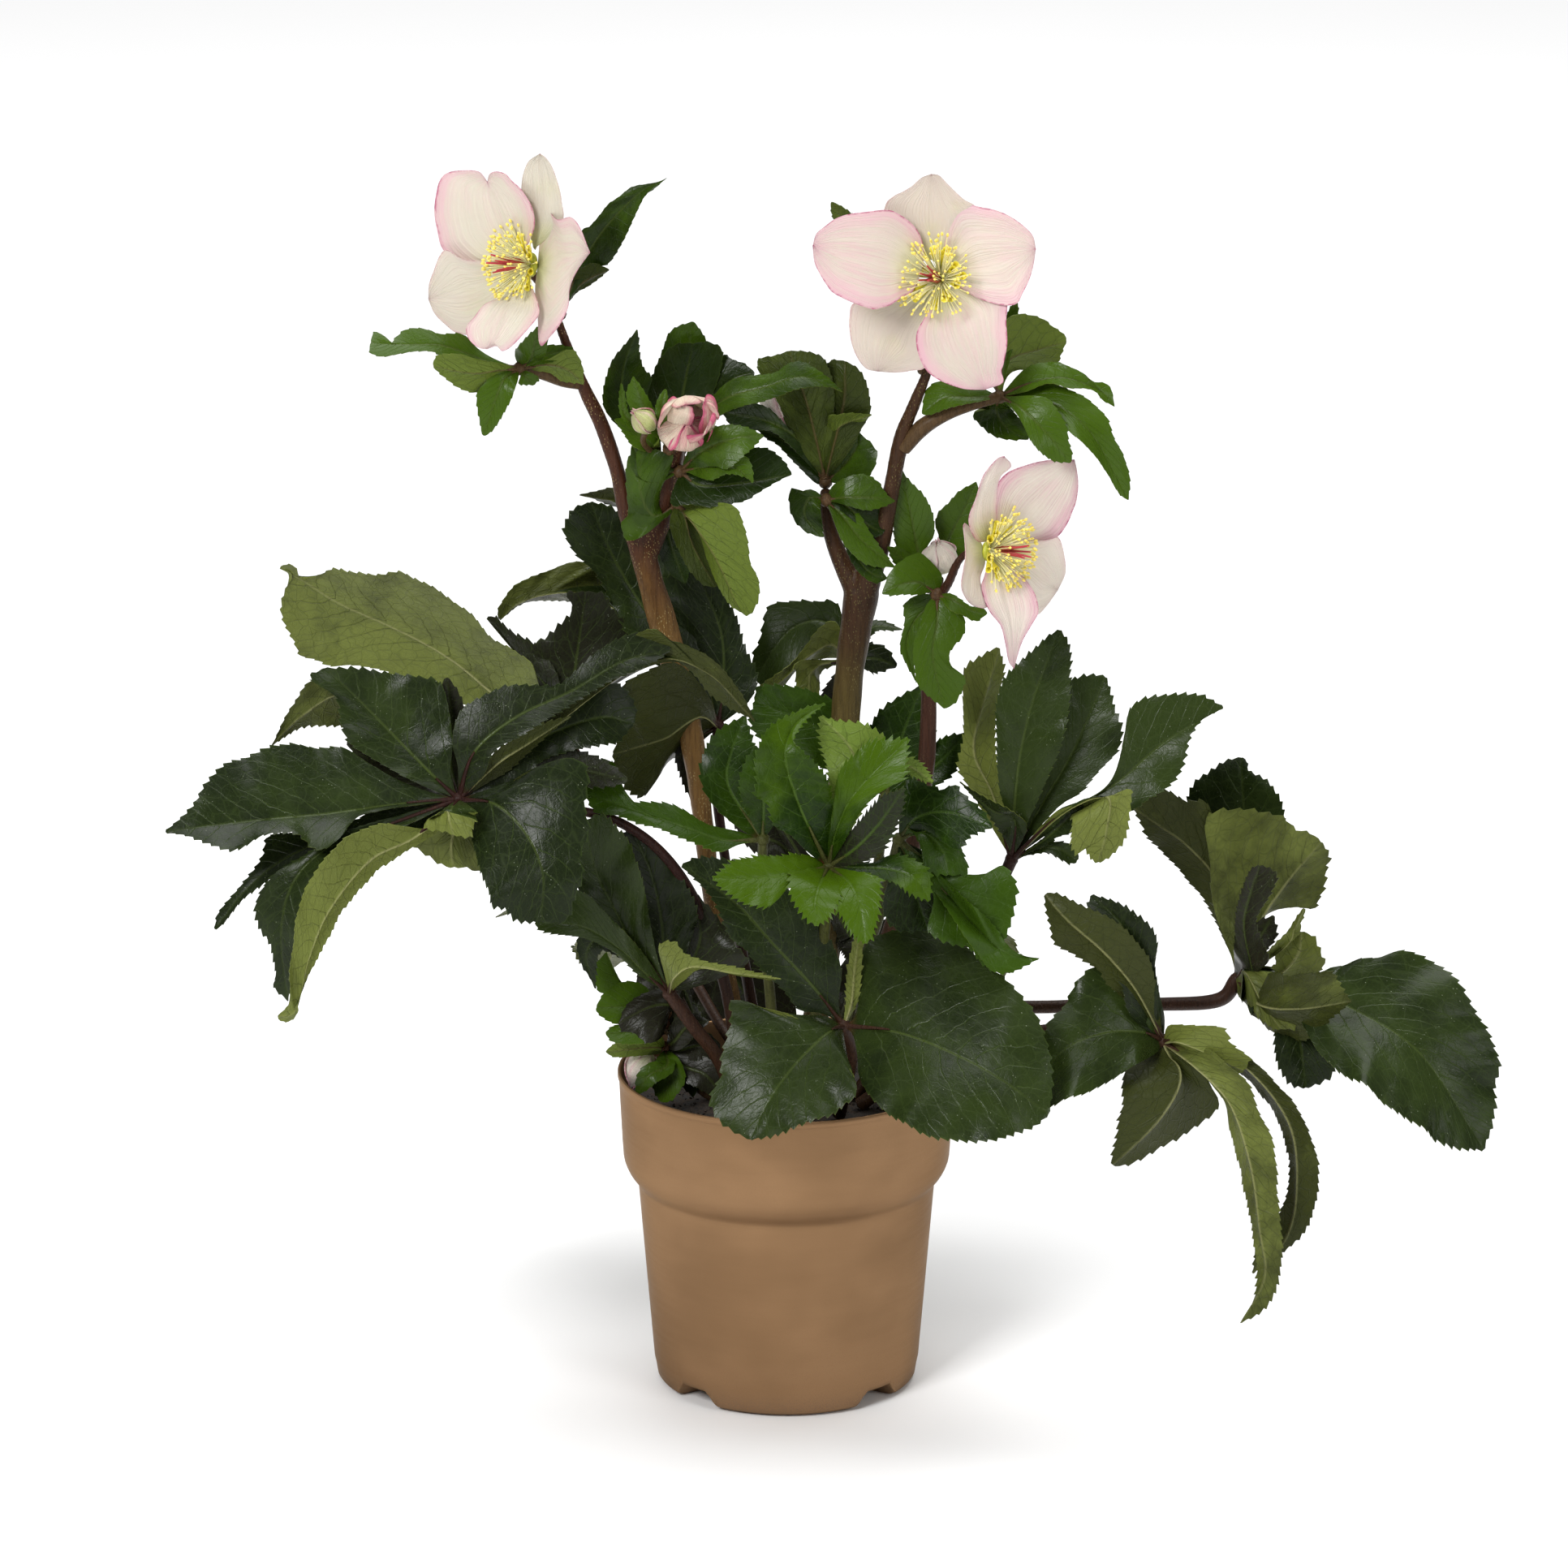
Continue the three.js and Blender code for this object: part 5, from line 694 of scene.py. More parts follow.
BRACTS: dict[str, Spray] = {
    "bract_left_flower": Spray(
        hub=(-100, 402, -12),
        stalk=Stalk(((-78, 396, -3), (-84, 397, -6), (-92, 400, -9), (-100, 402, -12)),
                    (2.2, 2.2, 2.3, 2.4)),
        blades=(
            cut(((-112, 405, -16), (-128, 411, -20), (-143, 411.5, -22), (-155.8, 412, -23)),
                (0, -0.5, 0.85),
                ((-107, 404.5), (-112, 407), (-116, 410), (-119, 413.5), (-123, 415.5), (-130, 415.3),
                 (-133, 416.7), (-138, 417.6), (-143, 416.8), (-147, 413.5), (-148, 411.8), (-150.5, 414.5),
                 (-154.5, 416.3)),
                ((-107, 403), (-113, 404), (-118, 405), (-123, 407), (-129.7, 407), (-133, 408.3),
                 (-140, 408.5), (-147, 407), (-152, 406.3), (-156.3, 408)), wave=0.4, tint=0.8),
            cut(((-108, 402, -19), (-118, 401, -23), (-132.5, 403, -26)), (0, 0.8, 0.5),
                ((-108, 404), (-116, 405.5), (-122, 407), (-129.5, 407), (-132, 405.5)),
                ((-106, 400), (-112, 395), (-117, 393), (-123, 395), (-128, 398.5), (-131.5, 401.5)),
                wave=0.2, tint=0.7),
            cut(((-106, 398, -19), (-110, 388, -21), (-114, 376, -21)), TO_FRONT,
                ((-108, 402), (-112, 398), (-116, 393), (-116.3, 388), (-115.4, 382), (-114.8, 378)),
                ((-100.3, 401), (-101, 397), (-103, 391), (-105.5, 386), (-109, 380), (-111.5, 377)),
                wave=0.4, tint=0.9),
            cut(((-98, 399, -16), (-95, 395.5, -15)), TO_FRONT,
                ((-100, 399), (-100.6, 396)),
                ((-95, 400), (-93, 398)), tint=0.5),
            cut(((-96, 406, -18), (-94, 414, -20), (-90.3, 423, -20)), TO_FRONT,
                ((-102, 408), (-98, 413.5), (-93, 418.5)),
                ((-91, 406), (-89.5, 415)), tint=0.75),
            cut(((-91, 407, -15), (-80, 410, -13)), TO_FRONT,
                ((-93, 410), (-86, 411)),
                ((-90, 404), (-83, 406)), tint=0.4),
            cut(((-90, 404, -15), (-82, 402.5, -14), (-76, 396, -13)), (0.3, 0.6, 0.7),
                ((-88, 406), (-83, 408), (-79.5, 407.5), (-77, 402.5)),
                ((-90, 400.5), (-84, 398)), tint=0.9),
        ),
    ),
    "bract_left_back": Spray(
        hub=(-85, 423, -3),
        blades=(
            cut(((-76, 443, 10), (-66, 458, 10), (-54, 470, 9), (-44.7, 475, 8)), (0.3, -0.8, 0.4),
                ((-80, 440), (-79, 450), (-76.5, 455), (-73.7, 456.3), (-70, 460.6), (-66.8, 464.8),
                 (-63, 467.5), (-58, 471.5), (-52, 472.8), (-48, 473.5)),
                ((-76, 436), (-70, 441), (-66, 443), (-61.5, 450), (-59, 455), (-56.3, 461), (-52.8, 468),
                 (-49, 471)), wave=0.4),
            cut(((-80, 432, 7), (-73, 437.5, 9), (-66.3, 440, 10)), (0.2, 0.6, 0.6),
                ((-81, 436), (-74, 442), (-70, 441.7)),
                ((-79, 430.8), (-75, 433.3), (-70.5, 436.5)), tint=-0.4, wave=0.2),
        ),
    ),
    "bract_right_flower": Spray(
        hub=(80, 391, -2),
        stalk=Stalk(((44, 371, 2), (51, 379, 0), (60, 384.5, -1), (70, 388, -1), (80, 391, -2)),
                    (3.0, 3.4, 2.9, 2.3, 2.3)),
        blades=(
            cut(((70, 391, -5), (60, 391, -5), (51, 384.5, -4)), (0, -0.6, 0.7),
                ((72, 395), (62, 397), (57, 397), (53, 394.5), (51.5, 390.5)),
                ((72, 389), (62, 387), (54, 384)), tint=0.35, wave=0.2),
            cut(((79, 398, 2), (84, 407, 8), (95, 410.5, 10), (105, 412.5, 8)), (0, 0.8, 0.5),
                ((76, 400), (80, 416), (86, 421.3), (95, 420.3), (100, 417), (104, 414.8)),
                ((84, 400), (92, 402), (101, 404.6), (103, 408)), tint=0.95, wave=0.2),
            cut(((92, 397, -6), (104, 399, -8), (114, 396, -8), (120, 392, -8), (123.3, 387.3, -8)),
                (0, -0.5, 0.85),
                ((90, 402), (100, 404.5), (105, 403), (111, 400.3), (115, 397), (119.4, 396.5), (122, 394)),
                ((90, 393), (98, 396), (106, 394.3), (112, 394.2), (116, 393), (118.6, 389.8)), tint=0.65,
                wave=0.2),
            cut(((92, 391, -8), (104, 387, -14), (116, 376, -18), (129, 351, -18)), (0.3, -0.7, 0.65),
                ((90, 396), (99, 396.5), (110, 391.8), (116, 387.3), (120.5, 382.5), (123, 375),
                 (126.5, 368), (129, 360)),
                ((92, 388), (101, 386), (106, 378.5), (111, 374), (117, 368), (122, 360), (126, 353)),
                tint=0.75, wave=0.3),
            cut(((88, 387, -16), (97, 378, -22), (107, 365.5, -22)), TO_FRONT,
                ((83, 388), (86, 385), (89, 380), (92, 374), (96, 369.5), (101, 366)),
                ((96, 391), (101, 387), (105, 380), (106, 374), (107.5, 369)), tint=0.95, wave=0.3),
            cut(((79, 386, 8), (82, 380, 9), (91, 374.5, 10)), TO_FRONT,
                ((75, 388), (70, 384.5), (73, 380), (78, 375.8), (84, 374.3)),
                ((84, 387), (89, 381), (91, 378)), tint=0.15, wave=0.2),
            Blade(((83, 410, 6), (84, 419, 6), (86, 428, 6)), 5, TO_FRONT, tint=0.85),
        ),
    ),
    "bract_right_back": Spray(
        hub=(51.5, 402, 2.5), blades=(Blade(((40, 428, 12), (28, 450, 12), (17, 467, 8)), 11, TO_BACK),),
    ),
    "bract_bud_left": Spray(
        hub=(-47, 367, -2),
        blades=(
            cut(((-56, 376, -4), (-61, 388, -4), (-61, 402, -6), (-56, 417, -6)), (0.3, -0.85, 0.3),
                ((-58, 375), (-65, 381), (-69, 387), (-69.3, 393), (-68, 399), (-65.8, 405), (-61, 411),
                 (-58, 414.5)),
                ((-48, 378), (-52, 390), (-50.5, 398), (-53.5, 402), (-55, 408), (-55.3, 413.5)), fold=0.25,
                wave=0.3),
            cut(((-51, 373, -11), (-57, 377.5, -13), (-64.6, 382.3, -14)), (0, -0.5, 0.8),
                ((-49, 376), (-54, 381), (-60, 382.7)),
                ((-51, 369), (-57.5, 372), (-61, 377)), tint=0.5, wave=0.2),
            Blade(((-57, 380, -13), (-61, 385, -15), (-62, 396, -15)), 3.2, TO_FRONT, tint=0.8),
        ),
    ),
    "bract_bud_up": Spray(
        hub=(-40.5, 367, 2),
        blades=(
            cut(((-40, 385, 8), (-38, 398, 10), (-35, 411.5, 10)), TO_FRONT,
                ((-50, 382), (-53.5, 393), (-50.3, 399.2), (-48, 404.5), (-45, 409), (-41, 411.5),
                 (-37.5, 411.9)),
                ((-29, 385), (-27.5, 392), (-25.5, 398), (-24, 405), (-24.3, 409.7), (-28.5, 412),
                 (-32, 412.2)), fold=0.3, wave=0.3, tint=-0.2),
            cut(((-42, 385, 14), (-39, 402, 16), (-35, 420, 16)), TO_FRONT,
                ((-47, 385), (-50, 399), (-48, 405), (-46, 411), (-44.5, 415), (-41, 418)),
                ((-34, 388), (-28, 405), (-30, 413), (-33, 418)), tint=0.1, wave=0.3),
            cut(((-28, 390, 8), (-20, 398, 8), (-12, 400.5, 8)), TO_FRONT,
                ((-28, 398), (-24, 407), (-20, 405.2), (-15.8, 403.8)),
                ((-24, 389), (-14, 396)), tint=-0.5),
            cut(((-30, 384, 0), (-22, 391, -7), (-8, 395, -9), (6, 399, -9), (21, 393, -7)),
                ((0, -0.8, 0.5), (0, -0.4, 0.9)),
                ((-32, 386), (-28, 391), (-22.8, 396.3), (-16, 399), (-8, 399.8), (-3.7, 400.8),
                 (0.6, 403.8), (5.8, 404.7), (10.2, 402.5), (15, 399)),
                ((-34, 376), (-24.5, 384), (-17.6, 387), (-9.8, 389), (-3.7, 391), (3.3, 393.8), (10, 395),
                 (17, 394.8)), wave=0.3),
        ),
    ),
    "bract_bud_small": Spray(
        hub=(-44, 371, -11),
        blades=(
            cut(((-50, 380, -19), (-54, 389, -20), (-57.5, 399, -18)), TO_FRONT,
                ((-54, 380), (-59.5, 388), (-60, 393.5)),
                ((-45, 377), (-48.5, 384), (-51.6, 390), (-54.5, 395)), tint=0.6, wave=0.2),
            Blade(((-46.5, 382, -24), (-47, 387, -24), (-45.5, 394, -23)), 4.5, TO_FRONT, tint=0.8),
        ),
    ),
    "bract_bud_low": Spray(
        hub=(-40, 362, -8),
        blades=(
            cut(((-32, 357, -14), (-16, 358, -17), (2, 361, -15)), (0, -0.8, 0.6),
                ((-33, 366), (-22, 369), (-12.7, 370.7), (-6.3, 370), (-1, 365.7)),
                ((-44, 350), (-37, 349.5), (-29, 348.4), (-22, 349.7), (-16, 351), (-9.8, 354.5),
                 (-3.4, 358.3)), tint=-0.4, wave=0.4),
            cut(((-32, 370, -20), (-20, 375, -24), (-8.5, 376, -24)), TO_FRONT,
                ((-34, 376), (-24, 380), (-16, 379.5)),
                ((-28, 364), (-22.5, 363), (-16, 368.5), (-13, 371)), tint=0.2, wave=0.3),
            cut(((-31, 364, -22), (-20, 364, -26), (-12.6, 357.6, -26)), TO_FRONT,
                ((-28, 370), (-16, 368.5), (-12.8, 363)),
                ((-38, 362), (-29, 358.5), (-22.5, 361), (-16, 360)), tint=0.4, wave=0.3),
            Blade(((-52, 362, -10), (-58, 372, -11)), 9, TO_FRONT),
        ),
    ),
    "bract_bud_hanging": Spray(
        hub=(-41, 349, -6),
        blades=(
            cut(((-35, 345, -13), (-25, 328, -18), (-17, 307, -18)), (0.3, 0.75, 0.5),
                ((-36, 349), (-35.5, 342), (-33, 335), (-30.5, 327), (-27.5, 319), (-24, 313), (-21, 309)),
                ((-22, 349), (-17, 341), (-15.3, 333.6), (-14, 326), (-11.5, 321), (-10.5, 316),
                 (-11.5, 310), (-14.5, 305.5)), fold=0.25, wave=0.2, tint=0.8),
            cut(((-39, 345, -9), (-36, 334, -11), (-27, 317, -13)), (-0.5, 0.75, 0.3),
                ((-43, 347), (-44, 339), (-38, 325), (-32, 318)),
                ((-34, 347), (-30, 335), (-24, 320)), tint=-0.3, wave=0.3),
            cut(((-50, 345, -9), (-55, 355, -11), (-54, 370.5, -11)), (-0.1, -0.9, 0.2),
                ((-50, 340), (-58.5, 334), (-61.5, 337), (-62, 341), (-59.6, 344), (-60, 348), (-60.8, 357),
                 (-60.6, 364.5), (-58.5, 368.7)),
                ((-46, 344), (-47, 353), (-44, 362), (-43, 368), (-48, 370)), tint=0.2, wave=0.3,
                fold=-0.25),
            Blade(((-45, 344, 4), (-43, 332, 5), (-38, 318, 5)), 12, TO_FRONT, tint=-0.2),
        ),
    ),
    "bract_mid_front": Spray(
        hub=(15, 351, 5),
        blades=(
            cut(((21, 345, 1), (29, 335, -2), (41, 324.7, -3)), (0.2, -0.8, 0.5),
                ((20, 354), (25.2, 349.6), (32, 337.5), (37.3, 330)),
                ((17, 345), (21, 335), (27, 328), (33, 325)), tint=0.3, wave=0.3),
            cut(((22, 352, 0), (32, 352, -1), (41, 350.5, -1)), TO_FRONT,
                ((18, 357), (27, 361), (34, 358.5), (37.5, 353.5)),
                ((22, 349), (30, 347), (37, 348.5)), tint=0.1, wave=0.3),
            cut(((22, 349, 2), (30, 342, 2), (36.5, 338, 2)), TO_FRONT,
                ((28, 350), (36, 348.5), (39.5, 347)),
                ((25, 343), (30, 337), (33, 336)), tint=-0.3),
            cut(((22, 338, 0), (30, 324, -4), (38, 320.3, -5)), TO_FRONT,
                ((25, 334), (29, 328), (34, 326.3)),
                ((24, 328), (29, 321), (34, 318.5)), tint=-0.2),
            cut(((9, 352, 2), (7, 345, 1), (14, 336.5, 2)), TO_FRONT,
                ((10, 355), (6, 354.5), (1.7, 355.5), (1, 349.7), (2.2, 344.5), (5.8, 339.7),
                 (10.4, 337.2)),
                ((13, 350), (13.5, 342)), tint=0.1, wave=0.2),
        ),
    ),
    "bract_mid_back": Spray(
        hub=(14.7, 358, 16),
        blades=(
            cut(((8, 366, 16), (-1, 374, 15), (-12, 379.5, 14)), TO_FRONT,
                ((16, 366), (14, 376), (8, 381.5), (0, 382), (-6, 381)),
                ((11, 357.5), (2, 366.5), (-3.7, 372.5), (-8, 375)), tint=-0.4, wave=0.3),
            cut(((5, 374, 10), (-8, 382, 6), (-24, 385, 2)), TO_FRONT,
                ((-1, 381), (-9, 387.8), (-17, 388)),
                ((-3, 376), (-12, 378), (-20, 379)), tint=-0.3),
            cut(((21, 364, 14), (26, 371, 12), (27, 378, 12)), TO_FRONT,
                ((16, 364), (19, 376), (22, 380)),
                ((26, 357), (32, 361), (34.5, 368.5), (32, 373), (28, 376.5)), tint=0.1, wave=0.3),
            cut(((17, 368, 12), (22, 390, 9), (22, 404.8, 10)), (0.2, 0.85, 0.3),
                ((11, 376), (12, 395), (15, 403), (17, 405.2)),
                ((24, 370), (28, 378), (31.3, 384), (31.3, 390), (29.5, 397), (26.5, 402)), tint=-0.35,
                wave=0.6, fold=0.3),
            cut(((12, 372, 10), (7, 392, 7), (1, 408.7, 8)), (0, 0.9, 0.3),
                ((3, 372), (-3, 388), (-10, 399), (-10.8, 405), (-4.5, 406.8)),
                ((17, 374), (18, 392), (15, 404), (11, 407.3), (6, 408.6)), tint=-0.2, wave=0.6, fold=0.3),
            cut(((18, 372, 14), (20, 380, 8), (32, 384, 6)), (0, 0.5, 0.8),
                ((15.5, 382.8), (18, 384.5), (25, 385.3)),
                ((20, 378), (22, 381), (28.5, 381.3)), tint=0.2),
        ),
    ),
    "bract_right_up": Spray(
        hub=(54, 317, 9),
        blades=(
            cut(((50, 330, 8), (47, 345, 7), (43.5, 362.5, 6)), (-0.1, -0.8, 0.5),
                ((48, 322), (43, 329), (40.5, 337), (40.8, 347), (41.2, 357)),
                ((53, 331), (55.7, 337), (55.7, 343.5), (54, 349), (51.3, 353.5), (46, 359)), tint=0.45,
                wave=0.3),
            cut(((61, 335, 15), (67, 347, 15), (71.5, 358, 14)), (0.2, -0.85, 0.4),
                ((56, 328), (57.4, 336), (56, 341.5), (57.4, 346.5), (61, 350), (65, 354.5)),
                ((66, 329), (72, 338), (74, 350)), tint=1, wave=0.3),
            cut(((50, 322, 6), (44, 328, 4), (37.8, 332.8, 4)), TO_FRONT,
                ((50, 326), (44, 332)),
                ((48, 320), (41, 326)), tint=0.25),
        ),
    ),
    "bract_right_low": Spray(
        hub=(57, 314, -5),
        blades=(
            cut(((50, 319, -9), (43, 318, -11), (36.2, 314.3, -11)), TO_FRONT,
                ((59, 321), (54, 328), (50, 330.5), (46, 329), (41, 325.5), (38, 320.5)),
                ((54, 315), (51, 313.8), (45, 313.8), (40, 313.5)), tint=1, wave=0.3),
            cut(((57, 303, -11), (55.5, 290, -14), (60, 269, -15)), TO_FRONT,
                ((53, 310), (51, 303), (48.5, 296), (48, 289.5), (48.7, 285), (49.5, 279), (54, 274)),
                ((62, 309.5), (67, 306), (67.5, 299), (63, 293), (61.7, 289.5), (63, 285.5), (67.8, 281.5),
                 (67.3, 277), (64, 271)), tint=0.75, wave=0.5),
            cut(((53, 309, -5), (48, 303, -5), (45.5, 294, -6), (49, 280, -8)), TO_FRONT,
                ((50, 314), (44.5, 310), (44.7, 303), (43, 293.5), (45, 287.5)),
                ((55, 306), (52, 298), (48.5, 290)), tint=0.35, wave=0.2),
            cut(((63, 312, -12), (70, 308, -13), (76, 306.5, -13)), (0.2, -0.5, 0.8),
                ((63, 314), (69.6, 309.5), (74, 309)),
                ((62, 308), (67, 306), (72, 304)), tint=0.55),
        ),
    ),
    "bract_low_shoot": Spray(
        hub=(-46.5, 143.5, -8),
        blades=(
            cut(((-58, 153, -10), (-66, 164, -11), (-69, 171.8, -10)), TO_FRONT,
                ((-63, 156), (-71, 155), (-74, 161), (-73, 167)),
                ((-55, 154), (-62, 158), (-66, 165)), wave=0.3, tint=0.8),
            cut(((-52, 148, -14), (-62, 150, -16), (-73, 149.5, -17)), TO_FRONT,
                ((-52, 156), (-58, 160), (-66, 159), (-71, 154)),
                ((-54, 142), (-62, 142), (-68, 143.4), (-72.6, 147)), wave=0.5, tint=0.9),
            cut(((-44, 150, -16), (-52, 150, -20), (-64.5, 143, -22)), TO_FRONT,
                ((-40, 154), (-47, 157.5), (-56, 155), (-62, 150)),
                ((-43, 138), (-50, 135.5), (-58, 136), (-63, 139)), wave=0.2, tint=-1, curl=0.3),
            cut(((-52, 140, -22), (-60, 140, -23), (-69.5, 139, -22)), TO_SKY,
                ((-54, 144), (-61, 143.5), (-67, 142)),
                ((-52, 136), (-60, 134.5), (-67, 135.5)), wave=0.4, tint=0.7),
        ),
    ),
    "bract_low_bud": Spray(
        hub=(-46.5, 133, -9),
        blades=(
            cut(((-50, 134, -15), (-60, 133, -17), (-69.5, 131.5, -17)), TO_BACK,
                ((-48, 137.5), (-54, 138), (-61, 136.5), (-67, 134)),
                ((-48, 131), (-56, 130), (-66, 129.5)), wave=0.3, tint=1),
            cut(((-46, 129, -16), (-45, 121, -18), (-48, 111, -19)), TO_FRONT,
                ((-51, 127), (-52, 119), (-50, 113)),
                ((-41, 128), (-39, 120), (-44, 112)), wave=0.4, tint=0.4),
            cut(((-40, 130, -9), (-37, 123, -10), (-36, 113, -10)), TO_FRONT,
                ((-44, 129), (-42, 120)),
                ((-34, 128), (-32, 120)), wave=0.4, tint=-0.1),
            # These dark blades fill the shade round the low bud; their dark tint is partly painted shade.
            Blade(((-43, 136, -14), (-38, 142, -18), (-30, 144, -20)), 11, TO_FRONT, tint=-1, wave=0.4),
            Blade(((-40, 126, -14), (-31, 122, -18), (-24, 112, -20)), 12, TO_FRONT, tint=-1, wave=0.4),
            Blade(((-42, 132, -10), (-33, 134, -12), (-24, 128, -14)), 12, TO_FRONT, tint=-1, wave=0.4),
            Blade(((-46, 126, -20), (-53, 122, -24), (-58, 114, -24)), 8, TO_FRONT, tint=0.2, wave=0.4),
        ),
    ),
}

STEMS: dict[str, tuple[Stalk, ...]] = {
    "stem_left": (
        Stalk((foot(-14, 4), (-20, 148, 4), (-28, 190, 4), (-32, 226, 4), (-37, 262, 4), (-45.5, 298, 4),
               (-51, 318, 3), (-55, 333, 2)),
              (4.6, 3.6, 3.6, 4, 4.6, 5.2, 5.1, 5)),
        Stalk(((-55, 333, 2), (-60, 346, 0), (-63.6, 362, -1), (-69.4, 380, -2), (-75.8, 394, -3),
               (-82, 410, -4), (-87, 424, -6), (-91, 433, -12), (-96, 439.4, -18.8)),
              (4.6, 3.5, 3.1, 3, 2.7, 2.1, 1.7, 1.7, 1.9)),
        Stalk(((-53, 331, 2), (-50, 343, 0), (-47.5, 355, -2), (-43, 366, -4), (-40, 376.8, -12.4)),
              (4.9, 6.4, 6, 4, 2.4)),
    ),
    "stem_centre": (
        Stalk((foot(5, 11), (12, 150, 11), (18, 195, 11), (21, 240, 11), (23.6, 279, 11), (26.3, 301, 10),
               (28.5, 316, 9)),
              (5.6, 5, 5.2, 5.6, 6, 5.9, 6.6)),
        Stalk(((27.5, 314, 9), (19.5, 330, 11), (15.3, 344, 12), (14.8, 355, 13)), (5, 3.4, 2.9, 2.4)),
        Stalk(((29.5, 315, 8), (36, 336, 6), (39.5, 355, 4), (43.5, 376, 2), (48, 388, 1), (53.5, 403, 0),
               (56.5, 420, -1), (56.8, 430, -4), (56.7, 434.8, -7.6)),
              (5.2, 3.6, 3.1, 2.9, 2.4, 1.9, 1.6, 1.7, 2)),
    ),
    "stem_right": (
        Stalk((foot(19, 7), (34, 160, 6), (46, 205, 4), (52.5, 240, 3), (54, 272, 2), (52, 300, 1),
               (56.5, 313, 0)),
              (3.6, 3.2, 3.3, 3.4, 3.3, 3, 2.6)),
        Stalk(((56.5, 312, 0), (61, 318, -6), (65, 327, -16), (70, 331, -22), (77.2, 331.8, -25)),
              (2.3, 1.9, 1.7, 1.6, 1.9)),
        Stalk(((55, 311, 1), (57, 316, 4), (58.5, 321, 7)), (2.4, 1.8, 1.5)),
    ),
    "stem_low": (
        Stalk((foot(-27, -6), (-34, 118, -7), (-41, 134, -8), (-47, 141, -8), (-51, 136, -8),
               (-53, 132, -8)),
              (2.6, 2.3, 2.1, 1.9, 1.7, 1.5)),
    ),
}

def petal(rib: tuple[Triple, ...], face: Triple, one: Outline, other: Outline, **changes: Any) -> Blade:
    """Returns a sepal whose two edges pass given places."""
    return cut(rib, face, one, other, **{"fold": 0.08, "curl": 0.04, **changes})


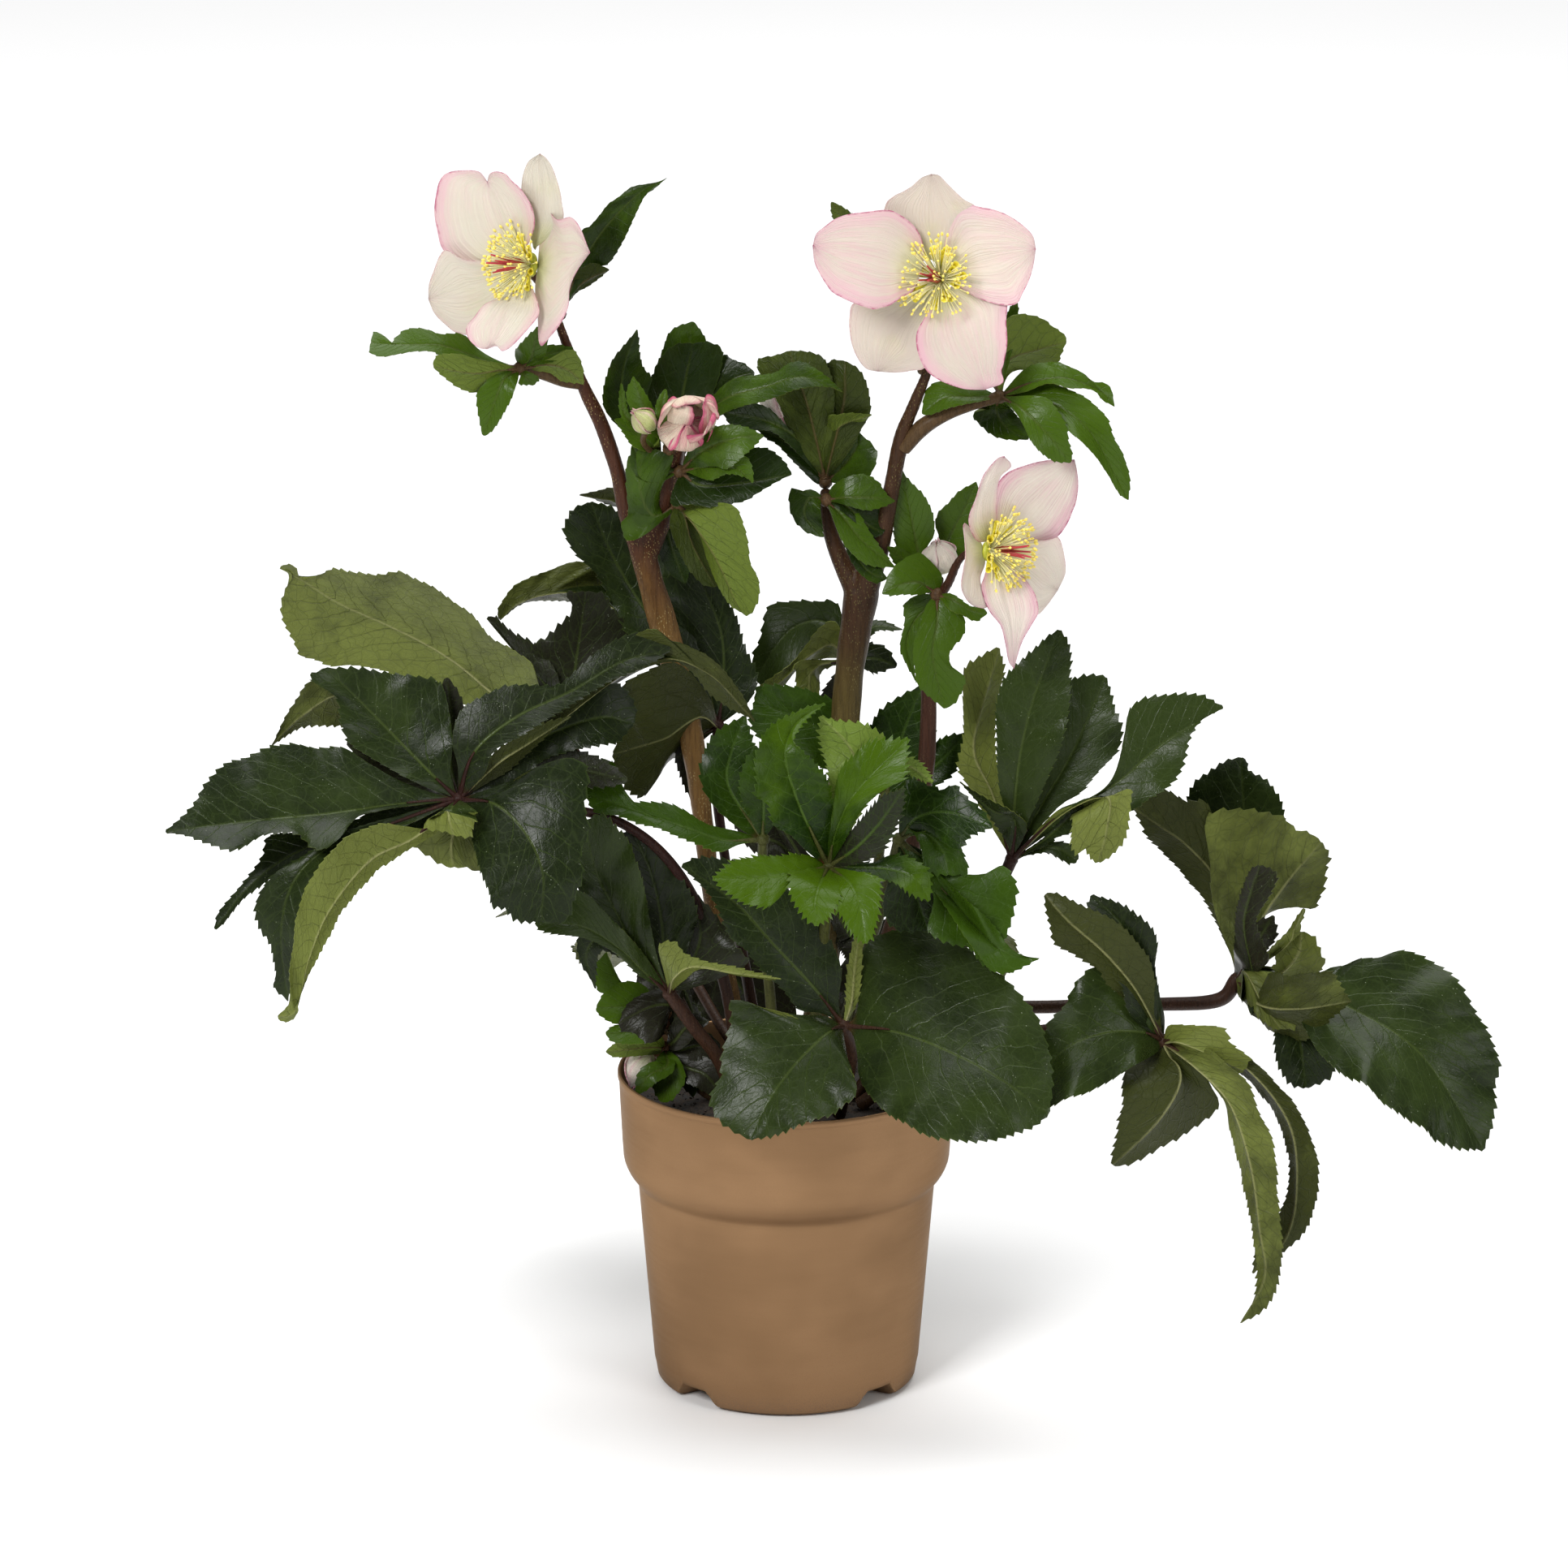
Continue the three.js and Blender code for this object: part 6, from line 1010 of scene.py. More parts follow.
# Each flower's cream is painted light and shade: lighter for the lower flower, which lies in shade, and
# darker for the two that face the lights.
FLOWERS: dict[str, Flower] = {
    "left_flower": Flower(
        middle=(-97, 442, -21), looks=(-0.82, -0.56, 0.12), cream=(0.56, 0.52, 0.425),
        sepals=(
            petal(((-101, 447, -20), (-107, 460, -16), (-111, 473.5, -11)), (-0.55, -0.8, -0.1),
                  ((-102, 441), (-110, 440), (-116, 440), (-121, 442), (-127.5, 448), (-129.5, 455),
                   (-130.4, 462), (-129.5, 469), (-128, 474.5), (-125, 477.3), (-119, 478), (-114, 477.3)),
                  ((-97, 448), (-94.3, 456), (-93.9, 462), (-95, 466.5), (-98, 471), (-101.5, 474),
                   (-104, 476.7), (-107.5, 477.6), (-110, 476.5)), tint=0.7, wave=1.2, lift=0.8),
            petal(((-95, 448, -20), (-92, 464, -26), (-92.5, 484.2, -29)), (-0.85, -0.5, 0.1),
                  ((-97, 455), (-99, 465), (-99.3, 472.5), (-98.4, 477.5), (-96.5, 481.5)),
                  ((-90, 452), (-84, 459), (-84.5, 466), (-86, 473), (-88, 479), (-90.3, 482.5)), tint=0.05,
                  wave=0.3, lift=-0.8),
            petal(((-93, 441, -22), (-85, 446, -36), (-73.5, 446.5, -50)), (-0.85, -0.45, 0.2),
                  ((-92, 452), (-91, 461), (-90, 466), (-86.5, 461), (-84, 459), (-80, 460), (-77, 455.5)),
                  ((-94, 432), (-93, 420), (-91, 410.7), (-87.5, 414.3), (-85, 418.5), (-82.5, 425.5),
                   (-81.3, 433), (-78, 440)), tint=0.5, wave=1.2),
            petal(((-101, 439, -19), (-117, 434, -11), (-134.3, 428.5, -3)), (-0.6, -0.75, -0.2),
                  ((-104, 442), (-113, 443), (-121, 444), (-127, 447.5), (-130, 445), (-132, 440),
                   (-134, 434)),
                  ((-103, 430), (-110, 420), (-118, 415.2), (-124, 415.5), (-128, 418.5), (-132, 423)),
                  tint=0.2, wave=0.5, lift=-0.6),
            petal(((-98, 436, -22), (-105, 424, -33), (-112, 409.2, -40)), (-0.6, -0.75, 0.35),
                  ((-101, 431), (-105, 429.5), (-109.5, 428), (-113, 425.5), (-116, 421.5), (-119.3, 418),
                   (-119.3, 414.5), (-117.5, 411.5), (-115, 409.7)),
                  ((-95, 433), (-92.5, 426), (-92.5, 422), (-95.5, 417.5), (-99, 413.5), (-103.6, 410),
                   (-106.8, 408.7), (-108.4, 410.5)), tint=0.6, wave=1.2, lift=0.6),
        ),
    ),
    "right_flower": Flower(
        middle=(57, 436.5, -10), looks=(-0.36, -0.88, 0.3), cream=(0.54, 0.475, 0.4),
        sepals=(
            petal(((50, 439, -11), (32, 445, -17), (9.6, 449, -20)), (0.25, -0.9, 0.3),
                  ((51, 446), (49.5, 453), (46, 458), (40, 462), (36, 462.7), (29, 461.9), (22.5, 461),
                   (18, 459.3), (14.5, 456.7), (11, 453.6)),
                  ((47, 432), (42.8, 429.4), (38.6, 426.4), (35, 425.3), (31.8, 424.7), (25, 427),
                   (18, 430.5), (15.5, 433), (12.5, 438), (10.3, 443)), tint=0.75, lift=1, wave=0.4),
            petal(((56, 443, -7), (55, 459, -6), (54, 476.3, -6)), (0, -0.93, 0.33),
                  ((48, 446), (37, 457), (37, 464.5), (40, 467.8), (43.6, 469.6), (47, 471.8),
                   (50.3, 474.8)),
                  ((64, 446), (73, 458), (70.5, 464), (66, 466.8), (60.4, 472.2), (57, 475.7)), tint=0.12,
                  lift=-1.2, wave=0.4),
            petal(((60, 440, -9), (76, 444, -12), (93.2, 448, -12)), (-0.15, -0.93, 0.33),
                  ((58.5, 445), (59.3, 451), (60.3, 457), (63, 463.8), (68, 464.8), (73, 463.8),
                   (78, 462.7), (83, 460.6), (88, 457.2), (92, 453)),
                  ((64, 434), (72, 429), (80, 426.5), (86, 426.8), (88.5, 431), (91, 436.5), (92.5, 442.5)),
                  tint=0.65, wave=0.4),
            petal(((60, 432, -11), (67, 414, -19), (74.5, 393.8, -23)), (0, -0.9, 0.15),
                  ((55, 428), (52, 421.5), (49.2, 416), (48.8, 411), (50, 406), (52, 402), (55, 399),
                   (60, 396.3), (67, 394.1)),
                  ((66, 435.8), (71, 436.4), (76, 435), (80, 432.5), (82.7, 428), (82.4, 420), (82.8, 412),
                   (81.5, 404), (80.7, 401), (81.2, 396.5)), tint=0.9, lift=1.2, wave=0.7),
            petal(((54, 432, -7.6), (42, 417, -7), (34, 400.6, -7)), (0, -0.93, 0.33),
                  ((44, 432), (33, 428), (25, 427), (23.5, 422), (23.5, 416.6), (24.6, 410.4), (27, 405),
                   (30, 401.6)),
                  ((56, 424), (52, 412), (52, 402.5), (47, 401), (41, 400.2)), tint=0.15, lift=-1.2,
                  wave=0.4),
        ),
    ),
    "lower_flower": Flower(
        middle=(78, 331.5, -27), looks=(0.84, -0.52, 0.08), cream=(0.67, 0.6, 0.51),
        sepals=(
            petal(((81, 335, -25), (93, 350, -16), (108.2, 366.8, -8)), (0.6, -0.8, -0.05),
                  ((78.5, 342), (78.1, 350), (79, 355.5), (81, 359.5), (85, 363), (92, 365.5),
                   (100, 366.8)),
                  ((90, 334), (99, 335.5), (102.5, 337.5), (105.5, 342), (107.7, 346.8), (109.3, 351),
                   (109.6, 357), (109, 363)), tint=0.9, lift=0.5, wave=0.6),
            petal(((77, 335, -27), (75, 350, -38), (82, 368, -46)), (0.85, -0.5, -0.1),
                  ((72, 335), (69, 342), (70.5, 350), (73, 357.5), (76, 363), (79.5, 367)),
                  ((79, 342), (79, 352), (81, 360), (84.5, 364.5)), tint=0.6, wave=1.2),
            petal(((75, 331, -27), (70, 322, -39), (69, 311, -47)), (0.85, -0.5, 0.2),
                  ((72, 337), (67.6, 342), (67, 335), (67, 328), (66.3, 322), (66, 317), (67.6, 312.8)),
                  ((75, 326), (73.5, 319), (75.4, 309.2), (71.5, 309.3)), tint=0.4, wave=1.2),
            petal(((79, 328, -27), (82, 316, -33), (85, 302, -36), (86, 285, -34)), (0.4, -0.9, 0.1),
                  ((76, 325), (74.3, 320), (73.5, 317), (74.7, 311.5), (77, 306.6), (81, 301.5),
                   (82.7, 295), (84, 288)),
                  ((84, 325), (88.6, 321.4), (91.3, 318.3), (94, 313), (95, 307), (92.5, 302),
                   (89.5, 296.5), (87.5, 290.5)), tint=0.95, wave=0.6, lift=0.6),
            petal(((82, 331, -25), (94, 323, -17), (103, 315.5, -10)), (0.6, -0.8, -0.15),
                  ((90, 334), (99, 335.5), (102.5, 336.5), (104.5, 332.5), (105.7, 326.5), (105.6, 321.5)),
                  ((84, 325), (88, 315), (93, 307), (95.5, 306), (98.5, 309), (101, 312.5)), tint=0.25,
                  lift=-0.5, wave=0.6),
        ),
    ),
}


class Signal:
    """A shader socket that Python's operators work on."""

    def __init__(self, paint: "Paint", socket: bpy.types.NodeSocket) -> None:
        """Keeps the socket and the paint that its nodes belong to."""
        self.paint = paint
        self.socket = socket

    def _with(self, operation: str, a: Any, b: Any) -> "Signal":
        """Returns the result of a Math node on two values."""
        return self.paint.node("ShaderNodeMath", {"operation": operation}, {0: a, 1: b})

    def __add__(self, other: Any) -> "Signal":
        """Returns self + other."""
        return self._with("ADD", self, other)

    __radd__ = __add__

    def __mul__(self, other: Any) -> "Signal":
        """Returns self * other."""
        return self._with("MULTIPLY", self, other)

    __rmul__ = __mul__

    def __sub__(self, other: Any) -> "Signal":
        """Returns self - other."""
        return self._with("SUBTRACT", self, other)

    def __rsub__(self, other: Any) -> "Signal":
        """Returns other - self."""
        return self._with("SUBTRACT", other, self)

    def __abs__(self) -> "Signal":
        """Returns the size of self, without its sign."""
        return self.paint.node("ShaderNodeMath", {"operation": "ABSOLUTE"}, {0: self})

    def fraction(self) -> "Signal":
        """Returns what follows the point."""
        return self.paint.node("ShaderNodeMath", {"operation": "FRACT"}, {0: self})

    def largest(self, other: Any) -> "Signal":
        """Returns the larger of two values."""
        return self._with("MAXIMUM", self, other)


class Paint:
    """One procedural material and the nodes that make it."""

    def __init__(self, name: str) -> None:
        """Starts an empty material of that name.

        Args:
            name: What it is called.
        """
        self.material = bpy.data.materials.new(name)
        self.material.use_nodes = True
        self.tree = self.material.node_tree
        self.tree.nodes.clear()

    def node(
        self,
        kind: str,
        settings: Union[Mapping[str, Any], None] = None,
        values: Union[Mapping[Union[int, str], Any], None] = None,
        output: Union[int, str] = 0,
    ) -> Signal:
        """Adds a node.

        Args:
            kind: The node's type.
            settings: Its own properties, or the stops of its ramp as (place, colour).
            values: What goes into its sockets, a number, a colour or a Signal.
            output: The socket that is returned.

        Returns:
            The chosen output.
        """
        made = self.tree.nodes.new(kind)
        for name, setting in (settings or {}).items():
            if name == "stops":
                elements = made.color_ramp.elements
                while len(elements) < len(setting):
                    elements.new(0.5)
                for element, (place, colour) in zip(elements, setting):
                    element.position = place
                    element.color = (*colour, 1)
            else:
                setattr(made, name, setting)
        for key, value in (values or {}).items():
            socket = made.inputs[key]
            if isinstance(value, Signal):
                self.tree.links.new(value.socket, socket)
            elif isinstance(value, tuple) and socket.type == "RGBA":
                socket.default_value = (*value, 1)
            else:
                socket.default_value = value
        return Signal(self, made.outputs[output])

    def place(self) -> Signal:
        """Returns Object coordinates, in metres."""
        return self.node("ShaderNodeTexCoord", output="Object")

    def attribute(self, name: str) -> tuple[Signal, Signal, Signal]:
        """Returns the three numbers of a mesh attribute."""
        vector = self.node("ShaderNodeAttribute", {"attribute_name": name}, output="Vector")
        return self.parts(vector)

    def parts(self, vector: Signal) -> tuple[Signal, Signal, Signal]:
        """Returns a vector's x, y and z.

        Args:
            vector: The vector.

        Returns:
            The three numbers.
        """
        x = self.node("ShaderNodeSeparateXYZ", values={0: vector})
        outputs = x.socket.node.outputs
        return x, Signal(self, outputs[1]), Signal(self, outputs[2])

    def vector(self, x: Any, y: Any, z: Any) -> Signal:
        """Returns a vector of three values."""
        return self.node("ShaderNodeCombineXYZ", values={0: x, 1: y, 2: z})

    def scaled(self, vector: Signal, scale: Triple) -> Signal:
        """Returns a vector stretched along each axis."""
        return self.node("ShaderNodeVectorMath", {"operation": "MULTIPLY"}, {0: vector, 1: scale})

    def noise(self, vector: Signal, scale: float, detail: float = 2.0, rough: float = 0.5) -> Signal:
        """Returns soft noise from 0 to 1."""
        values = {"Vector": vector, "Scale": scale, "Detail": detail, "Roughness": rough}
        return self.node("ShaderNodeTexNoise", values=values)

    def cells(self, vector: Signal, scale: float, edges: bool = True) -> Signal:
        """Returns the distance from the walls of scattered cells, or from their centres."""
        feature = "DISTANCE_TO_EDGE" if edges else "F1"
        return self.node("ShaderNodeTexVoronoi", {"feature": feature}, {"Vector": vector, "Scale": scale})

    def ease(self, value: Signal, low: float, high: float, start: float = 0, end: float = 1) -> Signal:
        """Returns a value eased from start at low to end at high."""
        values = {"Value": value, "From Min": low, "From Max": high, "To Min": start, "To Max": end}
        return self.node("ShaderNodeMapRange", {"interpolation_type": "SMOOTHSTEP"}, values)

    def mix(self, a: Any, b: Any, factor: Any, blend: str = "MIX") -> Signal:
        """Returns two colours mixed by a factor."""
        settings = {"data_type": "RGBA", "blend_type": blend}
        return self.node("ShaderNodeMix", settings, {0: factor, 6: a, 7: b}, 2)

    def bump(self, height: Signal, distance: float, strength: float = 1.0) -> Signal:
        """Returns a normal bent by a height, which is worth `distance` metres."""
        values = {"Height": height, "Distance": distance, "Strength": strength}
        return self.node("ShaderNodeBump", values=values)

    def finish(self, **values: Any) -> bpy.types.Material:
        """Ends the material in one Principled shader.

        Args:
            values: The shader's sockets, their names in lower case with _ for a space.

        Returns:
            The finished material.
        """
        named = {key.replace("_", " ").title().replace("Ior", "IOR"): v for key, v in values.items()}
        shader = self.node("ShaderNodeBsdfPrincipled", values=named)
        self.node_output(shader)
        return self.material

    def node_output(self, shader: Signal) -> None:
        """Leads a shader to the material's surface."""
        end = self.tree.nodes.new("ShaderNodeOutputMaterial")
        self.tree.links.new(shader.socket, end.inputs["Surface"])


@dataclass(frozen=True)
class LeafFinish:
    """The colours and gloss of one age of leaf, above and below.

    Attributes:
        name: What its materials are called.
        deep: The darkest green of the upper side.
        fresh: The green it varies to.
        vein: Its veins.
        midrib: Its midrib, above.
        under: The lower side.
        under_rib: The blade's root.
        rib_below: The midrib, below.
        bronze: What a dark blade turns to; the blades with the darkest tints take it, partly as painted
            shade.
        flush: How much fresher it is towards its tip.
        roughness: The upper side's.
        network: How strongly the small veins show.
        dust: How much dust lies on it.
        speck: The dust's colour.
    """

    name: str
    deep: Colour
    fresh: Colour
    vein: Colour
    midrib: Colour
    under: Colour
    under_rib: Colour
    rib_below: Colour = (0.24, 0.24, 0.10)
    bronze: Colour = (0.014, 0.013, 0.008)
    flush: float = 0.0
    roughness: float = 0.25
    network: float = 0.3
    dust: float = 1.0
    speck: Colour = (0.26, 0.29, 0.2)

    def _surface(self, p: Paint) -> tuple[Signal, ...]:
        """Returns the maps that both sides share.

        Args:
            p: The paint that the nodes go into.

        Returns:
            Along, across, the flat place, the midrib, the side veins, the network and the tint.
        """
        along, across, seed = p.attribute("blade")
        length, reach, order = p.attribute("span")
        flat = p.vector(length, reach, seed * 90)
        wobble = p.noise(flat, 0.13, 3) - 0.5
        off = abs((order + wobble * 0.5).fraction() - 0.5)
        veins = p.ease(off, 0.0, 0.055, 1, 0) * (1.05 - 0.8 * abs(across))
        bent = p.vector(length + wobble * 5, reach + wobble * 5, seed * 90)
        net = p.ease(p.cells(bent, 0.2), 0.0, 0.075, 1, 0)
        fine = p.ease(p.cells(bent, 0.62), 0.0, 0.12, 1, 0)
        net = net.largest(fine * 0.4)
        rib = p.ease(abs(reach), 0.2, 0.85, 1, 0) * (1.1 - along)
        tint = p.attribute("grow")[0]
        return along, across, flat, rib, veins, net, tint

    def upper(self) -> bpy.types.Material:
        """Returns the material of the upper side.

        Returns:
            The material.
        """
        p = Paint(self.name + "_upper")
        along, across, flat, rib, veins, net, tint = self._surface(p)
        clouds = p.noise(flat, 0.05, 4, 0.6) + along * self.flush
        # The blade's tint lightens or darkens it here, partly its own tone and partly painted light and
        # shade.
        colour = p.mix(self.deep, self.fresh, p.ease(clouds + tint * 0.6, 0.32, 0.85))
        colour = p.mix(colour, self.bronze, p.ease(tint + clouds * 0.3, -0.2, -0.9))
        colour = p.mix(colour, self.vein, net * self.network * 0.6)
        colour = p.mix(colour, self.vein, veins * self.network * 1.6)
        colour = p.mix(colour, self.midrib, rib * 0.85)
        edge = p.ease(abs(across), 0.965, 1.0)
        colour = p.mix(colour, self.vein, edge * 0.35)
        colour = p.mix(colour, self.under_rib, p.ease(along, 0.0, 0.07, 0.8, 0))
        specks = p.ease(p.cells(flat, 0.7, edges=False), 0.05, 0.16, 1, 0)
        where = p.ease(p.noise(flat, 0.21, 1), 0.55, 0.62)
        colour = p.mix(colour, self.speck, specks * where * self.dust * 0.6)
        haze = p.noise(flat, 0.08, 5, 0.7)
        roughness = p.ease(haze, 0.25, 0.8, self.roughness - 0.06, self.roughness + 0.16) + net * 0.06
        pebble = p.cells(flat, 1.25, edges=False)
        swells = 0.9 * p.noise(flat, 0.16, 2) + 0.2 * p.noise(flat, 0.5, 3)
        height = swells - 0.08 * pebble - 0.09 * net - 0.35 * veins - 0.5 * rib
        return p.finish(
            base_color=colour,
            roughness=roughness,
            normal=p.bump(height, LEAF_RELIEF),
            specular_ior_level=0.13,
        )

    def lower(self) -> bpy.types.Material:
        """Returns the material of the lower side.

        Returns:
            The material.
        """
        p = Paint(self.name + "_lower")
        along, _, flat, rib, veins, net, tint = self._surface(p)
        clouds = p.noise(flat, 0.06, 4, 0.6)
        pale = tuple(c * 1.6 for c in self.under)
        dim = tuple(c * 0.42 for c in self.under)
        # The blade's tint moves the underside between dim and pale, partly its own tone and partly painted
        # light and shade.
        colour = p.mix(dim, pale, p.ease(clouds + tint * 0.6, 0.25, 0.8))
        colour = p.mix(colour, self.deep, net * 0.2)
        colour = p.mix(colour, dim, veins * 0.45)
        colour = p.mix(colour, self.rib_below, rib)
        colour = p.mix(colour, self.under_rib, p.ease(along, 0.0, 0.1, 0.8, 0))
        roughness = p.ease(p.noise(flat, 0.3, 3), 0.2, 0.8, 0.33, 0.46)
        height = 0.4 * p.noise(flat, 0.5, 3) + 0.4 * net + 0.7 * veins + rib
        return p.finish(
            base_color=colour,
            roughness=roughness,
            normal=p.bump(height, UNDER_RELIEF),
            specular_ior_level=0.12,
        )


@dataclass(frozen=True)
class SepalFinish:
    """The colours of the flowers' sepals."""

    cream: Colour = (0.60, 0.56, 0.465)
    green: Colour = (0.52, 0.54, 0.27)
    blush: Colour = (0.60, 0.35, 0.40)
    margin: Colour = (0.34, 0.06, 0.14)

    def make(self, name: str) -> bpy.types.Material:
        """Makes the sepals' material, whose attribute grow says how pink each is.

        Args:
            name: What it is called.

        Returns:
            The material.
        """
        p = Paint(name)
        along, across, seed = p.attribute("blade")
        length, reach, _ = p.attribute("span")
        pink = p.attribute("grow")[0]
        flat = p.vector(length, reach, seed * 90)
        fan = p.vector(along * 2.2, across * 8 + 0.8 * p.noise(flat, 0.1), seed * 40)
        streaks = p.noise(fan, 1.6, 5, 0.65)
        clouds = p.noise(flat, 0.05, 3)
        young = p.ease(clouds, 0.45, 0.75) * p.ease(pink, 0.05, 0.5, 0.55, 0.0)
        colour = p.mix(self.cream, self.green, p.ease(along, 0.05, 0.42, 0.8, 0.0).largest(young))
        flush = p.ease(clouds + along * 0.2, 0.35, 0.8) * p.ease(streaks, 0.35, 0.65, 0.15, 1)
        colour = p.mix(colour, self.blush, flush * (0.2 + pink) * 0.55)
        rim = p.ease(abs(across) + clouds * 0.25, 0.7, 1.14).largest(p.ease(along, 0.82, 1.0) * 0.8)
        colour = p.mix(colour, self.blush, rim * p.ease(streaks, 0.25, 0.65, 0.45, 1) * pink * 1.3)
        edge = p.ease(abs(across), 0.94, 1.0).largest(p.ease(along, 0.965, 1.0))
        spots = p.ease(p.noise(flat, 0.5, 3, 0.7), 0.42, 0.6, 0.2, 1)
        colour = p.mix(colour, self.margin, edge * spots * (0.3 + pink))
        veins = p.ease(p.noise(p.vector(along * 1.2, across * 26, seed * 9), 1, 2), 0.35, 0.65)
        height = veins * 0.6 + p.noise(flat, 0.5, 4) * 0.5
        return p.finish(
            base_color=colour,
            roughness=p.ease(streaks, 0.2, 0.8, 0.42, 0.58),
            normal=p.bump(height, SEPAL_RELIEF),
            subsurface_weight=0.2,
            subsurface_radius=(0.003, 0.0025, 0.002),
            subsurface_scale=0.5,
        )


@dataclass(frozen=True)
class StemFinish:
    """The skin of a stem or petiole, which changes with height."""

    name: str
    low: Colour
    high: Colour
    speckle: Colour
    change: tuple[float, float]
    roughness: float = 0.42
    spots: float = 0.6

    def make(self) -> bpy.types.Material:
        """Makes the material.

        Returns:
            The material.
        """
        p = Paint(self.name)
        place = p.place()
        height = p.parts(place)[2]
        long = p.noise(p.scaled(place, (900, 900, 60)), 1, 4, 0.65)
        patches = p.noise(p.scaled(place, (120, 120, 40)), 1, 3)
        mixed = p.ease(height + patches * 0.03, self.change[0] * MM, self.change[1] * MM)
        colour = p.mix(self.low, self.high, mixed)
        dark = p.mix(colour, (0.35, 0.32, 0.3), 1.0, "MULTIPLY")
        colour = p.mix(colour, dark, p.ease(long, 0.35, 0.75) * 0.75)
        spots = p.ease(p.cells(p.scaled(place, (1500, 1500, 700)), 1, edges=False), 0.12, 0.34, 1, 0)
        where = p.ease(p.noise(p.scaled(place, (160, 160, 90)), 1, 2), 0.42, 0.6)
        colour = p.mix(colour, self.speckle, spots * where * self.spots)
        relief = long + spots * 0.4
        return p.finish(
            base_color=colour,
            roughness=p.ease(patches, 0.2, 0.8, self.roughness - 0.06, self.roughness + 0.14),
            normal=p.bump(relief, STEM_RELIEF),
            specular_ior_level=0.16,
        )


@dataclass(frozen=True)
class PotFinish:
    """The pot's satin bronze skin."""

    name: str = "pot_bronze"
    bright: Colour = (0.295, 0.174, 0.089)
    dim: Colour = (0.215, 0.124, 0.061)
    grime: Colour = (0.16, 0.12, 0.09)

    def make(self) -> bpy.types.Material:
        """Makes the material.

        Returns:
            The material.
        """
        p = Paint(self.name)
        place = p.place()
        soft = p.noise(p.scaled(place, (14, 14, 22)), 1, 3)
        grain = p.noise(place, 2600, 3, 0.7)
        flow = p.noise(p.scaled(place, (40, 40, 520)), 1, 3, 0.6)
        colour = p.mix(self.dim, self.bright, p.ease(soft, 0.3, 0.7))
        colour = p.mix(colour, self.dim, p.ease(grain, 0.5, 0.75) * 0.35)
        height = p.parts(place)[2]
        dust = p.ease(height, 0.0, 0.012, 1, 0) * p.ease(grain, 0.4, 0.6)
        colour = p.mix(colour, self.grime, dust * 0.5)
        return p.finish(
            base_color=colour,
            metallic=p.ease(soft, 0.2, 0.8, 0.72, 0.8),
            roughness=p.ease(flow * 0.5 + grain * 0.5, 0.3, 0.7, 0.36, 0.46),
            normal=p.bump(grain * 0.6 + flow * 0.5, POT_RELIEF),
            coat_weight=0.02,
            coat_roughness=0.35,
            specular_ior_level=0.3,
            specular_tint=(0.52, 0.46, 0.4),
        )


@dataclass(frozen=True)
class SoilFinish:
    """Damp dark peat."""

    name: str = "soil_peat"
    dark: Colour = (0.008, 0.006, 0.004)
    light: Colour = (0.05, 0.032, 0.02)
    fibre: Colour = (0.16, 0.10, 0.05)

    def make(self) -> bpy.types.Material:
        """Makes the material.

        Returns:
            The material.
        """
        p = Paint(self.name)
        place = p.place()
        lumps = p.noise(place, 260, 5, 0.7)
        fibre = p.noise(p.scaled(place, (300, 1400, 700)), 1, 3, 0.7)
        colour = p.mix(self.dark, self.light, p.ease(lumps, 0.35, 0.75))
        colour = p.mix(colour, self.fibre, p.ease(fibre, 0.62, 0.78) * 0.6)
        return p.finish(
            base_color=colour,
            roughness=p.ease(lumps, 0.3, 0.7, 0.7, 0.95),
            normal=p.bump(lumps + fibre * 0.4, SOIL_RELIEF),
        )


@dataclass(frozen=True)
class SmallFinish:
    """The skin of a small part of a flower, coloured from its base to its tip.

    Attributes:
        name: What it is called.
        base: The colour where its attribute `grow` is 0.
        tip: The colour where it is 1.
        roughness: Its middle roughness.
        mottle: How much the colour varies.
        soft: How much light goes into it.
    """

    name: str
    base: Colour
    tip: Colour
    roughness: float
    mottle: float = 0.3
    soft: float = 0.0

    def make(self) -> bpy.types.Material:
        """Makes the material.

        Returns:
            The material.
        """
        p = Paint(self.name)
        grow = p.attribute("grow")[0]
        place = p.place()
        grain = p.noise(place, 1400, 3, 0.6)
        colour = p.mix(self.base, self.tip, p.ease(grow, 0.05, 0.95))
        dark = p.mix(colour, (0.5, 0.45, 0.4), 1.0, "MULTIPLY")
        colour = p.mix(colour, dark, p.ease(grain, 0.4, 0.8) * self.mottle)
        return p.finish(
            base_color=colour,
            roughness=p.ease(grain, 0.2, 0.8, self.roughness - 0.08, self.roughness + 0.1),
            normal=p.bump(grain, SMALL_RELIEF),
            subsurface_weight=self.soft,
            subsurface_radius=(0.002, 0.0015, 0.0008),
            subsurface_scale=0.5,
        )


@dataclass(frozen=True)
class FloorFinish:
    """Pale paper, which glows a little far from the pot."""

    name: str = "floor_paper"
    dim: Colour = (0.9, 0.9, 0.9)
    bright: Colour = (0.93, 0.93, 0.93)
    glow: float = 0.3

    def make(self) -> bpy.types.Material:
        """Makes the material.

        Returns:
            The material.
        """
        p = Paint(self.name)
        grain = p.noise(p.place(), 3, 2)
        across, away, _ = p.parts(p.place())
        far = p.ease(across * across + away * away, 0.4, 6.0)
        return p.finish(
            base_color=p.mix(self.dim, self.bright, grain),
            roughness=0.7,
            emission_color=p.mix((0.0, 0.0, 0.0), (1.0, 1.0, 1.0), far),
            emission_strength=self.glow,
        )


BLADE_CUTS = (-1, -0.94, -0.84, -0.68, -0.5, -0.32, -0.16, -0.05)
CUTS = np.array((*BLADE_CUTS, 0, *(-c for c in reversed(BLADE_CUTS))))
SEPAL_CUTS = np.linspace(-1, 1, 17)
SHARP_ANGLE = math.radians(55)

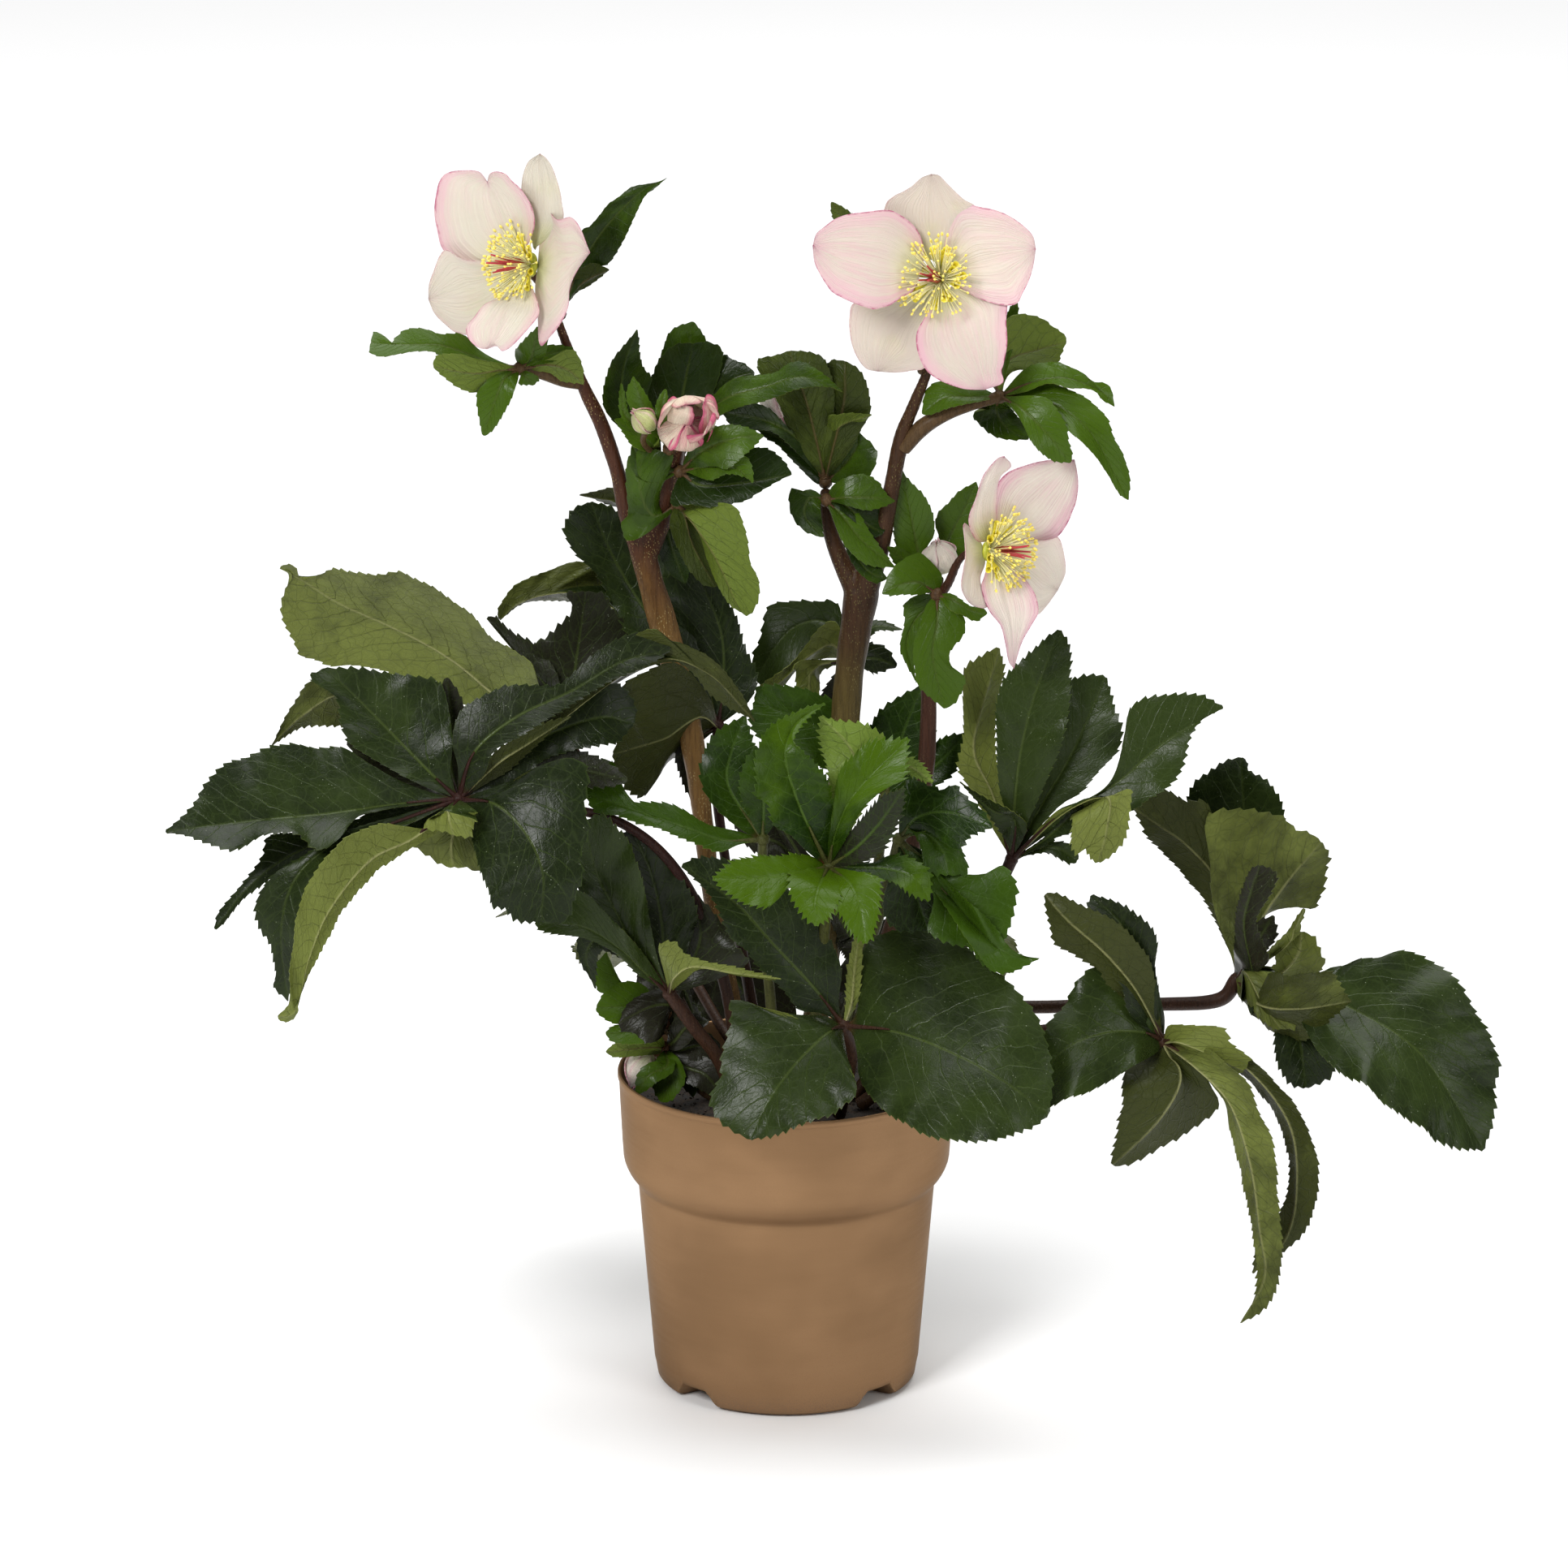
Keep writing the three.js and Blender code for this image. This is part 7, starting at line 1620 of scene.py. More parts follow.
# A tooth is three stations of the rib: where they lie along it and how far it has risen there.
TOOTH_PHASES = (0.0, 0.42, 0.78)
TOOTH_HEIGHTS = (0.0, 0.45, 1.0)
TOOTH_SIZES = (0.65, 1.25)
TOOTH_LEAN = 0.7

# A sheet's least half widths, the half width at which its waves are full, and its veins.
LEAST_AT_BASE = 0.9
LEAST_AT_TIP = 0.12
FULL_WAVE_WIDTH = 14
LONGEST_TWIST = 0.16
NARROWEST_GAP = 3.2
WIDEST_GAP = 10
VEIN_LEAN = 0.95
VEIN_WIDTH = 0.12
GROOVE_WIDTH = 0.9
RIDGE_WIDTH = 0.95
RIB_STEP = 0.012

# An edge is found along the sight line, which may graze the blade no flatter than this slant,
# and it lies in front of or behind the midrib by no more than this share of their distance.
LEAST_SLANT = 0.12
DEPTH_SHARE = 0.8


@dataclass(frozen=True)
class Edge:
    """How a kind of blade is cut and how it lies.

    Attributes:
        tooth: The teeth's distance along the rib, or of stations where there are none.
        depth: How far a tooth stands out.
        thickness: The blade's.
        wave: The height of the waves of its edge.
        ripple: The length of those waves.
        vein: How deep the side veins lie.
        rib: How far the midrib stands out below.
        fold: How much more its halves may rise than the blade says.
        twist: How much it may twist towards its tip.
        pleat: How deep its long pleats are.
        cuts: Where the blade is divided across.
    """

    tooth: float
    depth: float
    thickness: float
    wave: float
    ripple: float
    vein: float
    rib: float
    fold: float = 0.0
    twist: float = 0.0
    pleat: float = 0.0
    cuts: Array = field(default_factory=lambda: CUTS)


LEAF_EDGE = Edge(3.3, 1.0, 0.55, wave=1.4, ripple=27, vein=0.1, rib=0.8, fold=0.14, twist=1.0)
YOUNG_EDGE = Edge(2.6, 1.5, 0.45, wave=1.3, ripple=12, vein=0.14, rib=0.6, fold=0.12, twist=1.0)
BRACT_EDGE = Edge(3.1, 0.42, 0.4, wave=0.7, ripple=19, vein=0.05, rib=0.35, fold=0.12, twist=1.2)
SEPAL_EDGE = Edge(1.5, 0.0, 0.4, wave=0.55, ripple=26, vein=0.0, rib=0.12, pleat=0.22, cuts=SEPAL_CUTS)


def ring_faces(rings: int, sides: int) -> list[tuple[int, ...]]:
    """Returns the four-sided faces that join closed rings of points, one ring after another.

    Args:
        rings: How many rings there are.
        sides: How many points each has.

    Returns:
        The faces, their corners counted from the first ring.
    """
    faces: list[tuple[int, ...]] = []
    for i in range(rings - 1):
        for j in range(sides):
            k = (j + 1) % sides
            faces.append((i * sides + j, i * sides + k, (i + 1) * sides + k, (i + 1) * sides + j))
    return faces


class Shell:
    """Gathers the sheets, tubes and rounds of one piece, and makes its mesh."""

    def __init__(self) -> None:
        """Starts with nothing in it."""
        self.points: list[Array] = []
        self.faces: list[tuple[int, ...]] = []
        self.skins: list[int] = []
        self.maps: dict[str, list[Array]] = {"blade": [], "span": [], "grow": []}
        self.count = 0

    def add(self, points: Array, faces: Sequence[Sequence[int]], skin: int, **maps: Array) -> None:
        """Adds points and the faces on them.

        Args:
            points: One row for each, in millimetres.
            faces: Their corners, counted from the first of these points.
            skin: Which of the piece's materials they take.
            maps: Values of the attributes blade, span and grow, one row for each point.
        """
        points = np.asarray(points, float)
        self.points.append(points)
        self.faces.extend(tuple(int(i) + self.count for i in face) for face in faces)
        self.skins.extend([skin] * len(faces))
        for name, rows in self.maps.items():
            rows.append(np.asarray(maps.get(name, np.zeros((len(points), 3))), float))
        self.count += len(points)

    def add_tube(self, path: Array, radii: Array, sides: int, skin: int, wobble: float = 0.0) -> None:
        """Adds a closed tube along a path.

        Args:
            path: Its middle line.
            radii: Its radius at each point of the line.
            sides: How many sides it has.
            skin: Its material.
            wobble: How uneven its roundness is, as a share of its radius.
        """
        ahead = rows_unit(np.gradient(path, axis=0))
        side = unit(np.cross(ahead[0], (0.3, 0.2, 1.0)))
        sides_at = [side]
        for a in ahead[1:]:
            side = unit(side - a * float(np.dot(side, a)))
            sides_at.append(side)
        across = np.array(sides_at)
        up = np.cross(ahead, across)
        turn = np.arange(sides) * FULL_TURN / sides
        n = len(path)
        length = np.arange(n) / 3.0
        uneven = 1 + wobble * np.sin(turn[None, :] * 2 + length[:, None] * 0.23)
        uneven = uneven + wobble * 0.6 * np.sin(turn[None, :] * 3 - length[:, None] * 0.31)
        cosines, sines = np.cos(turn)[None, :, None], np.sin(turn)[None, :, None]
        ring = cosines * across[:, None, :] + sines * up[:, None, :]
        points = path[:, None, :] + ring * (radii[:, None] * uneven)[:, :, None]
        faces = ring_faces(n, sides)
        first, last = n * sides, n * sides + 1
        for j in range(sides):
            k = (j + 1) % sides
            faces.append((first, k, j))
            faces.append((last, (n - 1) * sides + j, (n - 1) * sides + k))
        ends = np.array((path[0] - ahead[0] * radii[0] * 0.4, path[-1] + ahead[-1] * radii[-1] * 0.4))
        grow = np.concatenate((np.repeat(np.linspace(0, 1, n), sides), (0, 1)))
        rows = np.vstack((points.reshape(-1, 3), ends))
        self.add(rows, faces, skin, grow=np.stack((grow,) * 3, axis=1))

    def add_lump(self, middle: Array, radii: Triple, skin: int, rng: np.random.Generator) -> None:
        """Adds a rounded, uneven lump.

        Args:
            middle: Its middle.
            radii: Its half-lengths along x, y and z.
            skin: Its material.
            rng: The source of its unevenness.
        """
        made = bmesh.new()
        bmesh.ops.create_icosphere(made, subdivisions=3, radius=1.0)
        points = np.array([v.co[:] for v in made.verts])
        faces = [[v.index for v in f.verts] for f in made.faces]
        made.free()
        shift = rng.uniform(0, FULL_TURN, 3)
        uneven = 1 + 0.06 * np.sin(points @ np.array((3.1, 4.3, 2.7)) * 2 + shift[0])
        points = points * uneven[:, None] * np.asarray(radii) + middle
        self.add(points, faces, skin)

    def make(self, name: str, materials: Sequence[bpy.types.Material]) -> bpy.types.Object:
        """Makes the object.

        Args:
            name: What the piece is called.
            materials: The materials that the skins stand for.

        Returns:
            The object, linked to the scene.
        """
        mesh = bpy.data.meshes.new(name)
        mesh.from_pydata((np.vstack(self.points) * MM).tolist(), [], self.faces)
        for material in materials:
            mesh.materials.append(material)
        mesh.polygons.foreach_set("material_index", self.skins)
        for key, rows in self.maps.items():
            attribute = mesh.attributes.new(key, "FLOAT_VECTOR", "POINT")
            attribute.data.foreach_set("vector", np.vstack(rows).astype(np.float32).ravel())
        mesh.update()
        mesh.shade_smooth()
        mesh.set_sharp_from_angle(angle=SHARP_ANGLE)
        made = bpy.data.objects.new(name, mesh)
        bpy.context.scene.collection.objects.link(made)
        return made


def lengthways(points: Array) -> Array:
    """Returns how far along a line each of its points lies."""
    steps = np.linalg.norm(np.diff(points, axis=0), axis=1)
    return np.concatenate(((0.0,), np.cumsum(steps)))


@dataclass
class BladeSheet:
    """One blade as a thin closed sheet with teeth, waves and veins.

    Attributes:
        blade: What it is.
        rib: The real points of its midrib.
        edge: How its kind is cut.
        seed: Sets its own waves and teeth.
    """

    blade: Blade
    rib: Array
    edge: Edge
    seed: int

    def stations(self) -> tuple[Array, Array]:
        """Returns where the sheet is divided along its rib, and how far each tooth has risen there.

        Returns:
            The stations, from 0 to 1, and the teeth's heights, from 0 to 1.
        """
        fine = curve_at(self.rib, np.linspace(0, 1, 60))
        count = max(6, round(float(lengthways(fine)[-1]) / self.edge.tooth))
        ts = [(i + phase) / count for i in range(count) for phase in TOOTH_PHASES]
        heights = list(TOOTH_HEIGHTS) * count
        return np.array((*ts, 1.0)), np.array((*heights, 0.0))

    def add_to(self, shell: Shell, skins: tuple[int, int] = (0, 1)) -> None:
        """Adds the sheet to a shell.

        Args:
            shell: Where it goes.
            skins: The materials of its upper and lower side.
        """
        blade, cuts = self.blade, self.edge.cuts
        rng = np.random.default_rng(self.seed)
        t, tooth = self.stations()
        middle = curve_at(self.rib, t)
        s = lengthways(middle)
        ahead, up, side = self._axes(t)
        one, other = self._ways(t, s, middle, up, side, rng)
        lengths = np.linalg.norm(one, axis=1), np.linalg.norm(other, axis=1)
        half = (lengths[0] + lengths[1]) / 2
        reach, forward = self._teeth(t, tooth, lengths, rng)
        outward = np.where((cuts < 0)[:, None], -rows_unit(one)[:, None, :], rows_unit(other)[:, None, :])
        rise = self._rise(t, s, half, reach, rng)
        order, crease, groove, ridge = self._veins(t, s, half, reach)
        thin = self.edge.thickness / 2 * (1 - 0.4 * np.abs(cuts)) * (1 - 0.3 * t)[:, None]
        base = middle[:, None, :] + outward * reach[:, :, None] + ahead[:, None, :] * forward[:, :, None]
        top = base + up[:, None, :] * (rise + thin - crease - groove)[:, :, None]
        under = base + up[:, None, :] * (rise - thin - crease - ridge)[:, :, None]

        n, m = len(t), len(cuts)
        seed = np.full((n, m), rng.uniform(0, 1))
        along = np.repeat(t[:, None], m, axis=1)
        across = np.repeat(cuts[None, :], n, axis=0)
        maps = np.stack((along, across, seed), axis=2).reshape(-1, 3)
        spans = np.stack((np.repeat(s[:, None], m, axis=1), reach, order), axis=2).reshape(-1, 3)
        # The blade's tint goes into the attribute grow; for leaves it is partly painted light and shade.
        tints = np.full((n * m, 3), blade.tint)
        self.skin(shell, top, under, skins, blade=maps, span=spans, grow=tints)

    def _axes(self, t: Array) -> tuple[Array, Array, Array]:
        """Returns the ways ahead, up and across at each station.

        Args:
            t: The stations, from 0 to 1.

        Returns:
            Three lists of unit vectors, one row for each station.
        """
        before, after = np.maximum(t - RIB_STEP, 0), np.minimum(t + RIB_STEP, 1)
        ahead = rows_unit(curve_at(self.rib, after) - curve_at(self.rib, before))
        faces = rows_unit(np.atleast_2d(np.asarray(self.blade.face, float)))
        up = faces[0] * (1 - t)[:, None] + faces[-1] * t[:, None]
        up = rows_unit(up - ahead * np.sum(up * ahead, axis=1)[:, None])
        return ahead, up, np.cross(ahead, up)

    def _ways(
        self, t: Array, s: Array, middle: Array, up: Array, side: Array, rng: np.random.Generator
    ) -> tuple[Array, Array]:
        """Returns the ways from midrib to the two edges.

        Args:
            t: The stations, from 0 to 1.
            s: How far each lies from the base.
            middle: The midrib's points.
            up: The way the upper side looks there.
            side: The way across.
            rng: The source of the outline's unevenness.

        Returns:
            The way to the one edge and to the other, one row for each station.
        """
        least = np.where(t < 0.5, LEAST_AT_BASE, LEAST_AT_TIP)
        if self.blade.edges:
            return self._traced(t, middle, up, side, least)
        half = np.maximum(self._rounded(t, s), least)
        half = half * (1 + 0.03 * np.sin(s / 9 + rng.uniform(0, 6)) * smoothstep(0.1, 0.3, t))
        skew = self.blade.skew
        return side * (half * (-1 + skew))[:, None], side * (half * (1 + skew))[:, None]

    def _teeth(
        self, t: Array, tooth: Array, lengths: tuple[Array, Array], rng: np.random.Generator
    ) -> tuple[Array, Array]:
        """Returns where the sheet's points lie, teeth and all.

        Args:
            t: The stations, from 0 to 1.
            tooth: How far each tooth has risen there.
            lengths: The half widths to the one edge and to the other.
            rng: The source of the teeth's sizes.

        Returns:
            How far each point lies from the midrib, and how far ahead.
        """
        edge, cuts = self.edge, self.edge.cuts
        sizes = np.repeat(rng.uniform(*TOOTH_SIZES, len(t) // 3 + 1), 3)[: len(t)]
        toothed = smoothstep(0.1, 0.34, t) * (1 - 0.5 * smoothstep(0.88, 1.0, t))
        out = (tooth * sizes - 0.45) * edge.depth * toothed
        rimward = np.clip((np.abs(cuts) - 0.9) / 0.1, 0, 1) ** 2
        span = np.where(cuts < 0, lengths[0][:, None], lengths[1][:, None])
        reach = span * cuts + np.sign(cuts) * rimward * out[:, None]
        return reach, tooth[:, None] * rimward * edge.depth * TOOTH_LEAN * toothed[:, None]

    def _rise(self, t: Array, s: Array, half: Array, reach: Array, rng: np.random.Generator) -> Array:
        """Returns how far the sheet rises from its flat, with its fold, twist, pleats and waves.

        Args:
            t: The stations, from 0 to 1.
            s: How far each lies from the base.
            half: The mean half width there.
            reach: How far each point lies from the midrib.
            rng: The source of the fold, the twist and the waves.

        Returns:
            The rise of each point.
        """
        blade, edge, cuts = self.blade, self.edge, self.edge.cuts
        fold = blade.fold + edge.fold * rng.uniform(0.3, 1.0)
        rise = (fold * (np.abs(cuts) - 0.5) - blade.curl * cuts**2) * half[:, None]
        rise = rise + (blade.lift - blade.droop * s[-1] * t**4)[:, None]
        rise = rise + rng.uniform(-LONGEST_TWIST, LONGEST_TWIST) * edge.twist * reach * t[:, None]
        pleats = np.sin(np.abs(cuts) * 8.5)[None, :] * np.sin(np.pi * t)[:, None]
        rise = rise + edge.pleat * pleats * np.clip(half / FULL_WAVE_WIDTH, 0, 1)[:, None]
        for hand in (-1, 1):
            where = (np.sign(cuts) == hand) * np.abs(cuts) ** 2.2
            first, second = rng.uniform(0, FULL_TURN, 2)
            waves = np.sin(FULL_TURN * s / edge.ripple + first)
            waves = waves + 0.6 * np.sin(FULL_TURN * s / (edge.ripple * 0.53) + second)
            full = np.clip(half / FULL_WAVE_WIDTH, 0.25, 1.2)
            size = edge.wave * blade.wave * full * smoothstep(0.05, 0.3, t)
            rise = rise + (size * waves)[:, None] * where
        return rise

    def _veins(self, t: Array, s: Array, half: Array, reach: Array) -> tuple[Array, ...]:
        """Returns the veins' relief.

        Args:
            t: The stations, from 0 to 1.
            s: How far each lies from the base.
            half: The mean half width there.
            reach: How far each point lies from the midrib.

        Returns:
            The side veins' count from the base, their creases, and the midrib's groove and ridge.
        """
        edge, cuts = self.edge, self.edge.cuts
        gap = float(np.clip(half.max() * 0.5, NARROWEST_GAP, WIDEST_GAP))
        order = (s[:, None] - VEIN_LEAN * np.abs(reach) - 0.2 * np.abs(reach * cuts)) / gap
        order = order + np.where(cuts < 0, 0.5, 0.0)
        order = order + 0.22 * np.sin(s[:, None] / (gap * 0.8) + np.sign(cuts))
        off = np.abs(order % 1 - 0.5)
        fade = np.clip(1.1 - np.abs(cuts), 0, 1) * smoothstep(0, 0.15, t)[:, None]
        deep = np.clip(half / 12, 0.3, 1.4)[:, None]
        crease = np.exp(-((off / VEIN_WIDTH) ** 2)) * fade * edge.vein * deep
        groove = 0.32 * edge.rib * np.exp(-((reach / GROOVE_WIDTH) ** 2)) * (1 - 0.7 * t)[:, None]
        narrow = (RIDGE_WIDTH - 0.4 * t)[:, None]
        ridge = edge.rib * np.exp(-((reach / narrow) ** 2)) * (1.15 - t)[:, None]
        return order, crease, groove, ridge

    def _rounded(self, t: Array, s: Array) -> Array:
        """Returns half the blade's width at each station, in its kind's own outline.

        Args:
            t: The stations, from 0 to 1.
            s: How far each lies from the base.

        Returns:
            The half widths.
        """
        p, q = self.blade.swell
        peak = (p / (p + q)) ** p * (q / (p + q)) ** q
        half = self.blade.width / 2 * t**p * (1 - t) ** q / peak
        point = np.maximum(self.blade.tip * (s[-1] - s), 0.02)
        return (np.maximum(half, 0.02) ** -4 + point**-4) ** -0.25

    def _traced(self, t: Array, middle: Array, up: Array, side: Array, least: Array) -> tuple[Array, Array]:
        """Returns the ways from midrib to the two edges, where the edges pass given places.

        Args:
            t: The stations, from 0 to 1.
            middle: The midrib's points.
            up: The way the upper side looks there.
            side: The way across.
            least: The least half width.

        Returns:
            The way to the one edge and to the other, one row for each station.
        """
        ways = []
        for edge in self.blade.edges:
            flat = np.array([(x, 0, z) for x, z, *_ in edge], float)
            ends = [self._plane_place(self.rib[0]), *flat, self._plane_place(self.rib[-1])]
            fine = curve_at(np.array(ends), np.linspace(0, 1, 80))
            s = lengthways(fine)
            places = np.stack([np.interp(t, s / s[-1], fine[:, i]) for i in range(3)], axis=1)
            ray = (places + np.array((0, EYE_DISTANCE, -EYE_HEIGHT))) / EYE_DISTANCE
            slant = np.sum(ray * up, axis=1)
            slant = np.where(np.abs(slant) < LEAST_SLANT, np.copysign(LEAST_SLANT, slant), slant)
            back = np.sum((middle - places) * up, axis=1) / slant
            room = DEPTH_SHARE * np.linalg.norm(self._plane_place(middle) - places, axis=1)
            back = np.clip(back, middle[:, 1] - room, middle[:, 1] + room)
            ways.append(places + ray * back[:, None] - middle)
        ways.sort(key=lambda way: float(np.sum(way * side)))
        for hand, way in zip((-1, 1), ways):
            short = np.maximum(least - np.linalg.norm(way, axis=1), 0)
            way += side * (hand * short)[:, None]
        return ways[0], ways[1]

    @staticmethod
    def _plane_place(point: Array) -> Array:
        """Returns where a point is seen on the upright plane through the pot's axis.

        Args:
            point: The point, or several, one a row.

        Returns:
            The place, at the same distance as the axis.
        """
        point = np.asarray(point, float)
        k = (EYE_DISTANCE + point[..., 1]) / EYE_DISTANCE
        return np.stack((point[..., 0] / k, 0 * k, EYE_HEIGHT + (point[..., 2] - EYE_HEIGHT) / k), axis=-1)

    @staticmethod
    def skin(shell: Shell, top: Array, under: Array, skins: tuple[int, int], **maps: Array) -> None:
        """Closes the two sides of a sheet with its rim.

        Args:
            shell: Where it goes.
            top: The upper side's points, in rows.
            under: The lower side's.
            skins: The materials of the two sides.
            maps: The attributes, one row for each point of a side.
        """
        n, m = top.shape[:2]
        size = n * m
        index = np.arange(size).reshape(n, m)
        a, b, c, d = index[:-1, :-1], index[:-1, 1:], index[1:, 1:], index[1:, :-1]
        upper = np.stack((a, b, c, d), axis=2).reshape(-1, 4)
        lower = np.stack((a, d, c, b), axis=2).reshape(-1, 4) + size
        left, right = index[:, 0], index[:, -1]
        first, last = index[0], index[-1]
        rims = np.vstack(
            (
                np.stack((left[:-1], left[1:], left[1:] + size, left[:-1] + size), axis=1),
                np.stack((right[:-1], right[:-1] + size, right[1:] + size, right[1:]), axis=1),
                np.stack((first[:-1], first[:-1] + size, first[1:] + size, first[1:]), axis=1),
                np.stack((last[:-1], last[1:], last[1:] + size, last[:-1] + size), axis=1),
            )
        )
        points = np.vstack((top.reshape(-1, 3), under.reshape(-1, 3)))
        both = {key: np.vstack((rows, rows)) for key, rows in maps.items()}
        shell.add(points, upper, skins[0], **both)
        start = shell.count - 2 * size
        shell.faces.extend(tuple(int(i) + start for i in face) for face in np.vstack((lower, rims)))
        shell.skins.extend([skins[1]] * (len(lower) + len(rims)))


def settle(piece: bpy.types.Object) -> bpy.types.Mesh:
    """Turns what an object's modifiers make into its plain mesh.

    Args:
        piece: The object, which loses its modifiers.

    Returns:
        Its new mesh.
    """
    evaluated = piece.evaluated_get(bpy.context.evaluated_depsgraph_get())
    mesh = bpy.data.meshes.new_from_object(evaluated)
    piece.modifiers.clear()
    piece.data = mesh
    return mesh


class GrowthTree:
    """A Geometry Nodes tree with named inputs, whose result is kept as a plain mesh."""

    INPUTS: tuple[tuple[str, str], ...] = ()

    def __init__(self) -> None:
        """Builds the tree."""
        self.tree = bpy.data.node_groups.new(type(self).__name__, "GeometryNodeTree")
        face = self.tree.interface
        face.new_socket(name="Geometry", in_out="OUTPUT", socket_type="NodeSocketGeometry")
        self.keys = {
            name: face.new_socket(name=name, in_out="INPUT", socket_type=kind).identifier
            for name, kind in self.INPUTS
        }
        self.given = self.tree.nodes.new("NodeGroupInput").outputs
        made = self._build()
        end = self.tree.nodes.new("NodeGroupOutput")
        self.tree.links.new(made, end.inputs[0])

    def _build(self) -> bpy.types.NodeSocket:
        """Adds the nodes and returns what they make."""
        raise NotImplementedError

    def node(
        self, kind: str, values: Mapping[Union[int, str], Any], output: Union[int, str] = 0, **settings: Any
    ) -> bpy.types.NodeSocket:
        """Adds a node.

        Args:
            kind: Its type.
            values: Numbers or sockets for its inputs.
            output: The output that is returned.
            settings: Its own properties.

        Returns:
            The chosen output.
        """
        made = self.tree.nodes.new(kind)
        for name, setting in settings.items():
            setattr(made, name, setting)
        for key, value in values.items():
            if isinstance(value, bpy.types.NodeSocket):
                self.tree.links.new(value, made.inputs[key])
            else:
                made.inputs[key].default_value = value
        return made.outputs[output]

    def maths(self, operation: str, a: Any, b: Any = 0.0) -> bpy.types.NodeSocket:
        """Returns the result of a Math node."""
        return self.node("ShaderNodeMath", {0: a, 1: b}, operation=operation)

    def chance(self, low: Any, high: Any, seed: Any) -> bpy.types.NodeSocket:
        """Returns a random number between two for each shape."""
        return self.node("FunctionNodeRandomValue", {2: low, 3: high, "Seed": seed}, 1, data_type="FLOAT")

    def stand(self, points: Any, turn: Any, size: Any) -> bpy.types.NodeSocket:
        """Stands the shape at every point.

        Args:
            points: The points.
            turn: How each is turned.
            size: How large each is.

        Returns:
            The shapes, made real and given their material.
        """
        shape = self.node("GeometryNodeObjectInfo", {"Object": self.given["Shape"]}, "Geometry")
        values = {"Points": points, "Instance": shape, "Rotation": turn, "Scale": size}
        stood = self.node("GeometryNodeInstanceOnPoints", values)
        real = self.node("GeometryNodeRealizeInstances", {0: stood})
        return self.node("GeometryNodeSetMaterial", {"Geometry": real, "Material": self.given["Material"]})

    def run(
        self, name: str, values: Mapping[str, Any], start: bpy.types.Mesh, at: Matrix
    ) -> bpy.types.Object:
        """Runs the tree on a mesh and turns the result into a plain piece.

        Args:
            name: What the piece is called.
            values: The inputs' values by name.
            start: The mesh that it starts from.
            at: Where the result goes.

        Returns:
            The piece, without a modifier.
        """
        made = bpy.data.objects.new(name, start)
        modifier = made.modifiers.new("Growth", "NODES")
        modifier.node_group = self.tree
        for key, value in values.items():
            modifier[self.keys[key]] = value
        bpy.context.scene.collection.objects.link(made)
        mesh = settle(made)
        mesh.transform(at)
        mesh.shade_smooth()
        mesh.set_sharp_from_angle(angle=SHARP_ANGLE)
        return made


@dataclass(frozen=True)
class Ring:
    """How the small parts of one kind stand round a flower's axis.

    Attributes:
        count: How many there are.
        inner: The radius at which the innermost stands.
        outer: The outermost's.
        upright: How far the innermost leans out, in radians.
        leaning: How far the outermost does.
        unevenness: How far each may differ, in radians.
    """

    count: int
    inner: float
    outer: float
    upright: float
    leaning: float
    unevenness: float


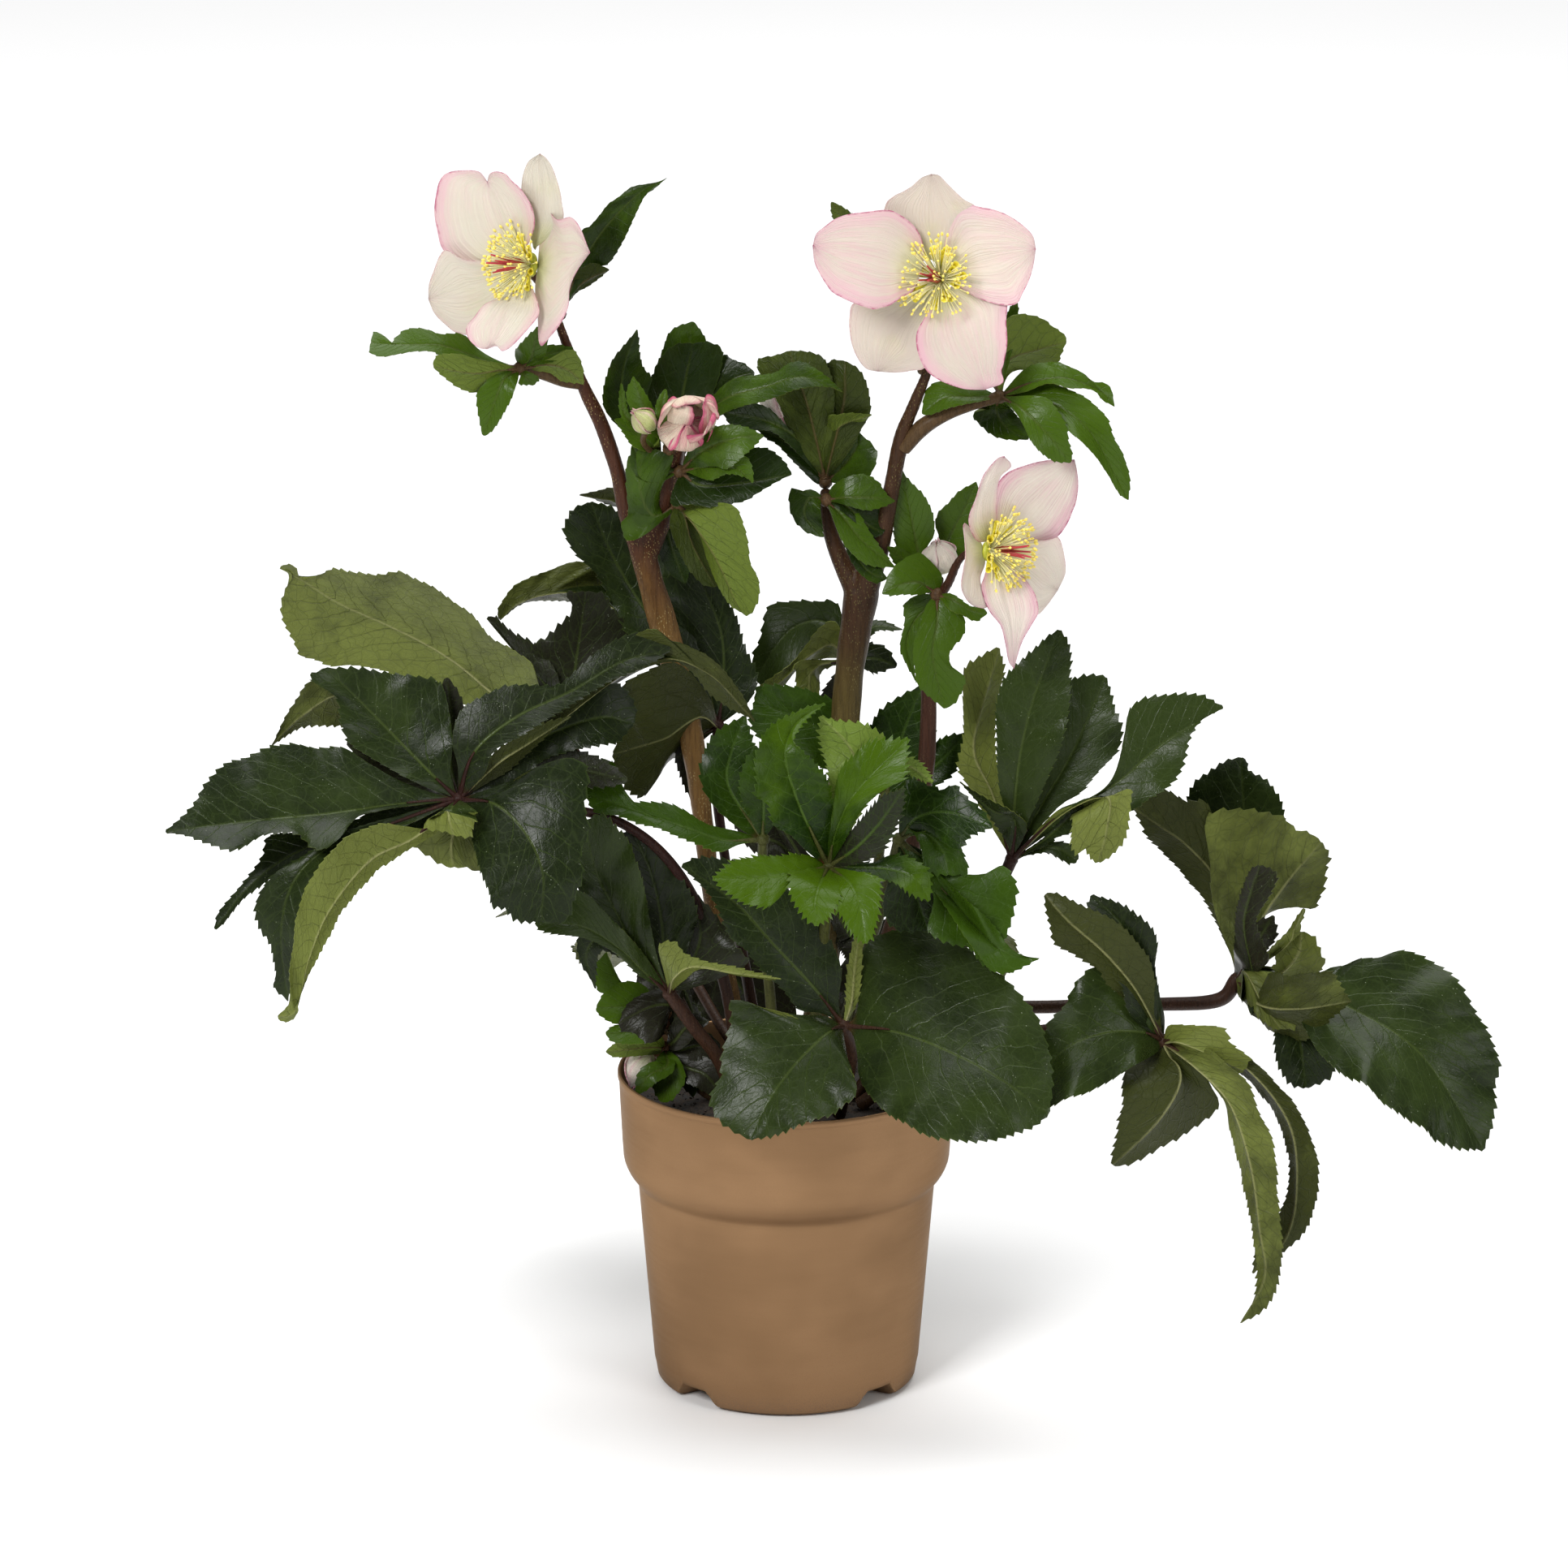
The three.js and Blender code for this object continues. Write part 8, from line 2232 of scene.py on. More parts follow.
class Whorl(GrowthTree):
    """Stands one shape again and again round an axis.

    The shapes lie on a golden spiral between two radii and lean out further the
    further out they stand.
    """

    INPUTS = (
        ("Shape", "NodeSocketObject"),
        ("Count", "NodeSocketInt"),
        ("Inner Radius", "NodeSocketFloat"),
        ("Outer Radius", "NodeSocketFloat"),
        ("Inner Lean", "NodeSocketFloat"),
        ("Outer Lean", "NodeSocketFloat"),
        ("Unevenness", "NodeSocketFloat"),
        ("Smallest", "NodeSocketFloat"),
        ("Seed", "NodeSocketInt"),
        ("Material", "NodeSocketMaterial"),
    )

    def between(self, low: Any, high: Any, share: Any) -> bpy.types.NodeSocket:
        """Returns the value that lies a share of the way from low to high."""
        return self.maths("ADD", low, self.maths("MULTIPLY", self.maths("SUBTRACT", high, low), share))

    def _build(self) -> bpy.types.NodeSocket:
        """Adds the nodes and returns what they make.

        Returns:
            The socket that carries the whorl.
        """
        given = self.given
        index = self.node("GeometryNodeInputIndex", {})
        share = self.maths("SQRT", self.maths("DIVIDE", self.maths("ADD", index, 0.5), given["Count"]))
        seed, uneven = given["Seed"], given["Unevenness"]
        less = self.maths("MULTIPLY", uneven, -1.0)
        second, third, fourth = (self.maths("ADD", seed, step) for step in (7, 19, 31))
        turn = self.maths("MULTIPLY", index, GOLDEN_ANGLE)
        turn = self.maths("ADD", turn, self.chance(less, uneven, seed))
        radius = self.between(given["Inner Radius"], given["Outer Radius"], share)
        lean = self.between(given["Inner Lean"], given["Outer Lean"], share)
        lean = self.maths("ADD", lean, self.chance(less, uneven, second))
        x = self.maths("MULTIPLY", radius, self.maths("COSINE", turn))
        y = self.maths("MULTIPLY", radius, self.maths("SINE", turn))
        place = self.node("ShaderNodeCombineXYZ", {0: x, 1: y, 2: 0.0})
        points = self.node("GeometryNodePoints", {"Count": given["Count"], "Position": place})
        angles = self.node("ShaderNodeCombineXYZ", {0: self.chance(less, uneven, third), 1: lean, 2: turn})
        turned = self.node("FunctionNodeEulerToRotation", {0: angles})
        return self.stand(points, turned, self.chance(given["Smallest"], 1.0, fourth))

    def grow(
        self, name: str, shape: bpy.types.Object, ring: Ring, skin: bpy.types.Material, seed: int, at: Matrix
    ) -> bpy.types.Object:
        """Runs the tree and keeps what it makes as a plain mesh.

        Args:
            name: What the piece is called.
            shape: What stands there.
            ring: How many there are and how they stand.
            skin: Their material.
            seed: Sets their unevenness.
            at: Where the whorl stands and the way that it looks.

        Returns:
            The piece, its place in its mesh.
        """
        values = {
            "Shape": shape,
            "Count": ring.count,
            "Inner Radius": ring.inner * MM,
            "Outer Radius": ring.outer * MM,
            "Inner Lean": ring.upright,
            "Outer Lean": ring.leaning,
            "Unevenness": ring.unevenness,
            "Smallest": SMALLEST_PART,
            "Seed": seed,
            "Material": skin,
        }
        return self.run(name, values, bpy.data.meshes.new(name + "_seed"), at)


class Crumbs(GrowthTree):
    """Strews one shape over a surface."""

    INPUTS = (
        ("Ground", "NodeSocketGeometry"),
        ("Shape", "NodeSocketObject"),
        ("Density", "NodeSocketFloat"),
        ("Smallest", "NodeSocketFloat"),
        ("Largest", "NodeSocketFloat"),
        ("Seed", "NodeSocketInt"),
        ("Material", "NodeSocketMaterial"),
    )

    def _build(self) -> bpy.types.NodeSocket:
        """Adds the nodes and returns what they make.

        Returns:
            The socket that carries the crumbs.
        """
        given = self.given
        seed = given["Seed"]
        ground = {"Mesh": given["Ground"], "Density": given["Density"], "Seed": seed}
        points = self.node("GeometryNodeDistributePointsOnFaces", ground, "Points")
        angles = {1: (FULL_TURN,) * 3, "Seed": seed}
        turn = self.node("FunctionNodeRandomValue", angles, data_type="FLOAT_VECTOR")
        return self.stand(points, turn, self.chance(given["Smallest"], given["Largest"], seed))


def hidden_shape(shell: Shell, name: str) -> bpy.types.Object:
    """Makes a shape that only Geometry Nodes use; it is removed once they have run."""
    return shell.make(name, ())


def remove(shape: bpy.types.Object) -> None:
    """Takes a helper shape out of the scene."""
    bpy.data.objects.remove(shape)


def looking(place: Triple, looks: Triple) -> Matrix:
    """Returns the matrix that stands +Z at a place, looking a given way, in metres."""
    turn = Vector((0, 0, 1)).rotation_difference(Vector(unit(looks).tolist())).to_matrix().to_4x4()
    return Matrix.Translation(Vector((seen(place) * MM).tolist())) @ turn


def keep(piece: bpy.types.Object, slot: str, *nodes: str) -> bpy.types.Object:
    """Attaches a finished piece to the root body and hides the imported parts that it stands for.

    Args:
        piece: The piece.
        slot: The name of the slot that its finish is for, which is only logged.
        nodes: The nodes that it stands for.

    Returns:
        The piece.
    """
    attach(piece, "root")
    if nodes:
        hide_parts(*nodes)
    LOG.info("%s: %d faces, slot %s", piece.name, len(piece.data.polygons), slot)
    return piece


def route(stalk: Stalk, spacing: float = 2.6) -> tuple[Array, Array]:
    """Returns a stalk's middle line and the radius at each point of it.

    Args:
        stalk: The stalk.
        spacing: How far apart the points lie, in millimetres.

    Returns:
        The points, one a row, and the radii.
    """
    points = np.array([seen(p) for p in stalk.points])
    length = float(lengthways(points)[-1])
    t = np.linspace(0, 1, max(5, round(length / spacing)))
    radii = np.interp(t, np.linspace(0, 1, len(stalk.radii)), stalk.radii)
    return curve_at(points, t), radii


@dataclass
class Foliage:
    """A leaf, or a group of bracts, from its hub.

    Attributes:
        name: The node that it stands for.
        spray: Its blades.
        edge: How its blades are cut.
        materials: Upper side, lower side and stalk.
        seed: Sets its own waves.
        hub_radius: The lump where the blades meet.
    """

    name: str
    spray: Spray
    edge: Edge
    materials: tuple[bpy.types.Material, ...]
    seed: int
    hub_radius: float = 2.6

    def build(self) -> bpy.types.Object:
        """Returns:
            The piece.
        """
        shell = Shell()
        hub = seen(self.spray.hub)
        rng = np.random.default_rng(self.seed)
        for i, blade in enumerate(self.spray.blades):
            rib = np.array([hub, *(seen(p) for p in blade.rib)])
            BladeSheet(blade, rib, self.edge, self.seed * 31 + i).add_to(shell)
            self._add_rib_root(shell, rib, blade)
        shell.add_lump(hub, (self.hub_radius,) * 3, 2, rng)
        if self.spray.stalk:
            path, radii = route(self.spray.stalk)
            shell.add_tube(path, radii, 12, 2, wobble=0.05)
        piece = shell.make(self.name + "_living", self.materials)
        return keep(piece, self.spray.tone.value, self.name)

    def _add_rib_root(self, shell: Shell, rib: Array, blade: Blade) -> None:
        """Adds the thick start of a blade's midrib, on its lower side.

        Args:
            shell: Where it goes.
            rib: The real points of the blade's midrib.
            blade: The blade.
        """
        t = np.linspace(0, 0.2, 7)
        face = unit(np.atleast_2d(np.asarray(blade.face, float))[0])
        size = 0.5 + 0.5 * min(1.0, (blade.width or 30) / 30)
        path = curve_at(rib, t) - face * np.linspace(0.2, 0.9, 7)[:, None] * size
        shell.add_tube(path, np.linspace(1.25, 0.35, 7) * size, 8, 2)


@dataclass
class Stems:
    """The flowering stems, each a set of stalks grown together at its forks.

    Attributes:
        voxel: The grain that the stalks are merged at.
        finishes: The skin of each stem by node.
    """

    finishes: Mapping[str, StemFinish]
    voxel: float = 0.96

    def build(self) -> None:
        """Makes every stem."""
        for name, stalks in STEMS.items():
            shell = Shell()
            for stalk in stalks:
                path, radii = route(stalk, 2.2)
                shell.add_tube(path, self._swollen(path, radii), 16, 0, wobble=0.045)
            piece = shell.make(name + "_living", (self.finishes[name].make(),))
            self._merge(piece)
            keep(piece, "stem", name)

    @staticmethod
    def _swollen(path: Array, radii: Array) -> Array:
        """Returns the radii with the slow swellings of a grown stem."""
        s = lengthways(path)
        return radii * (1 + 0.03 * np.sin(s / 7.0) + 0.02 * np.sin(s / 3.1 + 1.0))

    def _merge(self, piece: bpy.types.Object) -> None:
        """Merges a piece's overlapping stalks into one skin.

        Args:
            piece: The piece.
        """
        remesh = piece.modifiers.new("Merge", "REMESH")
        remesh.mode = "VOXEL"
        remesh.voxel_size = self.voxel * MM
        smooth = piece.modifiers.new("Soften", "SMOOTH")
        smooth.factor = 0.5
        smooth.iterations = 6
        materials = list(piece.data.materials)
        mesh = settle(piece)
        mesh.materials.clear()
        for material in materials:
            mesh.materials.append(material)
        mesh.polygons.foreach_set("material_index", [0] * len(mesh.polygons))
        mesh.shade_smooth()


@dataclass
class Blossoms:
    """The open flowers: sepals, nectaries, stamens and pistils.

    Attributes:
        whorl: The tree that stands the small parts.
        stamens: How the stamens stand.
        nectaries: How the nectaries stand.
        pistils: How the pistils stand.
        stamen_length: The length of a stamen.
        nectary_length: That of a nectary.
        pistil_length: That of a pistil.
    """

    whorl: Whorl
    stamens: Ring = Ring(150, 0.9, 2.9, upright=0.06, leaning=0.95, unevenness=0.2)
    nectaries: Ring = Ring(17, 3.0, 4.2, upright=0.66, leaning=1.08, unevenness=0.12)
    pistils: Ring = Ring(5, 0.2, 1.1, upright=0.02, leaning=0.12, unevenness=0.05)
    stamen_length: float = 15.5
    nectary_length: float = 9.0
    pistil_length: float = 17.0

    def build(self) -> None:
        """Makes every flower."""
        stamen, nectary, pistil = self._stamen(), self._nectary(), self._pistil()
        stamens = SmallFinish("stamen", (0.80, 0.77, 0.46), (0.86, 0.70, 0.15), 0.5, 0.15, 0.2).make()
        nectaries = SmallFinish("nectary", (0.50, 0.52, 0.05), (0.82, 0.70, 0.05), 0.35, 0.2, 0.2).make()
        pistils = SmallFinish("pistil", (0.40, 0.10, 0.05), (0.45, 0.02, 0.05), 0.4, 0.3, 0.1).make()
        for number, (name, flower) in enumerate(FLOWERS.items()):
            # Each flower gets its own copy of the sepal material, lighter or darker as painted light and
            # shade.
            self._sepals(name, flower, number, SepalFinish(flower.cream).make("sepal_" + name))
            at = looking(flower.middle, flower.looks)
            seed = 11 + number
            cup = self.whorl.grow("nectaries_" + name, nectary, self.nectaries, nectaries, seed, at)
            keep(cup, "flower_centre", "centre_" + name)
            brush = self.whorl.grow("stamens_" + name, stamen, self.stamens, stamens, seed, at)
            keep(brush, "flower_centre")
            self._receptacle(name, flower, nectaries)
            styles = self.whorl.grow("pistils_" + name, pistil, self.pistils, pistils, seed, at)
            keep(styles, "flower_centre")
        for shape in (stamen, nectary, pistil):
            remove(shape)

    def _sepals(self, name: str, flower: Flower, number: int, material: bpy.types.Material) -> None:
        """Makes the five sepals of one flower.

        Args:
            name: The flower's name.
            flower: The flower.
            number: Sets the waves of its sepals.
            material: Their skin.
        """
        for i, blade in enumerate(flower.sepals, 1):
            shell = Shell()
            rib = np.array([seen(p) for p in blade.rib])
            BladeSheet(blade, rib, SEPAL_EDGE, 900 + number * 10 + i).add_to(shell, (0, 0))
            piece = shell.make(f"sepal_{name}_{i}_living", (material,))
            keep(piece, "sepal", f"sepal_{name}_{i}")

    def _receptacle(self, name: str, flower: Flower, material: bpy.types.Material) -> None:
        """Makes the small disc that a flower's parts stand on.

        Args:
            name: The flower's name.
            flower: The flower.
            material: Its skin.
        """
        shell = Shell()
        shell.add_lump(seen(flower.middle), (4.6, 4.6, 4.6), 0, np.random.default_rng(4))
        points = shell.points[0] - seen(flower.middle)
        axis = unit(flower.looks)
        inwards = points @ axis
        shell.points[0] = points - np.outer(inwards * 0.55, axis) + seen(flower.middle) - axis * 1.2
        keep(shell.make("receptacle_" + name, (material,)), "flower_centre")

    def _stamen(self) -> bpy.types.Object:
        """Returns one stamen, standing on its foot.

        Returns:
            The shape, out of sight.
        """
        shell = Shell()
        z = np.linspace(0, 1, 5)
        path = np.stack((1.3 * z**2, 0 * z, self.stamen_length * z), axis=1)
        shell.add_tube(path, np.full(5, 0.2), 4, 0)
        top = path[-1]
        knob = np.linspace(-0.8, 0.8, 5)
        anther = np.stack((top[0] + 0 * knob, 0 * knob, top[2] + knob), axis=1)
        shell.add_tube(anther, np.array((0.25, 0.52, 0.6, 0.5, 0.2)), 5, 0)
        half = len(shell.maps["grow"][0])
        shell.maps["grow"][0] = shell.maps["grow"][0] * 0.35
        shell.maps["grow"][1] = np.ones((shell.count - half, 3))
        return hidden_shape(shell, "stamen_shape")

    def _nectary(self) -> bpy.types.Object:
        """Returns one nectary, a small trumpet with an oblique mouth.

        Returns:
            The shape, out of sight.
        """
        shell = Shell()
        length = self.nectary_length
        outer = ((0.4, 0.0), (0.7, 0.18), (1.05, 0.5), (1.4, 0.8), (1.7, 1.0))
        inner = ((1.45, 0.99), (1.15, 0.84), (0.65, 0.6))
        sides = 8
        points, grow = [], []
        for r, h in (*outer, *inner):
            for j in range(sides):
                turn = FULL_TURN * j / sides
                slant = 0.55 * math.cos(turn) * h**2
                points.append((r * math.cos(turn) * 0.85, r * math.sin(turn), length * h + slant))
                grow.append((h, h, h))
        rings = len(outer) + len(inner)
        faces = ring_faces(rings, sides)
        faces.append(tuple(reversed(range(sides))))
        faces.append(tuple((rings - 1) * sides + j for j in range(sides)))
        shell.add(np.array(points), faces, 0, grow=np.array(grow))
        return hidden_shape(shell, "nectary_shape")

    def _pistil(self) -> bpy.types.Object:
        """Returns one pistil, swollen below and bent a little at its tip.

        Returns:
            The shape, out of sight.
        """
        shell = Shell()
        z = np.linspace(0, 1, 10)
        bend = 0.9 * z**3
        path = np.stack((bend, 0 * z, self.pistil_length * z), axis=1)
        radii = np.interp(z, (0, 0.15, 0.4, 0.6, 0.95, 1), (0.6, 1.15, 1.0, 0.5, 0.36, 0.3))
        shell.add_tube(path, radii, 8, 0)
        return hidden_shape(shell, "pistil_shape")


@dataclass(frozen=True)
class Bud:
    """A flower bud, wrapped in its five sepals.

    Attributes:
        base: The place of its foot.
        looks: The real way that its tip points.
        length: From foot to tip.
        radius: At its thickest.
        mouth: The radius of its opening.
        pink: How pink it is.
        green: Whether it is still green.
        stalk: Its own stalk, where it has one.
        sepals: The sepals that have begun to open round it.
    """

    base: Triple
    looks: Triple
    length: float
    radius: float
    mouth: float
    pink: float = 0.5
    green: bool = False
    stalk: Union[Stalk, None] = None
    sepals: tuple[Blade, ...] = ()


BUDS: dict[str, Bud] = {
    "bud_half_open": Bud(
        (-40, 378, -13), (0.2, -0.85, 0.45), 16, 9.2, 0.7, pink=1.3,
        sepals=(
            petal(((-44, 376, -12), (-44, 380, -22), (-42, 385, -29), (-38, 388, -31)), TO_FRONT,
                  ((-47, 376), (-49.5, 380), (-49.7, 383.5), (-47.5, 387), (-44, 391)),
                  ((-40, 374), (-37.5, 378), (-37, 382), (-36.5, 384.5), (-36, 387)), tint=1, wave=0,
                  fold=0.02, curl=0.5),
            petal(((-36, 374, -14), (-35, 373, -24), (-33, 374, -30), (-30, 377, -33)), (0.1, -0.6, -0.75),
                  ((-42, 375), (-44, 373.8), (-41, 372), (-36, 373.5)),
                  ((-30, 376), (-27, 377.5), (-26.3, 380), (-27.5, 382)), tint=2, wave=0, curl=0.4),
            petal(((-30, 376, -14), (-28, 380, -24), (-28.5, 385, -30), (-31, 389, -32)), TO_FRONT_RIGHT,
                  ((-30.5, 373), (-31.5, 378), (-30.3, 383.7), (-31, 387)),
                  ((-28, 373.5), (-25.7, 379), (-24.5, 385), (-26, 390.4), (-29, 392)), tint=1.6, wave=0,
                  curl=0.4),
            petal(((-38, 388, -12), (-38, 392, -20), (-38, 391, -28), (-38, 388, -33)), (-0.1, -0.55, 0.8),
                  ((-46, 385), (-49.3, 385), (-46, 391), (-42, 388)),
                  ((-29, 388), (-26, 389), (-29, 393), (-33, 390)), tint=0.6, wave=0, curl=0.4),
        ),
    ),
    "bud_small": Bud(
        (-50, 379, -27), (-0.75, -0.2, 0.7), 11, 4.2, 0.6, green=True,
        stalk=Stalk(((-43.5, 366, -3), (-50, 369, -8), (-54, 374, -18), (-51.3, 380.2, -27.4)),
                    (1.3, 1.1, 1.1, 1.3)),
    ),
    "bud_mid": Bud(
        (6, 381, 19), (-0.55, -0.1, 0.82), 28, 9, 0.8,
        stalk=Stalk(((14.7, 359, 15), (13, 369, 19), (5.3, 382.2, 18.9)), (1.8, 1.5, 1.8)),
    ),
    "bud_right": Bud((59, 324, 9), (-0.15, -0.35, 0.9), 14, 6.6, 0.8, pink=0.35),
    "bud_low": Bud((-53, 131, -8), (-0.45, -0.1, -0.85), 16, 5.6, 0.6, pink=0.45),
}


@dataclass
class Buds:
    """The closed and half-open buds.

    Attributes:
        reach: How far round the bud one sepal goes to each side, in radians.
        thickness: The sepals'.
        stalk_skin: The material of their stalks.
    """

    stalk_skin: bpy.types.Material
    reach: float = 0.98
    thickness: float = 0.45

    def build(self) -> None:
        """Makes every bud."""
        for number, (name, bud) in enumerate(BUDS.items()):
            if bud.green:
                finish = SepalFinish(cream=(0.36, 0.42, 0.12), green=(0.2, 0.27, 0.05))
            elif bud.sepals:
                finish = SepalFinish(
                    cream=(0.62, 0.54, 0.40), blush=(0.50, 0.09, 0.17), margin=(0.30, 0.03, 0.08)
                )
            else:
                finish = SepalFinish()
            shell = Shell()
            for order in range(5):
                self._wrap(shell, bud, order, np.random.default_rng(500 + number * 10 + order))
            for order, blade in enumerate(bud.sepals):
                rib = np.array([seen(p) for p in blade.rib])
                BladeSheet(blade, rib, SEPAL_EDGE, 560 + order).add_to(shell, (0, 0))
            if bud.stalk:
                path, radii = route(bud.stalk, 1.5)
                shell.add_tube(path, radii, 10, 1)
            self._core(shell, bud)
            piece = shell.make(name + "_living", (finish.make(name + "_sepals"), self.stalk_skin))
            keep(piece, "bud", name)

    def _core(self, shell: Shell, bud: Bud) -> None:
        """Adds the closed heart of a bud, so that nothing shows through it.

        Args:
            shell: Where it goes.
            bud: The bud.
        """
        at = looking(bud.base, bud.looks)
        u = np.linspace(0.02, 0.86 if bud.mouth < 2 else 0.6, 9)
        axis = np.array(at.to_3x3() @ Vector((0, 0, 1)))
        path = seen(bud.base) + axis * (u * bud.length)[:, None]
        radii = self._girth(bud, u) * 0.88
        radii[-1] *= 0.3
        shell.add_tube(path, radii, 20, 0)

    def _girth(self, bud: Bud, u: Array) -> Array:
        """Returns a bud's radius at shares of its length."""
        round_part = bud.radius * np.sin(np.pi * np.minimum(u + 0.1, 1.0) ** 0.92) ** 0.7
        return np.maximum(round_part, bud.mouth * smoothstep(0.5, 1.0, u))

    def _wrap(self, shell: Shell, bud: Bud, order: int, rng: np.random.Generator) -> None:
        """Adds one of the five sepals round a bud.

        Args:
            shell: Where it goes.
            bud: The bud.
            order: How far out it lies, from 0 to 4.
            rng: The source of its folds.
        """
        u = np.linspace(0, 1, 26)
        w = np.linspace(-1, 1, 17)
        turn = order * FULL_TURN * 2 / 5 + rng.uniform(-0.1, 0.1)
        narrow = (np.clip(u, 0.02, 1) ** 0.35 * np.clip(1.08 - u**5, 0, 1))[:, None]
        angle = turn + w[None, :] * self.reach * narrow
        girth = self._girth(bud, u)[:, None] + 0.22 * order - 0.4
        folds = rng.uniform(0, FULL_TURN, 3)
        crumple = 0.06 if bud.mouth > 2 else 0.02
        fold = np.sin(angle * 7 + folds[0] + u[:, None] * 3)
        fold = fold + 0.7 * np.sin(angle * 13 + folds[1] - u[:, None] * 5)
        girth = girth * (1 + crumple * fold * np.sin(np.pi * np.clip(u, 0, 1))[:, None])
        lift = 0.5 * np.abs(w[None, :]) ** 5 * np.sin(np.pi * u)[:, None]
        radius = girth + lift
        ring = np.stack((np.cos(angle), np.sin(angle), np.zeros_like(angle)), axis=2)
        height = np.repeat((u * bud.length)[:, None], len(w), axis=1)
        height = height + (0.6 * np.sin(w * 5 + folds[2]) * u[:, None] ** 4 if bud.mouth > 2 else 0.0)
        turned = np.array(looking((0, 0, 0), bud.looks).to_3x3())
        origin = seen(bud.base)

        def side(extra: float) -> Array:
            """Returns the sheet, drawn out by a little.

            Args:
                extra: How far it is drawn out.

            Returns:
                Its points, in rows.
            """
            local = ring * np.maximum(radius + extra, 0.1)[:, :, None]
            local[:, :, 2] = height + extra * u[:, None] ** 3
            return local @ turned.T + origin

        n, m = len(u), len(w)
        along = np.repeat(u[:, None], m, axis=1)
        across = np.repeat(w[None, :], n, axis=0)
        seed = np.full((n, m), rng.uniform(0, 1))
        maps = np.stack((along, across, seed), axis=2).reshape(-1, 3)
        spans = np.stack((height, across * bud.radius, along), axis=2).reshape(-1, 3)
        tints = np.full((n * m, 3), bud.pink)
        sides = side(self.thickness / 2), side(-self.thickness / 2)
        BladeSheet.skin(shell, *sides, (0, 0), blade=maps, span=spans, grow=tints)


# The pot's outline as (radius, height), over the rim and down to its inner floor. Round its
# foot: how far outside the foot's radius, how far above the underside, and the least height.
FOOT_ROUND = ((1.0, 0.3, 0.5), (3.0, 0.5, 1.6), (3.6, 0.7, 2.4), (4.1, 1.0, 5.6))
WALL_SHARES = (0.1, 0.2, 0.3, 0.4, 0.5, 0.6, 0.7, 0.8, 0.9, 0.97)
SHOULDER = (
    (57.25, 80.2), (57.6, 81.0), (58.8, 82.6), (60.2, 84.3), (61.2, 85.9), (62.0, 87.6), (62.6, 89.3),
)
BAND = ((SKIRT_RADIUS, 91.0), (63.3, 97.0), (63.7, 105.0), (64.1, 113.0), (64.4, 120.0), (64.5, 121.9))
RIM = (
    (64.75, 122.4), (RIM_RADIUS, 122.9), (RIM_RADIUS, 124.2), (64.8, 124.8), (64.3, RIM_HEIGHT),
    (63.9, 124.8), (63.6, 124.2),
)
LINING = (
    (63.2, 118.0), (62.7, 105.0), (61.9, 91.0), (60.0, 86.5), (56.4, 81.0), (56.0, 76.0), (50.3, 9.5),
    (48.5, 9.0), (0.0, 9.0),
)


